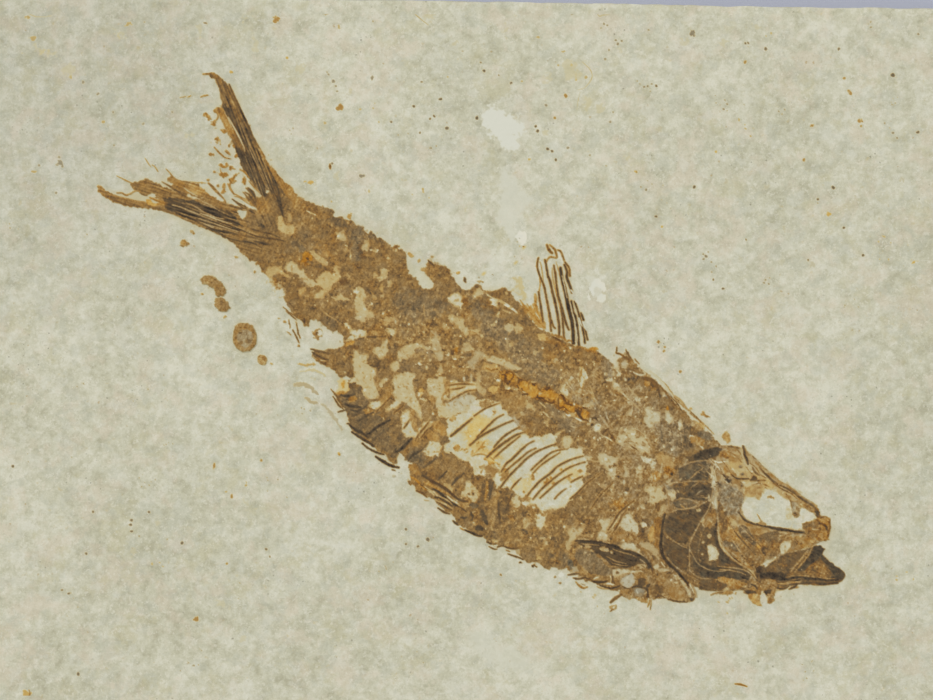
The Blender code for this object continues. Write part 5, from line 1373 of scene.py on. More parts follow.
def paint_head():
    # thin bone over the whole head, then the bare windows in it
    ink(fill("""722,446 731,446.6 740.6,449 743.3,446 749.6,454 756,459.6 763,467 769,471 775.6,476.7 783,483 792,488 797,492 803.5,497 812.5,502 817,507
    819.6,515 828,518 830,524 830,528 828,535 826,540 815,544 806,547 800,551 790,553 778,561 771,567 775,576 772,590 770,602 760,602 756,592
    748,590 735,590 720,591 708,590 697,586 690,582 682,577 676,570 669,564 664,557 661,549 661,540 662,530 665,520 668,505 666,490 678,470 684,458 700,452""", 0.9),
        0.33, 0.0, 1.0)
    # bare stone in front of and above the eye
    ink(fill("728,452 742,452 750,462 764,474 780,486 796,496 806,506 812,518 804,530 790,530 768,527 750,521 740,510 736,496 744,486 736,474 724,466", 1.5), 0.15, 0.1, 0.6)
    ink(fill("742,500 750,497 757,500 760,495 765,490 772,490 780,494 790,500 794,505 795,515 793,522 790,528 780,528 768,525 756,522 748,518 743,511", 0.8), 0.045, 0.05, 0.2)
    for m, tone, warm, much in [
        (fill("745,488 756,484 766,486 760,494 750,498 744,496", 1.5), 0.3, 0.8, 0.7), (fill("752,468 766,478 776,486 770,490 758,482", 1.5), 0.26, 0.8, 0.7),
        (fill("728,456 738,454 744,462 738,470 730,466", 1.5), 0.34, 0.7, 0.8), (fill("740,470 752,472 756,480 746,484 738,478", 1.5), 0.3, 0.6, 0.6),
        (fill("760,515 766,516 769,523 762,524", 0.8), 0.36, 0.6, 0.9), (fill("790,496 800,500 804,512 800,522 794,510", 1.5), 0.36, 0.2, 0.8),
        (fill("800,504 808,505 814,512 806,515 800,512", 1.2), 0.5, 0.3, 0.9), (fill("740,516 752,524 762,528 750,530 738,524", 1.2), 0.3, 0.6, 0.6),
        (fill("752,500 758,499 757,506 752,506", 1.0), 0.2, 0.6, 0.5), (fill("776,488 788,494 796,502 788,500 778,494", 1.4), 0.3, 0.6, 0.6),
    ]:
        ink(m, tone, warm, 0.8, much)
    # mottled bone behind the eye
    ink(fill("712,486 722,482 732,486 742,492 744,502 738,514 728,516 716,512 712,500", 1.8), 0.44, -0.6, 1.3, 0.9)
    for u, v, ru, rv, turn, tone in [(706, 462, 6, 2, -50, -0.06), (712, 476, 9, 1.8, 62, -0.08), (720, 468, 8, 1.5, 50, -0.04), (716, 492, 6, 1.6, 80, -0.06),
                                     (728, 482, 5, 1.4, 30, 0.0), (724, 498, 5, 2, -30, 0.04), (732, 506, 4, 1.6, 20, -0.02), (738, 496, 4, 1.4, 40, 0.0)]:
        ink(spot(u, v, ru, rv, turn, 1.2), tone, -0.3, 1.6, 0.85)
    for u, v, ru, rv, turn in [(718, 484, 5, 1.6, 60), (726, 476, 4, 1.4, 20), (714, 468, 4, 1.6, 70), (730, 494, 5, 1.6, -20), (722, 506, 4, 1.8, 40),
                               (738, 502, 3, 1.4, 10), (710, 482, 3, 1.4, 80), (727, 512, 4, 1.6, -30)]:
        ink(spot(u, v, ru, rv, turn, 1.2), 0.74, -0.35, 1.5, 0.85)
    ink(fill("661,549 661,535 664,520 670,506 667,489 678,468 690,459 704,453 722,448 716,458 712,470 713,486 712,500 717,514 716,535 720,550 732,563 750,570 754,580 748,589 720,590 700,588 684,577 670,565", 1.0), 0.58, -0.1, 1.2)
    # plates above the gill cover
    plates = [
        ("685,458 700,452 720,448 724,449 718,455 706,460 690,461", 0.82, -0.35), ("678,468 690,463 705,461 711,464 709,472 708,480 690,480 679,478", 0.74, -0.5),
        ("667,488 675,483 690,482 708,482 714,487 712,495 706,500 693,500 680,497 675,500", 0.76, -0.35), ("673,503 680,499 690,500 697,505 690,508 677,509", 0.68, -0.5),
    ]
    for p, tone, warm in plates:
        ink(fill(p, 0.7), tone, warm, 2.2)
    ink(between(668, 676, 489, 497), 0.08, 0.1, 0.6)
    # gill cover
    ink(fill("664,527 666,520 670,514 677,510 690,509 698,507 704,503 709,500 711,503 708,512 702,518 699,524 695,531 690,537 686,543 680,543 672,539 667,534", 0.6), 0.76, -0.15, 2.4)
    ink(fill("663,545 664,537 672,541 680,545 688,547 690,553 689,562 686,570 680,568 672,563 666,556 662,550", 0.6), 0.75, -0.1, 2.2)
    ink(fill("688,546 691,540 697,529 702,519 712,512 717,520 716,535 718,545 723,553 730,560 740,565 750,569 752,576 735,579 720,580 706,580 696,575 690,566 689,556", 0.7), 0.72, -0.15, 2.0)
    ink(fill("692,556 700,562 712,567 728,568 742,570 750,574 740,578 720,579 704,577 694,570", 0.7), 0.8, -0.4, 2.0, 0.85)
    ink(fill("676,568 688,572 696,578 708,582 722,583 736,582 750,581 752,588 736,590 720,591 704,590 694,586 684,578", 0.9), 0.62, 0.0, 1.6)
    ink(fill("717,577 724,575 732,577 738,581 728,584 719,582", 1.2), 0.42, 0.95, 1.5, 0.9)
    ink(fill("655,520 660,516 664,522 661,535 661,548 658,550 655,540", 1.0), 0.6, 0.35, 1.2)
    ink(between(649, 654, 528, 541), 0.34, 0.8, 1.0)
    ink(fill("707,546 712,545 716,550 719,554 716,558 713,560 709,560 708,553", 0.5), 0.05, 0.0, 0.8)
    for u, v, r in [(709, 536, 2.4), (703, 542, 1.5), (702, 554, 1.0), (699, 510, 1.8), (704, 524, 2.0)]:
        ink(spot(u, v, r, r, k=0.6), 0.1, 0.1, 1.0)
    # cheek
    ink(fill("720,520 730,522 738,526 744,532 754,535 770,536 786,536 796,538 790,546 780,552 772,560 764,568 752,570 740,566 730,560 724,552 720,542 718,530", 1.0), 0.54, 0.25, 1.4)
    for m, tone, warm, much in [
        (fill("722,516 732,518 736,528 730,534 722,530", 1.3), 0.58, 0.2, 0.9), (fill("754,532 768,533 782,536 784,541 770,544 758,541", 0.8), 0.64, 0.15, 0.9),
        (fill("730,538 740,544 748,554 742,560 732,552", 1.2), 0.46, 0.1, 0.7), (fill("740,550 752,550 760,558 752,566 744,562", 1.2), 0.56, 0.35, 0.8),
        (fill("746,536 754,540 752,546 744,542", 1.2), 0.42, 0.6, 0.7), (between(763, 775, 557, 567, -30), 0.06, 0.1, 1.0),
        (fill("779,545 784,541 791,540 791,546 787,552 781,554", 0.8), 0.05, 0.05, 1.0), (between(754, 764, 562, 567), 0.1, 0.2, 0.8),
        (fill("728,524 734,530 742,534 740,540 732,538 727,532", 1.3), 0.36, 0.7, 0.7), (fill("766,556 776,552 782,556 774,562 766,562", 1.3), 0.5, 0.1, 0.6),
    ]:
        ink(m, tone, warm, 1.2, much)
    # snout
    ink(fill("815,506 819,509 820,516 830,518 831,526 829,536 826,541 818,541 812,536 806,533 803,527 808,522 816,520 816,514", 0.7), 0.62, 0.5, 1.8)
    ink(spot(823, 527, 3.2, 3.6), 0.82, 0.2, 2.0)
    ink(fill("803,522 812,521 820,524 818,530 808,531 802,528", 0.8), 0.62, 0.3, 1.6)
    ink(fill("790,536 804,534 815,540 812,547 803,547 794,544", 1.2), 0.46, 0.4, 1.2)
    ink(spot(822, 520, 4, 1.6, 0), 0.3, 0.8, much=0.8)
    ink(spot(807, 518, 3, 2), 0.06, 0.0, much=0.8)
    ink(spot(798, 541, 2, 1.4), 0.08, 0.1)
    # lower jaw
    ink(fill("752,575 760,566 771,563 778,558 786,553 800,551 806,549 812,547 816,545 825,549 822,554 829,561 837,567 844,572 845.5,576 842,581 836,584 823,585.5 812,585 800,584 788,586 778,589 770,588 760,586", 0.6), 0.68, 0.0, 1.8)
    ink(fill("761.5,568 771,563 778.5,558 786,554 794,552 800,551 806,549 804,556 800,561 793,567 786,572 780,575 768,577 762,575", 0.6), 0.68, -0.25, 1.9)
    ink(fill("760,571.5 770,573 786,571 787,578 774,579 760,578.5", 0.6), 0.9, -0.2, 1.9)
    ink(fill("805,560 816,560 826,566 832,574 826,578 814,576 806,570", 1.0), 0.6, 0.55, 1.8, 0.85)
    ink(fill("797,570 803,565 808,559 812,552 814.6,546 824.6,549 822,553 817,560 810,565 804,571", 0.5), 0.82, -0.4, 2.4)
    ink(fill("821.5,554.6 829,561.5 837,567 844,572 845,575.4 842,581 838.5,578 832,570 826,563 820,558", 0.5), 0.82, -0.2, 2.2)
    ink(fill("800,551 808,553 802,560 794,567 798,560", 0.6), 0.34, 0.4, 1.8, 0.6)
    for p, w, tone, warm in [
        ("779,578 790,576.5 801.5,576 813,577 825,577 838.5,577.7", 2.2, 0.9, -0.2), ("775,582 786,582.7 794,581 803,579 817,580", 1.8, 0.86, -0.1),
        ("790,585 806,583 822,583 838,583", 1.6, 0.8, 0.0), ("770,577 780,579 792,579", 1.8, 0.88, 0.0),
    ]:
        ink(stroke(p, w * 0.6, w, w * 0.7, 0.3), tone, warm, 2.2)
    for p, w, tone, warm in [
        ("786,579.6 800,578.6 816,578.4 834,580.4", 1.0, 0.36, 0.3), ("807,552 800,560 793,567 788,571", 1.0, 0.26, 0.4), ("812,548 807,558 800,566", 1.0, 0.3, 0.2),
    ]:
        ink(stroke(p, w, w, w, 0.3), tone, warm, 2.2, 0.8)
    # throat
    ink(fill("752,580 762,584 772,586 776,590 773,600 766,603 760,602 757,594 750,590", 0.9), 0.52, 0.3, 1.4)
    for m, tone, warm in [
        (spot(750, 592, 6, 1.8), 0.86, 0.0), (spot(768, 592, 3, 4), 0.82, 0.0), (spot(763, 595, 2.6, 4), 0.04, 0.0), (spot(768, 600, 2.6, 2.4), 0.5, 0.4),
        (spot(709, 586, 9, 3.4), 0.78, -0.2), (spot(736, 586, 9, 2.6), 0.5, 0.5), (spot(728, 593, 5, 1.6), 0.5, 0.3), (spot(782, 588, 4, 1.8), 0.6, 0.4),
        (spot(795, 587, 4, 1.4), 0.5, 0.4), (spot(744, 585, 3, 2), 0.1, 0.2), (spot(726, 589, 4, 1.4), 0.12, 0.4),
    ]:
        ink(m, tone, warm, 1.3)
    draw(HEAD, 0.5, 0.75)
    draw(PLATES, 0.5)
    # dark lines and splints
    for p, w, tone in [
        ("664.7,514 662.4,526 661,540 661,549 664,557.5 669.6,564.6 676,570 682,577 687.6,583.5", 3.4, 0.9),
        ("738,512 744,519 750,523 758,525 770,527 785,529 795,531 804,532", 2.0, 0.84), ("743,447 745,456 748,464", 2.4, 0.82),
        ("731,474 736,478 742,479 748.6,478.5", 1.4, 0.82), ("750,480 758,480.5 765,480", 1.3, 0.7), ("752,467 756,473 759,475", 1.6, 0.66),
        ("749.6,454 756,459.6 763,467 770,473", 1.6, 0.5), ("760.4,468.6 767.6,476.7 774,482 783,486.5 792,491 799,496.4 808,502 815,508 819,516", 2.0, 0.74),
        ("722,446 731,446.6 740.6,449", 1.6, 0.6), ("786,486 796,493 806,500 814,505", 1.4, 0.55), ("717,520 716,532 718,545 724,554 733,562 742,567", 2.6, 0.84),
        ("700,586 712,590 722,590", 1.6, 0.7),
    ]:
        ink(stroke(p, w * 0.6, w, w * 0.6, 0.35), tone, -0.05, 2.2)
    ink(between(751, 757, 476, 481), 0.8, 0.0, 1.6)
    ink(spot(817, 513, 2, 3), 0.84, 0.0, 1.6)
    # pale ridge lines on the gill cover
    for p, w, tone in [
        ("717.6,515 718,525 719,534 721,541 724.4,548.5 730,555 736,561 741,564.6 748,568", 1.8, 0.22),
        ("690,550 694,557.5 697.5,563 703,567 712,570.5 721,571 730,570 739,572 746,575", 1.3, 0.26), ("689,570 694,574.5 701,578 710,579", 1.3, 0.3),
        ("689.4,546 689.2,558 689.6,570", 1.5, 0.26), ("667,536 673,540 680,545 687,548", 1.3, 0.28), ("669,513 678,509.6 690,508.4 699,505.6 707,501", 1.4, 0.22),
        ("713,488 711,500 708,510 702,519 697,528 692,538 689,546", 1.9, 0.24), ("679,468 688,463.5 700,460.5 710,460", 1.2, 0.2), ("675,483 690,481.4 706,481", 1.2, 0.24),
        ("676,500 683,498.4 692,500.4 700,505", 1.2, 0.26), ("722,541 728,549 736,556 744,562 750,566", 1.0, 0.3), ("664,552 671,562 680,570 690,576 698,580", 1.2, 0.4),
        ("708,516 704,528 700,540 698,552 700,562", 1.0, 0.5), ("692,585 696,592 697,597", 1.6, 0.34), ("748,572 754,578 757,586", 2.0, 0.3),
    ]:
        ink(stroke(p, w * 0.5, w * 0.72, w * 0.5, 0.3), tone - 0.04, -0.1, 2.8, 0.8)


paint_pectoral()
paint_head()


def paint_strays():
    # nodules and fragments beside the tail
    for p in ["200,280 203,276 210,276 216,278 220,281 224,286 226,292 223,296 216,295 214,289 208,285 203,284",
              "215,298 222,297 227,302 230,307 226,312 219,311 215,306"]:
        ink(fill(p, 1.2), 0.42, 0.1, 3.6)
        ink(fill(p, 2.4), 0.5, -0.1, much=0.4)
    ink(fill("233,335 235,326 240,323 248,323 254,328 257,336 256,345 250,351 243,352 236,348 233,342", 0.8), 0.46, 0.1, 4.2)
    ink(spot(245, 338, 8, 9), 0.36, -0.6, 4.6, 0.8)
    for u, v, r, tone, warm in [(240, 332, 2.4, 0.66, -0.2), (248, 341, 2.6, 0.64, -0.2), (250, 333, 1.8, 0.2, -0.3), (241, 343, 2.2, 0.6, 0.0), (245, 347, 1.8, 0.2, -0.2),
                                (236, 338, 1.6, 0.66, 0.2), (246, 328, 2.0, 0.56, 0.3), (253, 346, 1.8, 0.52, 0.3), (252, 326, 1.4, 0.4, 0.4),
                                (207, 280, 2.0, 0.6, 0.1), (218, 287, 2.6, 0.56, 0.1), (222, 293, 1.6, 0.3, 0.1), (222, 303, 2.4, 0.6, 0.0), (224, 309, 1.6, 0.56, 0.2)]:
        ink(spot(u, v, r, r * 0.9, k=1.2), tone, warm, much=0.85)
    ink(spot(262, 360, 5, 5), 0.44, 0.15, 3.0, 0.9)
    ink(spot(264, 358, 2, 2), 0.62, 0.2)
    for u, v, r, tone, warm in [(225, 317, 1.8, 0.4, 0.6), (272, 364, 1.2, 0.4, 0.5), (184, 243, 3.0, 0.42, 0.3), (192, 232, 1.8, 0.34, 0.3), (236, 257, 1.6, 0.44, 0.4),
                                (339, 454, 1.8, 0.4, 0.9), (202, 294, 1.3, 0.36, 0.6), (258, 263, 2.2, 0.5, 0.3), (263, 271, 2.0, 0.5, 0.3), (255, 272, 1.2, 0.5, 0.3),
                                (285, 322, 1.4, 0.5, 0.4), (299, 346, 1.3, 0.5, 0.4), (279, 318, 1.0, 0.5, 0.3), (394, 476, 1.4, 0.16, -0.2)]:
        ink(spot(u, v, r, r * 0.9, k=1.6), tone, warm, 1.4, 0.9)
    draw("""
S 0.35 0.6|349.5,217,3 410,255,3,2,40 311,183,3,1
S 0.3 0.5|419,261,1.3,2 423,269,2,1.5 369,192,1,1.6
S 0.34 0.2|432,257,1.4,1.2 479,281,3,1.2
S 0.4 0.9|484,274,1.5 457,273,2,1
S 0.25 0.6|331,201,1.2 360,196,1.4,1
""")
    for p, w, tone, warm in [("295,385 303,384 311,388 317,394", 5, 0.3, -0.4), ("305,398 311,401 317,404", 4.4, 0.3, -0.4), ("322,404 330,412 336,420 342,430", 3.4, 0.22, -0.3),
                             ("298,364 306,365 315,364", 2.4, 0.36, 0.8), ("300,372 312,370 326,376", 3, 0.14, 0.5)]:
        ink(stroke(p, w * 0.6, w, w * 0.6, 1.8), tone, warm, 0.8, 0.8)


paint_strays()


def finish_drawing():
    """Grain in the film, flecks, painted highlights (glints and sparkle), remains on the bare patches, and a faint
    stain in the stone round the fish.
    """
    global T, W, R
    film = smooth(0.22, 0.42, T)
    dark = smooth(0.6, 0.8, T)
    body = np.zeros_like(T)
    for text in (FLANK_EDGE, HEAD_EDGE):
        w, m = fill(text, 0.6, torn=0.7)
        body[w] = np.maximum(body[w], m)
    # flecks where the film has broken away, thickest in the middle of the flank
    zone = np.zeros_like(T)
    for p, much in [("420,300 470,310 540,350 600,360 640,380 690,430 680,470 650,500 620,540 560,560 500,540 440,490 470,470 540,520 580,520 600,470 570,430 500,390 430,360 400,320", 1.0),
                    ("380,300 430,320 470,360 420,370 390,350 350,330", 1.0), ("290,260 340,260 380,300 350,330 310,310", 0.4)]:
        w, m = fill(p, 2)
        zone[w] = np.maximum(zone[w], m * much)
    zone = wide_blur(zone, 10)
    n9 = fbm(UU / 9, VV / 9, 301, 2)
    n7 = fbm(UU / 6.5, VV / 6.5, 311, 2)
    tail = (1 - smooth(255, 300, UU)) * (1 - smooth(250, 262, VV))
    mid = film * (1 - dark) * (1 - 0.7 * smooth(0.8, 0.95, W)) * (1 - 0.6 * tail)
    T += mid * (0.06 * n9 + 0.03 * n7)
    W += film * (0.18 * fbm(UU / 9, VV / 9, 305, 2) + 0.14 * perlin(UU / 3.1, VV / 3.1, 91))
    fleck = fbm(UU / 3.8, VV / 3.8, 81, 3) + 0.3 * perlin(ALONG / 2.4, ACROSS / 6, 83)
    open_ = smooth(0.60 - 0.22 * zone, 0.72 - 0.2 * zone, fleck) * mid
    T += (0.10 + 0.08 * N5 - T) * open_ * 0.9
    W += (0.2 - W) * open_ * 0.7
    R += (0.3 - R) * open_ * 0.8
    tan = smooth(0.17, 0.5, fbm(UU / 4.6, VV / 4.6, 85, 3) + 0.25 * zone + 0.15 * N12) * mid
    T += (0.35 - T) * tan * 0.72
    W += (0.35 - W) * tan * 0.3
    white = smooth(0.80, 0.92, perlin(UU / 2.8, VV / 2.8, 87) + 0.1 * zone) * smooth(0.1, 0.5, zone + 0.1) * film
    T += (-0.08 - T) * white * 0.85
    pit = smooth(0.42, 0.75, perlin(UU / 2.4, VV / 2.4, 89) + 0.3 * N12) * mid
    T += 0.17 * pit
    bu, bv = UU + 2.5 * WX, VV + 2.5 * WY
    vein = 1 - smooth(0.0, 0.15, np.abs(perlin(bu / 6.5, bv / 6.5, 201)))
    vein2 = 1 - smooth(0.0, 0.18, np.abs(perlin(bu / 4.0, bv / 4.0, 203)))
    gate = smooth(-0.2, 0.4, perlin(UU / 14, VV / 14, 205))
    T += mid * (0.15 * vein * gate - 0.11 * vein2 * (1 - gate))
    T += film * (0.06 * N2 + 0.10 * HATCH * (1 - dark) + 0.05 * N5)
    wisp = 1 - smooth(0.0, 0.14, np.abs(perlin((ALONG + 1.5 * WX) / 3.2, ACROSS / 13, 223)))
    wisp2 = 1 - smooth(0.0, 0.12, np.abs(perlin((ALONG + 1.5 * WY) / 2.6, ACROSS / 10, 225)))
    gate2 = smooth(-0.1, 0.4, perlin(UU / 11, VV / 11, 227))
    T += mid * (0.13 * wisp2 * (1 - gate2) - 0.12 * wisp * gate2)
    line = np.clip(4 * film * (1 - film), 0, 1) * body * smooth(-0.35, 0.15, perlin(UU / 6, VV / 6, 229))
    T += (0.56 - T) * line * 0.75
    W += (0.3 - W) * line * 0.6
    w, m = fill(HEAD_EDGE, 1.0)
    head = np.zeros_like(T)
    head[w] = m
    chip = smooth(0.66, 0.86, perlin(UU / 1.9, VV / 1.9, 231) + 0.35 * N5) * head * film
    T += (0.05 - T) * chip * 0.6
    T += head * film * (0.10 * perlin((ALONG + 2 * WX) / 10, (ACROSS + 1.5 * WY) / 1.6, 233) + 0.06 * perlin(UU / 3.4, VV / 3.4, 237))
    W += head * film * 0.28 * perlin(UU / 5, VV / 5, 235)
    T += dark * (0.08 * n9 + 0.07 * N5)
    W += dark * (0.35 * N12 + 0.25 * N5)
    # painted glints: small highlights on the film
    glint = smooth(0.84, 0.96, perlin(UU / 1.6, VV / 1.6, 207) + 0.2 * N12) * mid
    T += (-0.06 - T) * glint * 0.75
    # the rays of both tail lobes streak the film
    up = smooth(-8, 8, ((UU - 150) * 135 - (VV - 80) * 100) / 168)
    T += film * tail * 0.19 * (up * perlin((0.407 * UU + 0.914 * VV) / 16, (-0.914 * UU + 0.407 * VV) / 1.7, 241)
                               + (1 - up) * perlin((0.956 * UU + 0.292 * VV) / 16, (-0.292 * UU + 0.956 * VV) / 1.7, 243))
    # fine pale sparkle: painted highlights on the film
    painted_sparkle = smooth(0.3, 0.75, perlin(UU / 1.25, VV / 1.25, 219)) * film * smooth(-0.2, 0.3, N12 + 0.4 * N5)
    T -= 0.16 * painted_sparkle * (1 - 0.4 * dark)
    R += film * (0.22 * N2 + 0.15 * HATCH + 0.25 * N5)
    # bare patches keep thin remains of film, chalky bits and a tan rim
    bare = body * (1 - film)
    w, m = fill(HEAD_EDGE, 1.0)
    head_ = np.zeros_like(T)
    head_[w] = m
    edge = wide_blur(film * body, 4)
    calm = np.zeros_like(T)
    for text in (P_WINDOW, EYE_SOCKET):
        w, m = fill(text, 1.0)
        calm[w] = np.maximum(calm[w], m)
    T += bare * (0.06 + 0.05 * (1 - head_) + 0.05 * N5 + 0.045 * n7 + 0.03 * N2)
    W += bare * (0.2 * N12 - 0.12 * (1 - head_))
    rim = bare * (1 - 0.5 * calm) * smooth(0.15, 0.5, edge) * smooth(-0.25, 0.3, perlin(UU / 5, VV / 5, 213))
    T += (0.36 - T) * rim * 0.75
    W += (0.35 - W) * rim * 0.5
    T -= 0.075 * bare * calm
    rest = smooth(0.16, 0.4, fbm(UU / 3.6, VV / 3.6, 211, 3)) * bare * (1 - 0.85 * calm)
    T += (0.38 - T) * rest * 0.85
    W += (0.4 - W) * rest * 0.5
    chalk = smooth(0.35, 0.7, fbm(UU / 4.4, VV / 4.4, 215, 2)) * bare
    T += (-0.09 - T) * chalk * 0.6
    W += (-0.2 - W) * chalk * 0.5
    T += bare * 0.10 * (1 - smooth(0.0, 0.12, np.abs(perlin(bu / 5.2, bv / 5.2, 217)))) * gate
    # stain in the stone
    bone = (T > 0.3).astype(np.float32)
    near, wide = wide_blur(bone, 14), wide_blur(bone, 40)
    halo = (0.055 * smooth(0.02, 0.5, near) + 0.035 * smooth(0.0, 0.25, wide)) * (1 + 0.5 * N30 + 0.4 * N12)
    T += (1 - film) * (1 - body) * halo
    W += (1 - film) * (1 - body) * -0.35 * smooth(0.0, 0.2, wide)
    # towards the head the thin film is paler and greyer
    shoulder = smooth(545, 640, UU) * body * smooth(0.06, 0.16, T) * (1 - smooth(0.42, 0.56, T)) * (1 - smooth(0.75, 0.9, W))
    T -= 0.035 * shoulder
    W -= 0.32 * shoulder
    T[:] = np.clip(T, -0.25, 1)
    W[:] = np.clip(W, -1, 1)


EYE_SOCKET = "742,504 750,497.6 758,500 769,488.6 777,494 788,500 801,508 812,512 818,518 804,528 786,528 768,527 750,521 743,514"
HEAD_EDGE = "722,446 743,446 760,462 776,477 797,492 812,502 820,515 830,520 830,534 815,545 829,560 844,572 842,581 820,586 790,587 774,600 756,600 748,590 720,591 697,586 676,570 661,549 664,515 678,470"
finish_drawing()

# the stone with its stain, before any mark in it
FACE_T, FACE_W = T.copy(), W.copy()

SPECKS = """
S 0.42 0.3|276,20,3,4 326,13,3.4,1.8,30 340,107.5,3.4,2.4 565.5,95.5,1.6,2 555,118,1.3 214,466,1.4,3.4,15 261.5,460.5,1.2
S 0.42 0.25|231.5,496,1.2,2.4 227,564,1.3 195,619,1.8,1.6 745,62,1.4,2 844.5,78,1.4 850.5,93,2.2,2 813,125,2.4,1.8 861,121,1.8,1 861,126,1.2,1.4 804,160,1.6 637,172,1.2
S 0.3 0.8|662,227,1.4 716,152,1.4 914,262,2,1.2 828,214,2 529,159.5,1.5 232,72,2,1.6 287,58,1.3 310,183,3,1.2 635,171.5,1.2 576,80,1.2 572,65,1.2,1.4
S 0.28 0.1|27,17,1.8 128,24,2,1.4 32,38,2.2,1.6 71,77,1.6 103,122,1.6 34,171,2,1.2 339,26,1,2 325,123,1.4 447.5,77,1.4 538,13,1,1.8 538,37,1.6,1.3 586,77,1.6 558,65,1.2 564,51,2.4,1.4 522,81,1.6
B 0.14 0.1|50,54,7,3,20 40,50,6,2.4,20 70,70,7,6 155,619,1.6,1.2 220,603,4,3 243,638,3.4,3.6 133,552,2.6,4.4 237,575,1.6 116,532,1,0.8 157.5,523,1.3 246,502,1,3.4,-60
B 0.15 0.1|351,93,2.4,2.8 337,176,3,4 370,192,2,3 467,210,1.6,3 505,27,2,3 430,16,6,4 457,42,3,2.4 570,70,7,10 578,76,3,4 588,103,4,6 600,108,4,5 545,132,4,3 628,160,3,4 246,17,5,2
B 0.14 0.1|686,42,5,4 723,43,5,3 758,26,4,3 300,68,5,5 620,52,3,3 547,78,6,3 200,30,3,5 255,44,3,5 115,33,2,3 122,35,3,3 190,137,3,3 275,28,2,2
S 0.66 -1|205,23,1.6,1.2 441,99,1.6,1.3 414,106,1.3 481,63,1.2,1 484,71,1,1.2 477,118,1.2,1.6 434,116,0.9 430,119,1.2,0.9 536,126,0.9 538,131,1.2,1 548,149,1.3,1.2 552,151,1.1 556,160,1
S 0.64 -1|694,187,1.5,1.4 833.5,187.5,1.5 818,199.5,1.1 656,216.5,1.4 746,239.5,1.3 844,228,1.2 863,255,1.2 808.5,260,1 713.5,279.5,1.1 723,288.5,1 918,132,1.6,1.2 656,86,1.1 893,75,1.6,2
S 0.56 -1|12.5,466,1.2 93,512,1.2 149,512,1 131,520,1.3,1 131,525,1.6,1 131.5,531,1.2 139,536,0.8 86,553.5,1.3 62,590,1.6,1 68.5,593.5,1.1 78.5,674,1.5 266.5,549,1.5,1.2 270,557,1 167,539,0.9
S 0.56 -1|182,543,1.3 332,163,1.1 746,44,1.8 766,49,1.4 839,49,1.3 406,529,1.3 428,540,1.6 406,544,1.1 418,546,1.2 391,122,1 447,128,1.3 420,133,0.9 373,21,1 422,82,1.3,0.8 511,83,1 499,75,0.8
S 0.46 -1|604,24,1.2 601,28,0.8 607,25,0.9 616,40,1.1 622,41,1.2 618,44,1 619,39,0.8 609,50,1 605,59,0.8 871,22,1 871,27,1.1 868,24,0.7 918,34,1.3 648,30,1 693,33,2.4,2 588,4,1.6 572,14,1
S 0.36 -1|113,112,0.9 143,124,1.2,0.9 98,94,1.1 59,157,1.4,1 60,163,2,1.4 57,165,1.4,1 62,166,1.2 39,165,1.4,1.2 56,193,1.3 114,145,1.4,1 144,22,0.9 22,53,1.2,0.7 83,82,1.4 172,112,1
S 0.4 -1|372,78,1.6,2 333,81,1.2 336,86,1 337,91,1 329,75,1 327,72,0.8 361,176,1.6 431,148,1.8,1.2 436,146,1 364,176,1.2 568,148,1.4 590,155,1 546,105,1.1 613,112,1 610,122,1.4,1 606,166,1.6,1
S 0.44 -1|637,81,0.7 640,84,0.8 644,87,1 648,86,1 652,84,0.8 646,90,0.7 650,91,0.7 725,100,0.9 727,104,1 724,109,0.8 779,111,0.8 782,114,1 785,110,0.7 889,128,0.9 893,133,1 897,138,0.9 885,123,0.7
S 0.44 -1|703,254,1 706,256,1.2 708,252,0.8 704,259,0.8 711,262,0.8 766,280,1.2 769,284,1 764,283,0.7 770,278,0.7 712,272,0.7 716,266,0.6 641,187,0.8 646,190,0.9 652,184,0.6 648,181,0.6 818,203,0.7
B 0.2 -1|664,290,1.6 700,300,1.2 812,265,1.6 786,230,2,1.4 660,130,1.6 676,148,1.4,1 721,128,1.4 740,146,1.2 768,186,1.4 856,196,1.6 878,220,1.4 902,180,1.6 726,182,1.2 690,190,1.4
L 0.62 0.5 2.2|735,684 741,684.6 747,686.6
P 0.3 0.6|23,690 28,690 31,693 29,699 25,699 23,695
L 0.66 0.1 1.2|29,690 30,694 28,698
S 0.7 0.2|330,165.6,1.1,3
L 0.6 -0.2 0.9|180,97.6 186,96.4
L 0.3 -0.1 1.1|405,5 410,9 416,15 422,20 428,25
L 0.5 0.1 1.4|586,3 592,5.6 597,9 600,12
L 0.28 -0.1 1.0|596,10 599,16 603,15 610,14.6
L 0.26 0.1 1.0|582,62 587,66 591,71 592,77 589,83 584,88 578,90
L 0.2 -0.1 1.0|580,92 578,101 577,110
L 0.26 -0.1 1.0|0,7 8,7.5 16,5.6 20,7 26,12 34,16 42,17 52,15.6
L 0.26 -0.1 1.2|52,2 60,5 67,7.6 76,9.4 86,9.6 94,7.6 98,5
L 0.2 -0.1 1.0|132,9 138,8 144,10 152,9 160,9
L 0.24 -0.1 1.2|520,8 526,11 532,10.6 538,8
S 0.44 0.2|658,342,2,1.3 665,347,1.4 664,351,1.2 680,372,1.4
S 0.5 -0.1|555,577,1.1 560,583,1 501,575,1.2
"""
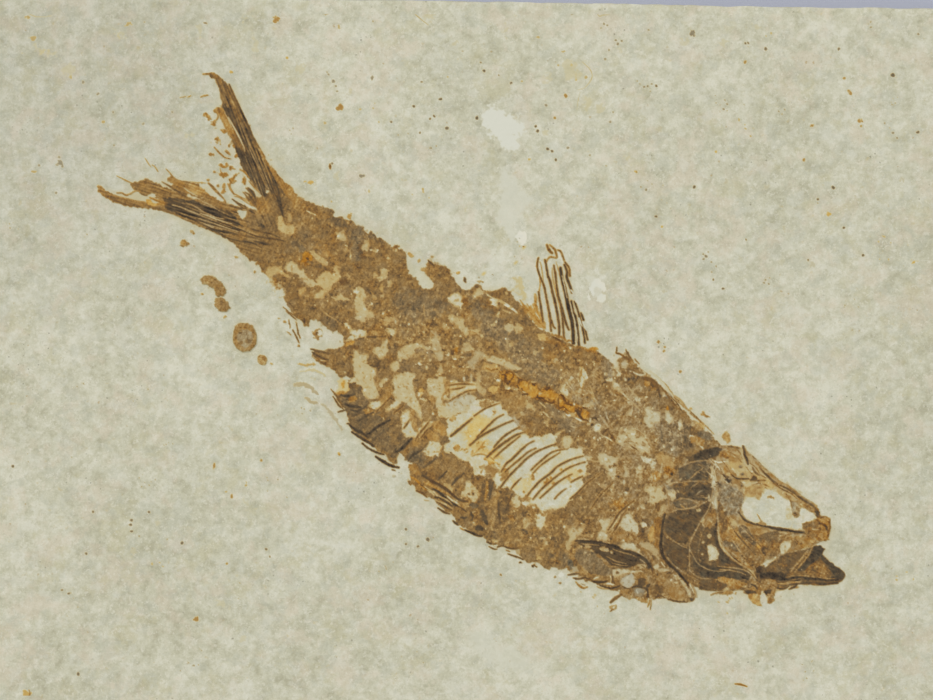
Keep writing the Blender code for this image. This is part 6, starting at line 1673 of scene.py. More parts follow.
PALE_MARKS = """
P -0.14 -0.3|592,283 596,279 601,279 603,283 606,285 607,291 604,293 600,288 597,286 594,290 591,292 589,289
P -0.14 -0.3|588,293 592,291 595,293 593,298 589,301 587,298
P -0.12 -0.3|597,296 601,294 606,296 607,301 602,303 597,301
P -0.16 -0.3|514,236 520,231 527,232 528,240 523,246 518,242
H -0.13 -0.9 0.85|484,110 492,104 500,108 508,113 516,117 524,122 528,128 523,133 518,138 520,146 516,152 508,150 500,144 492,138 484,128 481,118
H -0.1 -0.9 0.7|502,170 510,170 516,178 520,188 528,192 534,200 528,208 522,216 514,226 520,236 512,242 504,232 498,220 497,206 500,192 499,180
H -0.1 -0.9 0.6|583,270 592,272 598,282 604,292 602,300 592,298 586,288
H -0.1 -0.9 0.6|466,630 480,628 492,636 500,644 514,648 530,656 534,666 520,672 500,668 486,662 476,652 468,642
H -0.08 -0.9 0.5|526,20 534,18 536,26 528,28
H -0.08 -0.9 0.5|646,12 652,11 654,18 648,19
H -0.08 -0.9 0.5|550,96 562,98 566,110 556,112
H -0.06 -0.8 0.5|584,24 590,20 596,26 590,40 584,52 580,40
S -0.1 -0.6|560.5,574,2.5
"""


def paint_stone():
    """Specks, scrapes and hairlines of the bare stone."""
    draw(PALE_MARKS)
    draw(SPECKS)
    rng = np.random.RandomState(8)
    for _ in range(46):
        cu, cv, n = rng.uniform(8, 925), rng.uniform(16, 692), rng.randint(2, 8)
        kind = rng.rand()
        for _ in range(n):
            u, v = cu + rng.normal(0, 7), cv + rng.normal(0, 6)
            if not (3 < u < 930 and 12 < v < 697):
                continue
            if FACE_T[int((v - V0) * RES), int((u - U0) * RES)] > 0.09:
                continue
            r = rng.uniform(0.45, 0.85)
            if kind < 0.7:
                ink(spot(u, v, r, r * rng.uniform(0.7, 1.0), rng.uniform(0, 90), 0.6), rng.uniform(0.28, 0.48), -1)
            else:
                r *= 1.7
                ink(spot(u, v, r, r * rng.uniform(0.6, 1.0), rng.uniform(0, 90), 1.0), rng.uniform(0.24, 0.4), 0.25, None, 0.8)


paint_stone()
MARKS = (np.abs(T - FACE_T) > 0.012).astype(np.float32)
# ---- drawing ends


# ------------------------------------------------------------------ the frame
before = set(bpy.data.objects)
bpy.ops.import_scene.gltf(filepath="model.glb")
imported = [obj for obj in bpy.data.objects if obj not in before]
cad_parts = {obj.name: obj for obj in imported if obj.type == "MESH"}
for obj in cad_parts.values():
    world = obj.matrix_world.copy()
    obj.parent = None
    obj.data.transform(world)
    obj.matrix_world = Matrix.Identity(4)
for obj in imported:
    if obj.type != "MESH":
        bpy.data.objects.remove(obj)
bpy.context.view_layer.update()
LOW, HIGH = (Vector(c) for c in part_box("limestone_slab"))

MM = 0.001
UNIT = 0.155
PLAN_MID = (466.5, 350.0)
PLAN_TURN = radians(0.9)
PLAN_RISE = 4.3
SLAB_W, SLAB_H, SLAB_T = 163.0, 117.0, 11.0
CORNER = 5.0
RIM = 2 * (SLAB_W + SLAB_H - 4 * CORNER) + 2 * math.pi * CORNER


def place(u, v):
    """A plan point on the slab, in millimetres."""
    a, b = (u - PLAN_MID[0]) * UNIT, (PLAN_MID[1] - v) * UNIT
    c, s = math.cos(PLAN_TURN), math.sin(PLAN_TURN)
    return a * c - b * s, a * s + b * c + PLAN_RISE


def unplace(x, y):
    """The plan point under a point of the slab."""
    c, s = math.cos(PLAN_TURN), math.sin(PLAN_TURN)
    y = y - PLAN_RISE
    return (x * c + y * s) / UNIT + PLAN_MID[0], PLAN_MID[1] - (y * c - x * s) / UNIT


def sample(grid, u, v, outside=0.0):
    """The drawing's value at plan points."""
    fx, fy = (u - U0) * RES, (v - V0) * RES
    ok = (fx >= 0) & (fy >= 0) & (fx <= NU - 1.001) & (fy <= NV - 1.001)
    fx, fy = np.clip(fx, 0, NU - 1.001), np.clip(fy, 0, NV - 1.001)
    i, j = fx.astype(int), fy.astype(int)
    p, q = fx - i, fy - j
    value = (grid[j, i] * (1 - p) * (1 - q) + grid[j, i + 1] * p * (1 - q) + grid[j + 1, i] * (1 - p) * q + grid[j + 1, i + 1] * p * q)
    return np.where(ok, value, outside)


def new_mesh(name, verts, faces, attributes=None, sharp=40.0):
    """A mesh object from points in millimetres."""
    mesh = bpy.data.meshes.new(name)
    sizes = np.array([len(f) for f in faces], np.int32) if not isinstance(faces, np.ndarray) else np.full(len(faces), faces.shape[1], np.int32)
    flat = np.concatenate([np.asarray(f, np.int32).ravel() for f in faces]) if not isinstance(faces, np.ndarray) else faces.astype(np.int32).ravel()
    mesh.vertices.add(len(verts))
    mesh.vertices.foreach_set("co", (np.asarray(verts, np.float64) * MM).astype(np.float32).ravel())
    mesh.loops.add(len(flat))
    mesh.loops.foreach_set("vertex_index", flat)
    mesh.polygons.add(len(sizes))
    mesh.polygons.foreach_set("loop_start", np.concatenate([[0], np.cumsum(sizes)[:-1]]).astype(np.int32))
    mesh.polygons.foreach_set("loop_total", sizes)
    mesh.update(calc_edges=True)
    mesh.validate()
    mesh.shade_smooth()
    if sharp:
        mesh.set_sharp_from_angle(angle=radians(sharp))
    for key, values in (attributes or {}).items():
        a = mesh.attributes.new(key, "FLOAT", "POINT")
        a.data.foreach_set("value", np.asarray(values, np.float32))
    obj = bpy.data.objects.new(name, mesh)
    bpy.context.scene.collection.objects.link(obj)
    return obj


# ------------------------------------------------------------------ the stone
def rim_of(x, y):
    """Distance in from the rim and outward direction, for points of the slab."""
    w, h, r = SLAB_W / 2, SLAB_H / 2, CORNER
    ax, ay = np.abs(x), np.abs(y)
    cx, cy = ax - (w - r), ay - (h - r)
    corner = (cx > 0) & (cy > 0)
    rad = np.hypot(cx, cy)
    d = np.where(corner, r - rad, np.minimum(w - ax, h - ay))
    side = (w - ax) < (h - ay)
    nx = np.where(corner, cx / np.maximum(rad, 1e-9), np.where(side, 1.0, 0.0)) * np.sign(x)
    ny = np.where(corner, cy / np.maximum(rad, 1e-9), np.where(side, 0.0, 1.0)) * np.sign(y)
    return d, nx, ny


def break_in(x, y, z):
    """How far the broken side lies inside its frame."""
    bed = np.floor(z / 1.35 + 0.4 * perlin(x * 0.02, y * 0.02, 5))
    long_wave = 0.45 + 0.45 * perlin(x * 0.035, y * 0.035, 3)
    ledge = 0.34 * perlin(x * 0.06 + bed * 7.1, y * 0.06 + bed * 1.7, 4)
    short = 0.26 * perlin(x * 0.22 + bed, y * 0.22, 6) + 0.12 * perlin(x * 0.7, y * 0.7 + z * 0.8, 7) + 0.05 * perlin(x * 2.0, y * 2.0 + z * 3.0, 8)
    deep = np.clip(long_wave + ledge + short + 0.12, 0.04, 2.2)
    # the long upper edge, which was split off straighter
    top = smooth(0.35, 0.75, y / (SLAB_H / 2)) * smooth(1.0, 0.97, np.abs(x) / (SLAB_W / 2))
    straight = np.clip(0.20 + 0.12 * perlin(x * 0.05, y * 0.05, 13) + 0.10 * perlin(x * 0.25, z * 0.4, 14) + 0.06 * perlin(x * 0.9, z * 0.9, 15), 0.02, 0.9)
    return deep + (straight - deep) * top


# flake scars on the face's rim: plan position along the upper edge, half width and reach in plan units, depth in mm
UPPER_SCARS = [
    (10, 13, 12, 0.22), (35, 27, 13, 0.30), (82, 18, 14, 0.34), (128, 22, 6, 0.14), (180, 16, 5, 0.12), (240, 26, 6, 0.14), (330, 20, 11, 0.22), (365, 14, 4, 0.1),
    (430, 26, 4, 0.12), (528, 22, 7, 0.26), (560, 14, 3, 0.1), (597, 11, 8, 0.16), (638, 21, 6, 0.2), (680, 16, 4, 0.12), (716, 14, 9, 0.2), (730, 24, 20, 0.26),
    (753, 13, 11, 0.26), (765, 13, 18, 0.22), (815, 17, 18, 0.34), (833, 10, 5, 0.16), (851, 14, 12, 0.3), (872, 12, 5, 0.2), (892, 11, 9, 0.2), (915, 16, 4, 0.12),
]
OTHER_SCARS = [(math.fmod(0.381966 * k * 1.0, 1.0), 3.5 + 5.0 * ((k * 7) % 5) / 4, 1.0 + 2.2 * ((k * 3) % 7) / 6, 0.35 + 1.2 * ((k * 5) % 6) / 5) for k in range(30)]


def rim_scars(x, y, d, nx, ny):
    """How far the face drops in the scars round its rim."""
    drop = 0.10 * smooth(0.5, 0.0, d) + 0.25 * smooth(0.16, 0.0, d)
    u, v = unplace(x, y)
    on_top = smooth(0.3, 0.9, ny)
    for mid, half, reach, deep in UPPER_SCARS:
        e = np.clip(1 - ((u - mid) / half) ** 2, 0, 1)
        far = reach * UNIT * np.sqrt(e) * (1 + 0.12 * perlin(u / 5, v / 5, int(mid))) + 1e-6
        drop = np.maximum(drop, on_top * deep * np.sqrt(e) * np.clip(1 - (d - 0.1) / far, 0, 1) ** 0.85)
    # a cheap turn angle stands for the way round the rim
    turn = np.arctan2(y / SLAB_H, x / SLAB_W) / (2 * math.pi) + 0.5
    for mid, half, reach, deep in OTHER_SCARS:
        ds = (turn - mid + 0.5) % 1.0 - 0.5
        e = np.clip(1 - (ds * RIM / half) ** 2, 0, 1)
        far = reach * np.sqrt(e) * (1 + 0.18 * perlin(x * 0.9, y * 0.9, 17)) + 1e-6
        drop = np.maximum(drop, (1 - on_top) * deep * np.sqrt(e) * np.clip(1 - d / far, 0, 1) ** 1.2)
    return drop


def face_height(x, y):
    """The split face without its fossil, in millimetres."""
    return SLAB_T - 0.10 + 0.07 * fbm(x / 16, y / 16, 23, 2) + 0.018 * fbm(x / 3.2, y / 3.2, 24, 2)


HULL = """90,178 112,166 136,152 160,154 180,130 178,86 198,64 240,62 262,108 288,160 304,188 330,198 356,208 390,230 420,252 452,262 480,276 506,280
520,260 540,238 562,238 576,262 586,288 600,318 606,342 618,338 640,346 668,372 700,402 726,426 750,440 780,464 812,490 836,508 842,530 838,546 856,572
850,590 820,596 796,598 780,612 750,612 724,604 700,610 660,617 600,618 592,600 560,592 500,566 450,536 400,486 362,464 332,464 326,444 296,412 282,384
280,330 270,302 250,284 230,266 200,264 172,254 166,232 140,218 104,210 88,192"""
ISLANDS = {"nodule_long": "193,272 206,268 222,272 232,286 236,306 230,322 214,322 208,306 206,298 196,298 194,286",
           "nodule_round": "228,330 232,320 242,315 254,318 262,328 264,340 260,350 252,357 240,358 230,350 226,340",
           "nodule_small": "255,353 262,351 270,354 277,360 276,368 266,370 257,366 253,359"}


hull = np.zeros_like(T)
for text in [HULL, *ISLANDS.values()]:
    w, m = fill(text, 0, 0)
    hull[w] = np.maximum(hull[w], m)
inside_hull = wide_blur(hull, 6)


def spaced(length, fine, coarse, band):
    """Positions from -length/2 to length/2, close together near both ends."""
    out, at = [0.0], 0.0
    while at < length / 2:
        t = min(1.0, max(0.0, (at - band * 0.4) / band))
        at += fine + (coarse - fine) * t * t * (3 - 2 * t)
        out.append(at)
    half = np.array(out)
    half *= (length / 2) / half[-1]
    left = half - length / 2
    return np.concatenate([left, -left[-2::-1]])


def build_slab():
    w, h, r = SLAB_W / 2, SLAB_H / 2, CORNER
    gx, gy = spaced(SLAB_W, 0.26, 0.62, 8.0), spaced(SLAB_H, 0.26, 0.60, 8.0)
    nx_, ny_ = len(gx), len(gy)
    X, Y = np.meshgrid(gx, gy)
    # round the corners
    cx, cy = np.clip((np.abs(X) - (w - r)) / r, 0, 1), np.clip((np.abs(Y) - (h - r)) / r, 0, 1)
    X = np.where(cx > 0, np.sign(X) * ((w - r) + r * cx * np.sqrt(1 - cy * cy / 2)), X)
    Y = np.where(cy > 0, np.sign(Y) * ((h - r) + r * cy * np.sqrt(1 - cx * cx / 2)), Y)
    D, NX, NY = rim_of(X, Y)
    edge = np.zeros(X.shape, bool)
    edge[0, :] = edge[-1, :] = True
    edge[:, 0] = edge[:, -1] = True
    D = np.where(edge, 0.0, np.maximum(D, 0.0))
    inn = break_in(X, Y, np.full(X.shape, SLAB_T - 0.3)) * np.clip(1 - D / 7.0, 0, 1) ** 2
    PX, PY = X - NX * inn, Y - NY * inn
    drop = rim_scars(X, Y, D, NX, NY)
    u, v = unplace(PX, PY)
    under = smooth(0.90, 1.0, sample(inside_hull, u, v))
    Z = face_height(PX, PY) - drop - 0.32 * under
    tone, warm = sample(FACE_T, u, v), sample(FACE_W, u, v)
    tone = np.where(under > 0, 0.05, np.clip(tone, 0, 0.2))
    ring = [(0, i) for i in range(nx_)] + [(j, nx_ - 1) for j in range(1, ny_)] + [(ny_ - 1, i) for i in range(nx_ - 2, -1, -1)] + [(j, 0) for j in range(ny_ - 2, 0, -1)]
    rj, ri = np.array([a for a, _ in ring]), np.array([b for _, b in ring])
    verts = [np.stack([PX.ravel(), PY.ravel(), Z.ravel()], 1)]
    idx = np.arange(nx_ * ny_).reshape(ny_, nx_)
    top = np.stack([idx[:-1, :-1], idx[:-1, 1:], idx[1:, 1:], idx[1:, :-1]], -1).reshape(-1, 4)
    faces = [top]
    # the broken sides
    bx, by, bnx, bny, ztop = X[rj, ri], Y[rj, ri], NX[rj, ri], NY[rj, ri], Z[rj, ri]
    n, prev, count = len(ring), idx[rj, ri], nx_ * ny_
    levels = [0.98, 0.93, 0.87, 0.80, 0.79, 0.72, 0.65, 0.56, 0.55, 0.46, 0.37, 0.36, 0.27, 0.19, 0.18, 0.11, 0.05, 0.0]
    for k, f in enumerate(levels):
        z = ztop * f
        inside = break_in(bx, by, z)
        if f == 0.0:
            inside = inside + 0.45
        row = np.stack([bx - bnx * inside, by - bny * inside, z], 1)
        here = np.arange(count, count + n)
        faces.append(np.stack([prev, here, np.roll(here, -1), np.roll(prev, -1)], 1))
        verts.append(row)
        prev, count = here, count + n
    # the back: split along a bed, flat enough to lie on, with shallow hollows
    base = verts[-1][:, :2]
    rng = np.random.RandomState(5)
    qx, qy = np.meshgrid(np.arange(-w + 2.2, w - 2.2, 1.75), np.arange(-h + 2.2, h - 2.2, 1.75))
    qx, qy = qx + rng.uniform(-0.5, 0.5, qx.shape), qy + rng.uniform(-0.5, 0.5, qy.shape)
    d, _, _ = rim_of(qx, qy)
    keep = d > 3.4
    inner = np.stack([qx[keep], qy[keep]], 1)
    pts2 = [Vector(p) for p in np.concatenate([base, inner]).tolist()]
    loop = [(i, (i + 1) % n) for i in range(n)]
    out = geometry.delaunay_2d_cdt(pts2, loop, [], 1, 1e-5)
    co2, tri, orig = out[0], out[2], out[3]
    back_verts, remap = [], []
    for i, o in enumerate(orig):
        if o and o[0] < n:
            remap.append(int(prev[o[0]]))
        else:
            remap.append(count + len(back_verts))
            p = co2[i]
            hollow = 0.42 * float(smooth(-0.05, 0.55, fbm(np.float32(p.x / 13), np.float32(p.y / 13), 33, 3)))
            back_verts.append((p.x, p.y, hollow))
    if back_verts:
        verts.append(np.array(back_verts))
    back = []
    for f in tri:
        a = [remap[i] for i in f]
        if len(set(a)) == 3:
            back.append(a[::-1])
    verts = np.concatenate(verts)
    back = np.array(back, np.int32)
    # face the back downwards
    e1, e2 = verts[back[:, 1]] - verts[back[:, 0]], verts[back[:, 2]] - verts[back[:, 0]]
    up = (e1[:, 0] * e2[:, 1] - e1[:, 1] * e2[:, 0]) > 0
    back[up] = back[up][:, ::-1]
    quads = np.concatenate(faces)
    all_tone = np.zeros(len(verts))
    all_tone[:nx_ * ny_] = tone.ravel()
    all_warm = np.zeros(len(verts))
    all_warm[:nx_ * ny_] = warm.ravel()
    mesh_faces = [list(q) for q in quads.tolist()] + back.tolist()
    obj = new_mesh("stone_slab", verts, mesh_faces, {"tone": all_tone, "warm": all_warm}, 50.0)
    return obj


slab = build_slab()


# ----------------------------------------------------------------- the fossil
STEP = 0.82
LABELS = [("fish_flank", FLANK_EDGE), ("fish_skull", "722,446 743,445 771,474 815,505 831,518 831,541 803,551 776,561 756,569 728,560 716,545 712,500 713,470 700,455"),
          ("gill_cover", "700,455 713,470 712,500 716,545 728,560 756,569 752,585 720,591 700,591 676,570 664,560 661,545 663,520 668,500 664,487 678,466"),
          ("lower_jaw", "756,569 776,561 803,551 824,548 832,564 845,579 820,586 800,585 772,600 752,602 752,585"),
          ("pectoral_fin", "566,556 574,541 600,541 622,548 645,556 664,560 676,570 690,580 700,591 694,603 650,603 635,602 612,590 578,579"),
          ("dorsal_fin", "536,328 529,262 549,245 560,250 574,295 591,347 560,340"),
          ("tail_fin", "281,181 277,205 264,222 250,236 236,244 200,226 150,209 99,187 140,181 216,192 243,190 223,130 208,77 226,80 262,155")]


def build_patches():
    us, vs = np.arange(U0 + 2, U1 - 2, STEP), np.arange(V0 + 2, V1 - 2, STEP)
    GU, GV = np.meshgrid(us, vs)
    CU, CV = GU[:-1, :-1] + STEP / 2, GV[:-1, :-1] + STEP / 2
    inside = sample(hull, CU, CV) > 0.5
    # the nearest drawn part owns each cell
    score = []
    for name, text in LABELS:
        m = np.zeros_like(T)
        w, a = fill(text, 0, 0)
        m[w] = a
        small = m[::4, ::4]
        score.append(wide_blur(small, 3) + 0.02 * wide_blur(small, 14))
    owner = np.argmax(np.stack(score), 0)
    owner = owner[np.clip(((CV - V0) * RES / 4).round().astype(int), 0, owner.shape[0] - 1), np.clip(((CU - U0) * RES / 4).round().astype(int), 0, owner.shape[1] - 1)]
    island = np.zeros(CU.shape, int)
    for k, text in enumerate(ISLANDS.values()):
        m = np.zeros_like(T)
        w, a = fill(text, 0, 0)
        m[w] = a
        island[sample(m, CU, CV) > 0.5] = k + 1
    line = np.interp(CU, [250, 280, 456, 585, 668, 720], [252, 276, 370, 434, 474, 516])
    jobs = []
    for k, (name, _) in enumerate(LABELS):
        mask = inside & (island == 0) & (owner == k)
        if name == "fish_flank":
            jobs += [("flank_back", name, mask & (CV < line)), ("flank_belly", name, mask & (CV >= line))]
        else:
            jobs.append((name + "_bones" if "fin" not in name else name + "_rays", name, mask))
    for k, name in enumerate(ISLANDS):
        jobs.append((name + "_stone", name, inside & (island == k + 1)))
    room = (CU > 4) & (CU < 929) & (CV > 14) & (CV < 696)
    jobs.append(("stone_marks", "limestone_slab", room & ~inside & (sample(wide_blur(hull, 2), CU, CV) < 0.02) & (sample(wide_blur(MARKS, 1), CU, CV) > 0.04)))

    X, Y = place(GU, GV)
    base = face_height(X, Y)
    film = sample(T, GU, GV)
    warm = sample(W, GU, GV)
    relief = sample(R, GU, GV) * 0.1
    deep_in = smooth(0.62, 0.98, sample(inside_hull, GU, GV))
    film = np.where(sample(hull, GU, GV) > 0.02, film, np.clip(film, -0.25, 0.85))
    body = np.zeros_like(T)
    w, a = fill(FLANK_EDGE, 0, 0)
    body[w] = a
    swell = sample(wide_blur(body, 22), GU, GV)
    head = np.zeros_like(T)
    w, a = fill(LABELS[1][1], 0, 0)
    head[w] = a
    w, a = fill(LABELS[2][1], 0, 0)
    head[w] = np.maximum(head[w], a)
    swell = np.maximum(swell, sample(wide_blur(head, 12), GU, GV))
    Z = base + 0.012 + deep_in * (relief * 0.85 + 0.26 * smooth(0.3, 1.0, swell) + 0.012 * perlin(GU / 1.3, GV / 1.3, 95))
    out = []
    for piece, node, mask in jobs:
        # no two cells touch only at a corner
        for _ in range(6):
            a, b, c, d = mask[:-1, :-1], mask[:-1, 1:], mask[1:, :-1], mask[1:, 1:]
            bad = (a & d & ~b & ~c) | (b & c & ~a & ~d)
            if not bad.any():
                break
            jj, ii = np.nonzero(bad)
            for dj, di in ((0, 0), (0, 1), (1, 0), (1, 1)):
                mask[jj + dj, ii + di] = False
        if not mask.any():
            continue
        used = np.zeros(GU.shape, bool)
        used[:-1, :-1] |= mask; used[:-1, 1:] |= mask; used[1:, :-1] |= mask; used[1:, 1:] |= mask
        idx = np.full(GU.shape, -1)
        idx[used] = np.arange(used.sum())
        jj, ii = np.nonzero(mask)
        quads = np.stack([idx[jj, ii], idx[jj + 1, ii], idx[jj + 1, ii + 1], idx[jj, ii + 1]], 1)
        pad = np.pad(mask, 1)
        edges = []
        for cond, p, q in ((~pad[:-2, 1:-1], (0, 1), (0, 0)), (~pad[2:, 1:-1], (1, 0), (1, 1)), (~pad[1:-1, :-2], (0, 0), (1, 0)), (~pad[1:-1, 2:], (1, 1), (0, 1))):
            ej, ei = np.nonzero(mask & cond)
            edges.append(np.stack([idx[ej + p[0], ei + p[1]], idx[ej + q[0], ei + q[1]]], 1))
        edges = np.concatenate(edges)
        top = np.stack([X[used], Y[used], Z[used]], 1)
        rimv = np.unique(edges)
        low = np.full(len(top), -1)
        low[rimv] = len(top) + np.arange(len(rimv))
        foot = top[rimv].copy()
        foot[:, 2] = SLAB_T - 0.75
        verts = np.concatenate([top, foot])
        walls = np.stack([edges[:, 1], edges[:, 0], low[edges[:, 0]], low[edges[:, 1]]], 1)
        after = {int(a): int(b) for a, b in edges}
        loops, seen = [], set()
        for start in after:
            if start in seen:
                continue
            loop, at = [], start
            while at not in seen:
                seen.add(at)
                loop.append(at)
                at = after[at]
            loops.append(loop)
        faces = [list(q) for q in np.concatenate([quads, walls]).tolist()]
        for loop in loops:
            faces.append([int(low[i]) for i in loop[::-1]])
        t, wv = film[used], warm[used]
        attrs = {"tone": np.concatenate([t, t[rimv]]), "warm": np.concatenate([wv, wv[rimv]])}
        obj = new_mesh(piece, verts, faces, attrs, 60.0)
        out.append((obj, node))
        print(piece, len(quads), "cells", len(loops), "loops")
    return out


patches = build_patches()


# -------------------------------------------------------------------- finishes
def linear(c):
    return [(x / 255 / 12.92) if x / 255 <= 0.04045 else ((x / 255 + 0.055) / 1.055) ** 2.4 for x in c] + [1.0]


class Nodes:
    """A short way to write a node tree."""

    def __init__(self, tree):
        self.t = tree

    def new(self, kind, **values):
        n = self.t.nodes.new(kind)
        for k, v in values.items():
            setattr(n, k, v)
        return n

    def put(self, socket, value):
        if isinstance(value, bpy.types.NodeSocket):
            self.t.links.new(value, socket)
        elif value is not None:
            socket.default_value = value

    def math(self, op, a, b=None, c=None, clamp=False):
        n = self.new("ShaderNodeMath", operation=op, use_clamp=clamp)
        for i, v in enumerate((a, b, c)):
            self.put(n.inputs[i], v)
        return n.outputs[0]

    def noise(self, where, scale, detail=2.0, rough=0.5, shift=None):
        n = self.new("ShaderNodeTexNoise")
        if shift:
            m = self.new("ShaderNodeVectorMath", operation="ADD")
            self.put(m.inputs[0], where)
            m.inputs[1].default_value = shift
            where = m.outputs[0]
        self.put(n.inputs["Vector"], where)
        n.inputs["Scale"].default_value = scale
        n.inputs["Detail"].default_value = detail
        n.inputs["Roughness"].default_value = rough
        return n.outputs["Fac"]

    def step(self, value, lo, hi, to_lo=0.0, to_hi=1.0, smooth_=True):
        n = self.new("ShaderNodeMapRange", interpolation_type="SMOOTHSTEP" if smooth_ else "LINEAR", clamp=True)
        self.put(n.inputs["Value"], value)
        for name, v in (("From Min", lo), ("From Max", hi), ("To Min", to_lo), ("To Max", to_hi)):
            n.inputs[name].default_value = v
        return n.outputs["Result"]

    def mix(self, fac, a, b, blend="MIX"):
        n = self.new("ShaderNodeMix", data_type="RGBA", blend_type=blend, clamp_factor=True)
        self.put(n.inputs["Factor"], fac)
        self.put(n.inputs["A"], a)
        self.put(n.inputs["B"], b)
        return n.outputs["Result"]

    def ramp(self, fac, rows):
        n = self.new("ShaderNodeValToRGB")
        e = n.color_ramp.elements
        lo, hi = rows[0][0], rows[-1][0]
        while len(e) < len(rows):
            e.new(0.5)
        for el, (p, c) in zip(e, rows):
            el.position = (p - lo) / (hi - lo)
            el.color = linear(c)
        self.put(n.inputs["Fac"], fac)
        return n.outputs["Color"]


def stone_group():
    """The limestone's colour and grain, the same wherever the stone shows, with grey patches of painted shade and a
    painted shade in the corner behind the tail.
    """
    g = bpy.data.node_groups.new("limestone_grain", "ShaderNodeTree")
    g.interface.new_socket("Color", in_out="OUTPUT", socket_type="NodeSocketColor")
    g.interface.new_socket("Height", in_out="OUTPUT", socket_type="NodeSocketFloat")
    n = Nodes(g)
    at = n.new("ShaderNodeTexCoord").outputs["Object"]
    big = n.noise(at, 60, 2, 0.5)
    mott = n.noise(at, 430, 5, 0.7)
    mott2 = n.noise(at, 1050, 3, 0.6, (0.3, 0.1, 0.2))
    value = n.math("ADD", n.math("MULTIPLY", mott, 0.55), n.math("ADD", n.math("MULTIPLY", mott2, 0.25), n.math("MULTIPLY", big, 0.20)))
    col = n.ramp(value, [(0.0, (158, 154, 130)), (0.38, (174, 171, 146)), (0.46, (188, 186, 162)), (0.53, (198, 196, 174)), (0.60, (208, 206, 187)), (1.0, (218, 216, 200))])
    pink = n.step(n.noise(at, 210, 4, 0.62, (1.1, 0.4, 0)), 0.49, 0.64)
    col = n.mix(n.math("MULTIPLY", pink, 0.45), col, linear((206, 194, 172)))
    # grey-blue patches of painted shade, standing in for the shadows of the stone's small bumps
    shade_patch = n.step(n.noise(at, 300, 4, 0.66, (2.7, 1.9, 0)), 0.52, 0.62)
    col = n.mix(n.math("MULTIPLY", shade_patch, 0.42), col, linear((183, 184, 166)))
    light = n.step(n.noise(at, 400, 4, 0.66, (8.7, 5.9, 0)), 0.54, 0.62)
    col = n.mix(n.math("MULTIPLY", light, 0.38), col, linear((207, 206, 190)))
    olive = n.step(n.noise(at, 230, 4, 0.66, (4.2, 0.9, 0)), 0.54, 0.66)
    col = n.mix(n.math("MULTIPLY", olive, 0.42), col, linear((186, 180, 145)))
    stain = n.step(n.noise(at, 900, 2, 0.6, (6.2, 3.9, 0)), 0.67, 0.77)
    col = n.mix(n.math("MULTIPLY", stain, 0.4), col, linear((190, 174, 126)))
    # small flakes with crisp edges
    for scale, shift, low, much, colour in [(1250, (3.3, 1.2, 0), 0.585, 0.5, (213, 210, 192)), (1050, (5.1, 7.2, 0), 0.60, 0.4, (177, 174, 150)), (700, (2.2, 8.1, 0), 0.60, 0.3, (210, 203, 182))]:
        flake = n.step(n.noise(at, scale, 4, 0.7, shift), low, low + 0.035)
        col = n.mix(n.math("MULTIPLY", flake, much), col, linear(colour))
    # a broad painted shade in the corner behind the tail, dimming the stone where the key lamp lights it most
    far = n.new("ShaderNodeVectorMath", operation="DISTANCE")
    n.put(far.inputs[0], at)
    far.inputs[1].default_value = (-0.066, 0.046, 0.011)
    col = n.mix(n.step(far.outputs["Value"], 0.048, 0.010), col, [0.905, 0.905, 0.91, 1.0], "MULTIPLY")
    grain = n.noise(at, 3800, 2, 0.6, (0.7, 0.2, 0.4))
    col = n.mix(0.5, col, n.ramp(grain, [(0.0, (162, 162, 162)), (0.5, (188, 188, 188)), (1.0, (210, 210, 210))]), "OVERLAY")
    # faint old scratches
    for turn, shift, much in [(0.5, (0.2, 0, 0), 0.4), (2.2, (0.9, 0.3, 0), 0.3)]:
        spin = n.new("ShaderNodeMapping")
        n.put(spin.inputs["Vector"], at)
        spin.inputs["Location"].default_value = shift
        spin.inputs["Rotation"].default_value = (0, 0, turn)
        spin.inputs["Scale"].default_value = (1.0, 14.0, 1.0)
        line = n.step(n.noise(spin.outputs[0], 190, 2, 0.5), 0.72, 0.8)
        col = n.mix(n.math("MULTIPLY", line, much), col, linear((214, 212, 198)))
    # the finest specks, in loose clusters
    for scale, size, gate, many, colour, shift, much in [(1300, 0.15, 0.56, 0.86, (126, 122, 102), (0, 0, 0), 0.6), (900, 0.12, 0.54, 0.9, (170, 142, 84), (0.5, 0.7, 0), 0.5)]:
        bend = n.new("ShaderNodeTexNoise")
        n.put(bend.inputs["Vector"], at)
        bend.inputs["Scale"].default_value = scale * 3.0
        off = n.new("ShaderNodeVectorMath", operation="SCALE")
        n.put(off.inputs[0], bend.outputs["Color"])
        off.inputs["Scale"].default_value = 0.35 / scale
        m = n.new("ShaderNodeVectorMath", operation="ADD")
        n.put(m.inputs[0], at)
        n.put(m.inputs[1], off.outputs[0])
        v = n.new("ShaderNodeTexVoronoi", feature="F1", voronoi_dimensions="2D")
        n.put(v.inputs["Vector"], m.outputs[0])
        v.inputs["Scale"].default_value = scale
        sep = n.new("ShaderNodeSeparateColor")
        n.put(sep.inputs[0], v.outputs["Color"])
        chosen = n.step(sep.outputs[0], many, many + 0.02)
        sized = n.math("MULTIPLY", size, n.math("ADD", 0.4, sep.outputs[1]))
        dot = n.step(n.math("SUBTRACT", sized, v.outputs["Distance"]), -0.02, size * 0.4)
        near = n.step(n.noise(at, 110, 2, 0.6, shift), gate, gate + 0.1)
        col = n.mix(n.math("MULTIPLY", n.math("MULTIPLY", dot, chosen), n.math("MULTIPLY", near, much)), col, linear(colour))
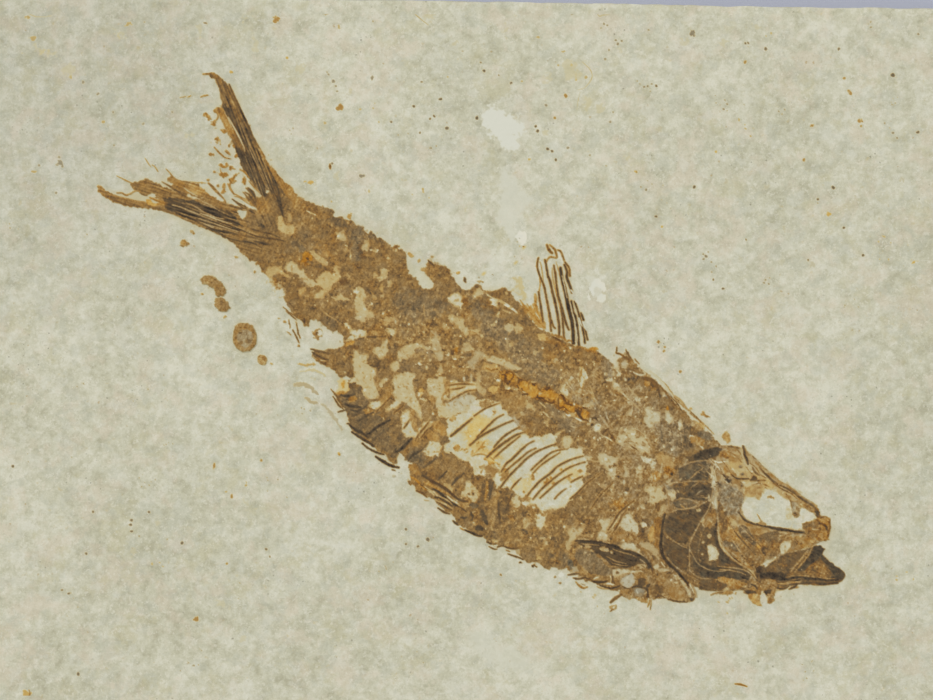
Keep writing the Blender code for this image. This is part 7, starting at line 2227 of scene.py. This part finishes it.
    # the broken sides show their beds
    geo = n.new("ShaderNodeNewGeometry")
    sn = n.new("ShaderNodeSeparateXYZ")
    n.put(sn.inputs[0], geo.outputs["Normal"])
    side = n.step(n.math("ABSOLUTE", sn.outputs["Z"]), 0.75, 0.35)
    stretch = n.new("ShaderNodeMapping")
    n.put(stretch.inputs["Vector"], at)
    stretch.inputs["Scale"].default_value = (1.0, 1.0, 22.0)
    bands = n.noise(stretch.outputs[0], 110, 4, 0.65)
    strata = n.ramp(bands, [(0.0, (120, 108, 82)), (0.40, (168, 158, 129)), (0.5, (188, 182, 156)), (0.62, (202, 198, 176)), (1.0, (214, 210, 192))])
    col = n.mix(n.math("MULTIPLY", side, 0.75), col, strata)
    out = n.new("NodeGroupOutput")
    n.put(out.inputs[0], col)
    h = n.math("ADD", n.math("ADD", n.math("MULTIPLY", grain, 0.45), n.math("MULTIPLY", mott, 3.5)), n.math("ADD", n.math("MULTIPLY", mott2, 1.2), n.math("MULTIPLY", bands, n.math("MULTIPLY", side, 3.0))))
    n.put(out.inputs[1], h)
    return g


STONE = stone_group()


def finish_material(name, rough, spec, film_noise=0.14):
    """Stone with whatever film of fossil the drawing lays over it."""
    m = bpy.data.materials.new(name)
    m.use_nodes = True
    t = m.node_tree
    n = Nodes(t)
    p = t.nodes["Principled BSDF"]
    stone = n.new("ShaderNodeGroup")
    stone.node_tree = STONE
    at = n.new("ShaderNodeTexCoord").outputs["Object"]
    tone = n.new("ShaderNodeAttribute", attribute_name="tone").outputs["Fac"]
    warm = n.new("ShaderNodeAttribute", attribute_name="warm").outputs["Fac"]
    fine = n.noise(at, 5200, 3, 0.6)
    coarse = n.noise(at, 1500, 2, 0.5, (0.4, 0.8, 0.1))
    laid = n.step(tone, 0.15, 0.4)
    wobble = n.math("ADD", n.math("MULTIPLY", n.math("SUBTRACT", fine, 0.5), film_noise * 1.6), n.math("MULTIPLY", n.math("SUBTRACT", coarse, 0.5), film_noise * 0.8))
    tn = n.math("ADD", tone, n.math("MULTIPLY", wobble, laid))
    pos = n.step(tn, -0.25, 1.0, 0.0, 1.0, False)
    col = n.ramp(pos, NEUTRAL)
    col = n.mix(n.step(warm, 0.0, 1.0, 0, 1, False), col, n.ramp(pos, ORANGE))
    col = n.mix(n.step(warm, 0.0, -1.0, 0, 1, False), col, n.ramp(pos, COOL))
    shown = n.math("MAXIMUM", n.step(tone, 0.01, 0.16), n.step(tone, -0.01, -0.1))
    col = n.mix(shown, stone.outputs["Color"], col)
    n.put(p.inputs["Base Color"], col)
    n.put(p.inputs["Roughness"], n.math("ADD", n.math("MULTIPLY", n.step(tone, 0.2, 0.7), rough - 0.9), n.math("ADD", 0.86, n.math("MULTIPLY", fine, 0.08))))
    p.inputs["Specular IOR Level"].default_value = spec
    bump = n.new("ShaderNodeBump")
    bump.inputs["Strength"].default_value = 0.5
    bump.inputs["Distance"].default_value = 0.00005
    n.put(bump.inputs["Height"], n.math("ADD", stone.outputs["Height"], n.math("MULTIPLY", n.math("MULTIPLY", fine, laid), 1.2)))
    n.put(p.inputs["Normal"], bump.outputs["Normal"])
    return m


FINISH = {
    "limestone": finish_material("limestone", 0.88, 0.08),
    "scales": finish_material("scale_film", 0.66, 0.09, 0.16),
    "skull_bone": finish_material("skull_bone", 0.55, 0.1, 0.12),
    "gill_bone": finish_material("gill_bone", 0.5, 0.1, 0.12),
    "jaw_bone": finish_material("jaw_bone", 0.5, 0.1, 0.12),
    "fin_rays": finish_material("fin_rays", 0.64, 0.09, 0.12),
    "tail_rays": finish_material("tail_rays", 0.64, 0.09, 0.12),
    "nodule": finish_material("nodule_grain", 0.78, 0.08, 0.2),
}
SLOT = {"limestone_slab": "limestone", "fish_flank": "scales", "fish_skull": "skull_bone", "gill_cover": "gill_bone", "lower_jaw": "jaw_bone", "pectoral_fin": "fin_rays", "dorsal_fin": "fin_rays",
        "tail_fin": "tail_rays", "nodule_long": "nodule", "nodule_round": "nodule", "nodule_small": "nodule"}

slab.data.materials.append(FINISH["limestone"])
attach(slab, "root")
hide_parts("limestone_slab")
for obj, node in patches:
    obj.data.materials.append(FINISH[SLOT[node]])
    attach(obj, "root")
    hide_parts(node)


# --------------------------------------------------------- floor, light, camera
scene = bpy.context.scene
scene.view_settings.view_transform = "Standard"
scene.view_settings.look = "None"
scene.view_settings.exposure = 0.0
scene.view_settings.gamma = 1.0

bpy.ops.mesh.primitive_plane_add(size=6.0, location=(0, 0, -0.0002))
floor = bpy.context.object
floor.name = "floor"
fm_ = bpy.data.materials.new("floor")
fm_.use_nodes = True
fp = fm_.node_tree.nodes["Principled BSDF"]
fp.inputs["Base Color"].default_value = linear((181, 185, 201))
fp.inputs["Roughness"].default_value = 0.9
fp.inputs["Specular IOR Level"].default_value = 0.1
floor.data.materials.append(fm_)

world = bpy.data.worlds.new("studio")
scene.world = world
world.use_nodes = True
bg = world.node_tree.nodes["Background"]
bg.inputs["Color"].default_value = (1.0, 1.0, 1.0, 1.0)
bg.inputs["Strength"].default_value = 0.60


def lamp(name, where, size, power, target=(0, 0, 0.01)):
    light = bpy.data.lights.new(name, "AREA")
    light.shape = "DISK"
    light.size = size
    light.energy = power
    o = bpy.data.objects.new(name, light)
    scene.collection.objects.link(o)
    o.location = where
    o.rotation_euler = (Vector(target) - Vector(where)).to_track_quat("-Z", "Y").to_euler()


lamp("key", (-1.2, 1.5, 1.95), 1.05, 37.0)
lamp("fill", (0.8, -0.5, 1.0), 0.9, 2.5)

cam = bpy.data.cameras.new("camera")
cam.sensor_width = 36.0
DISTANCE = 0.60
cam.lens = 36.0 * DISTANCE / (933 * UNIT * MM)
cam.clip_start, cam.clip_end = 0.01, 20.0
camera = bpy.data.objects.new("camera", cam)
scene.collection.objects.link(camera)
camera.location = (0.0, PLAN_RISE * MM, SLAB_T * MM + DISTANCE)
camera.rotation_euler = (0.0, 0.0, PLAN_TURN)
scene.camera = camera

bpy.context.view_layer.update()
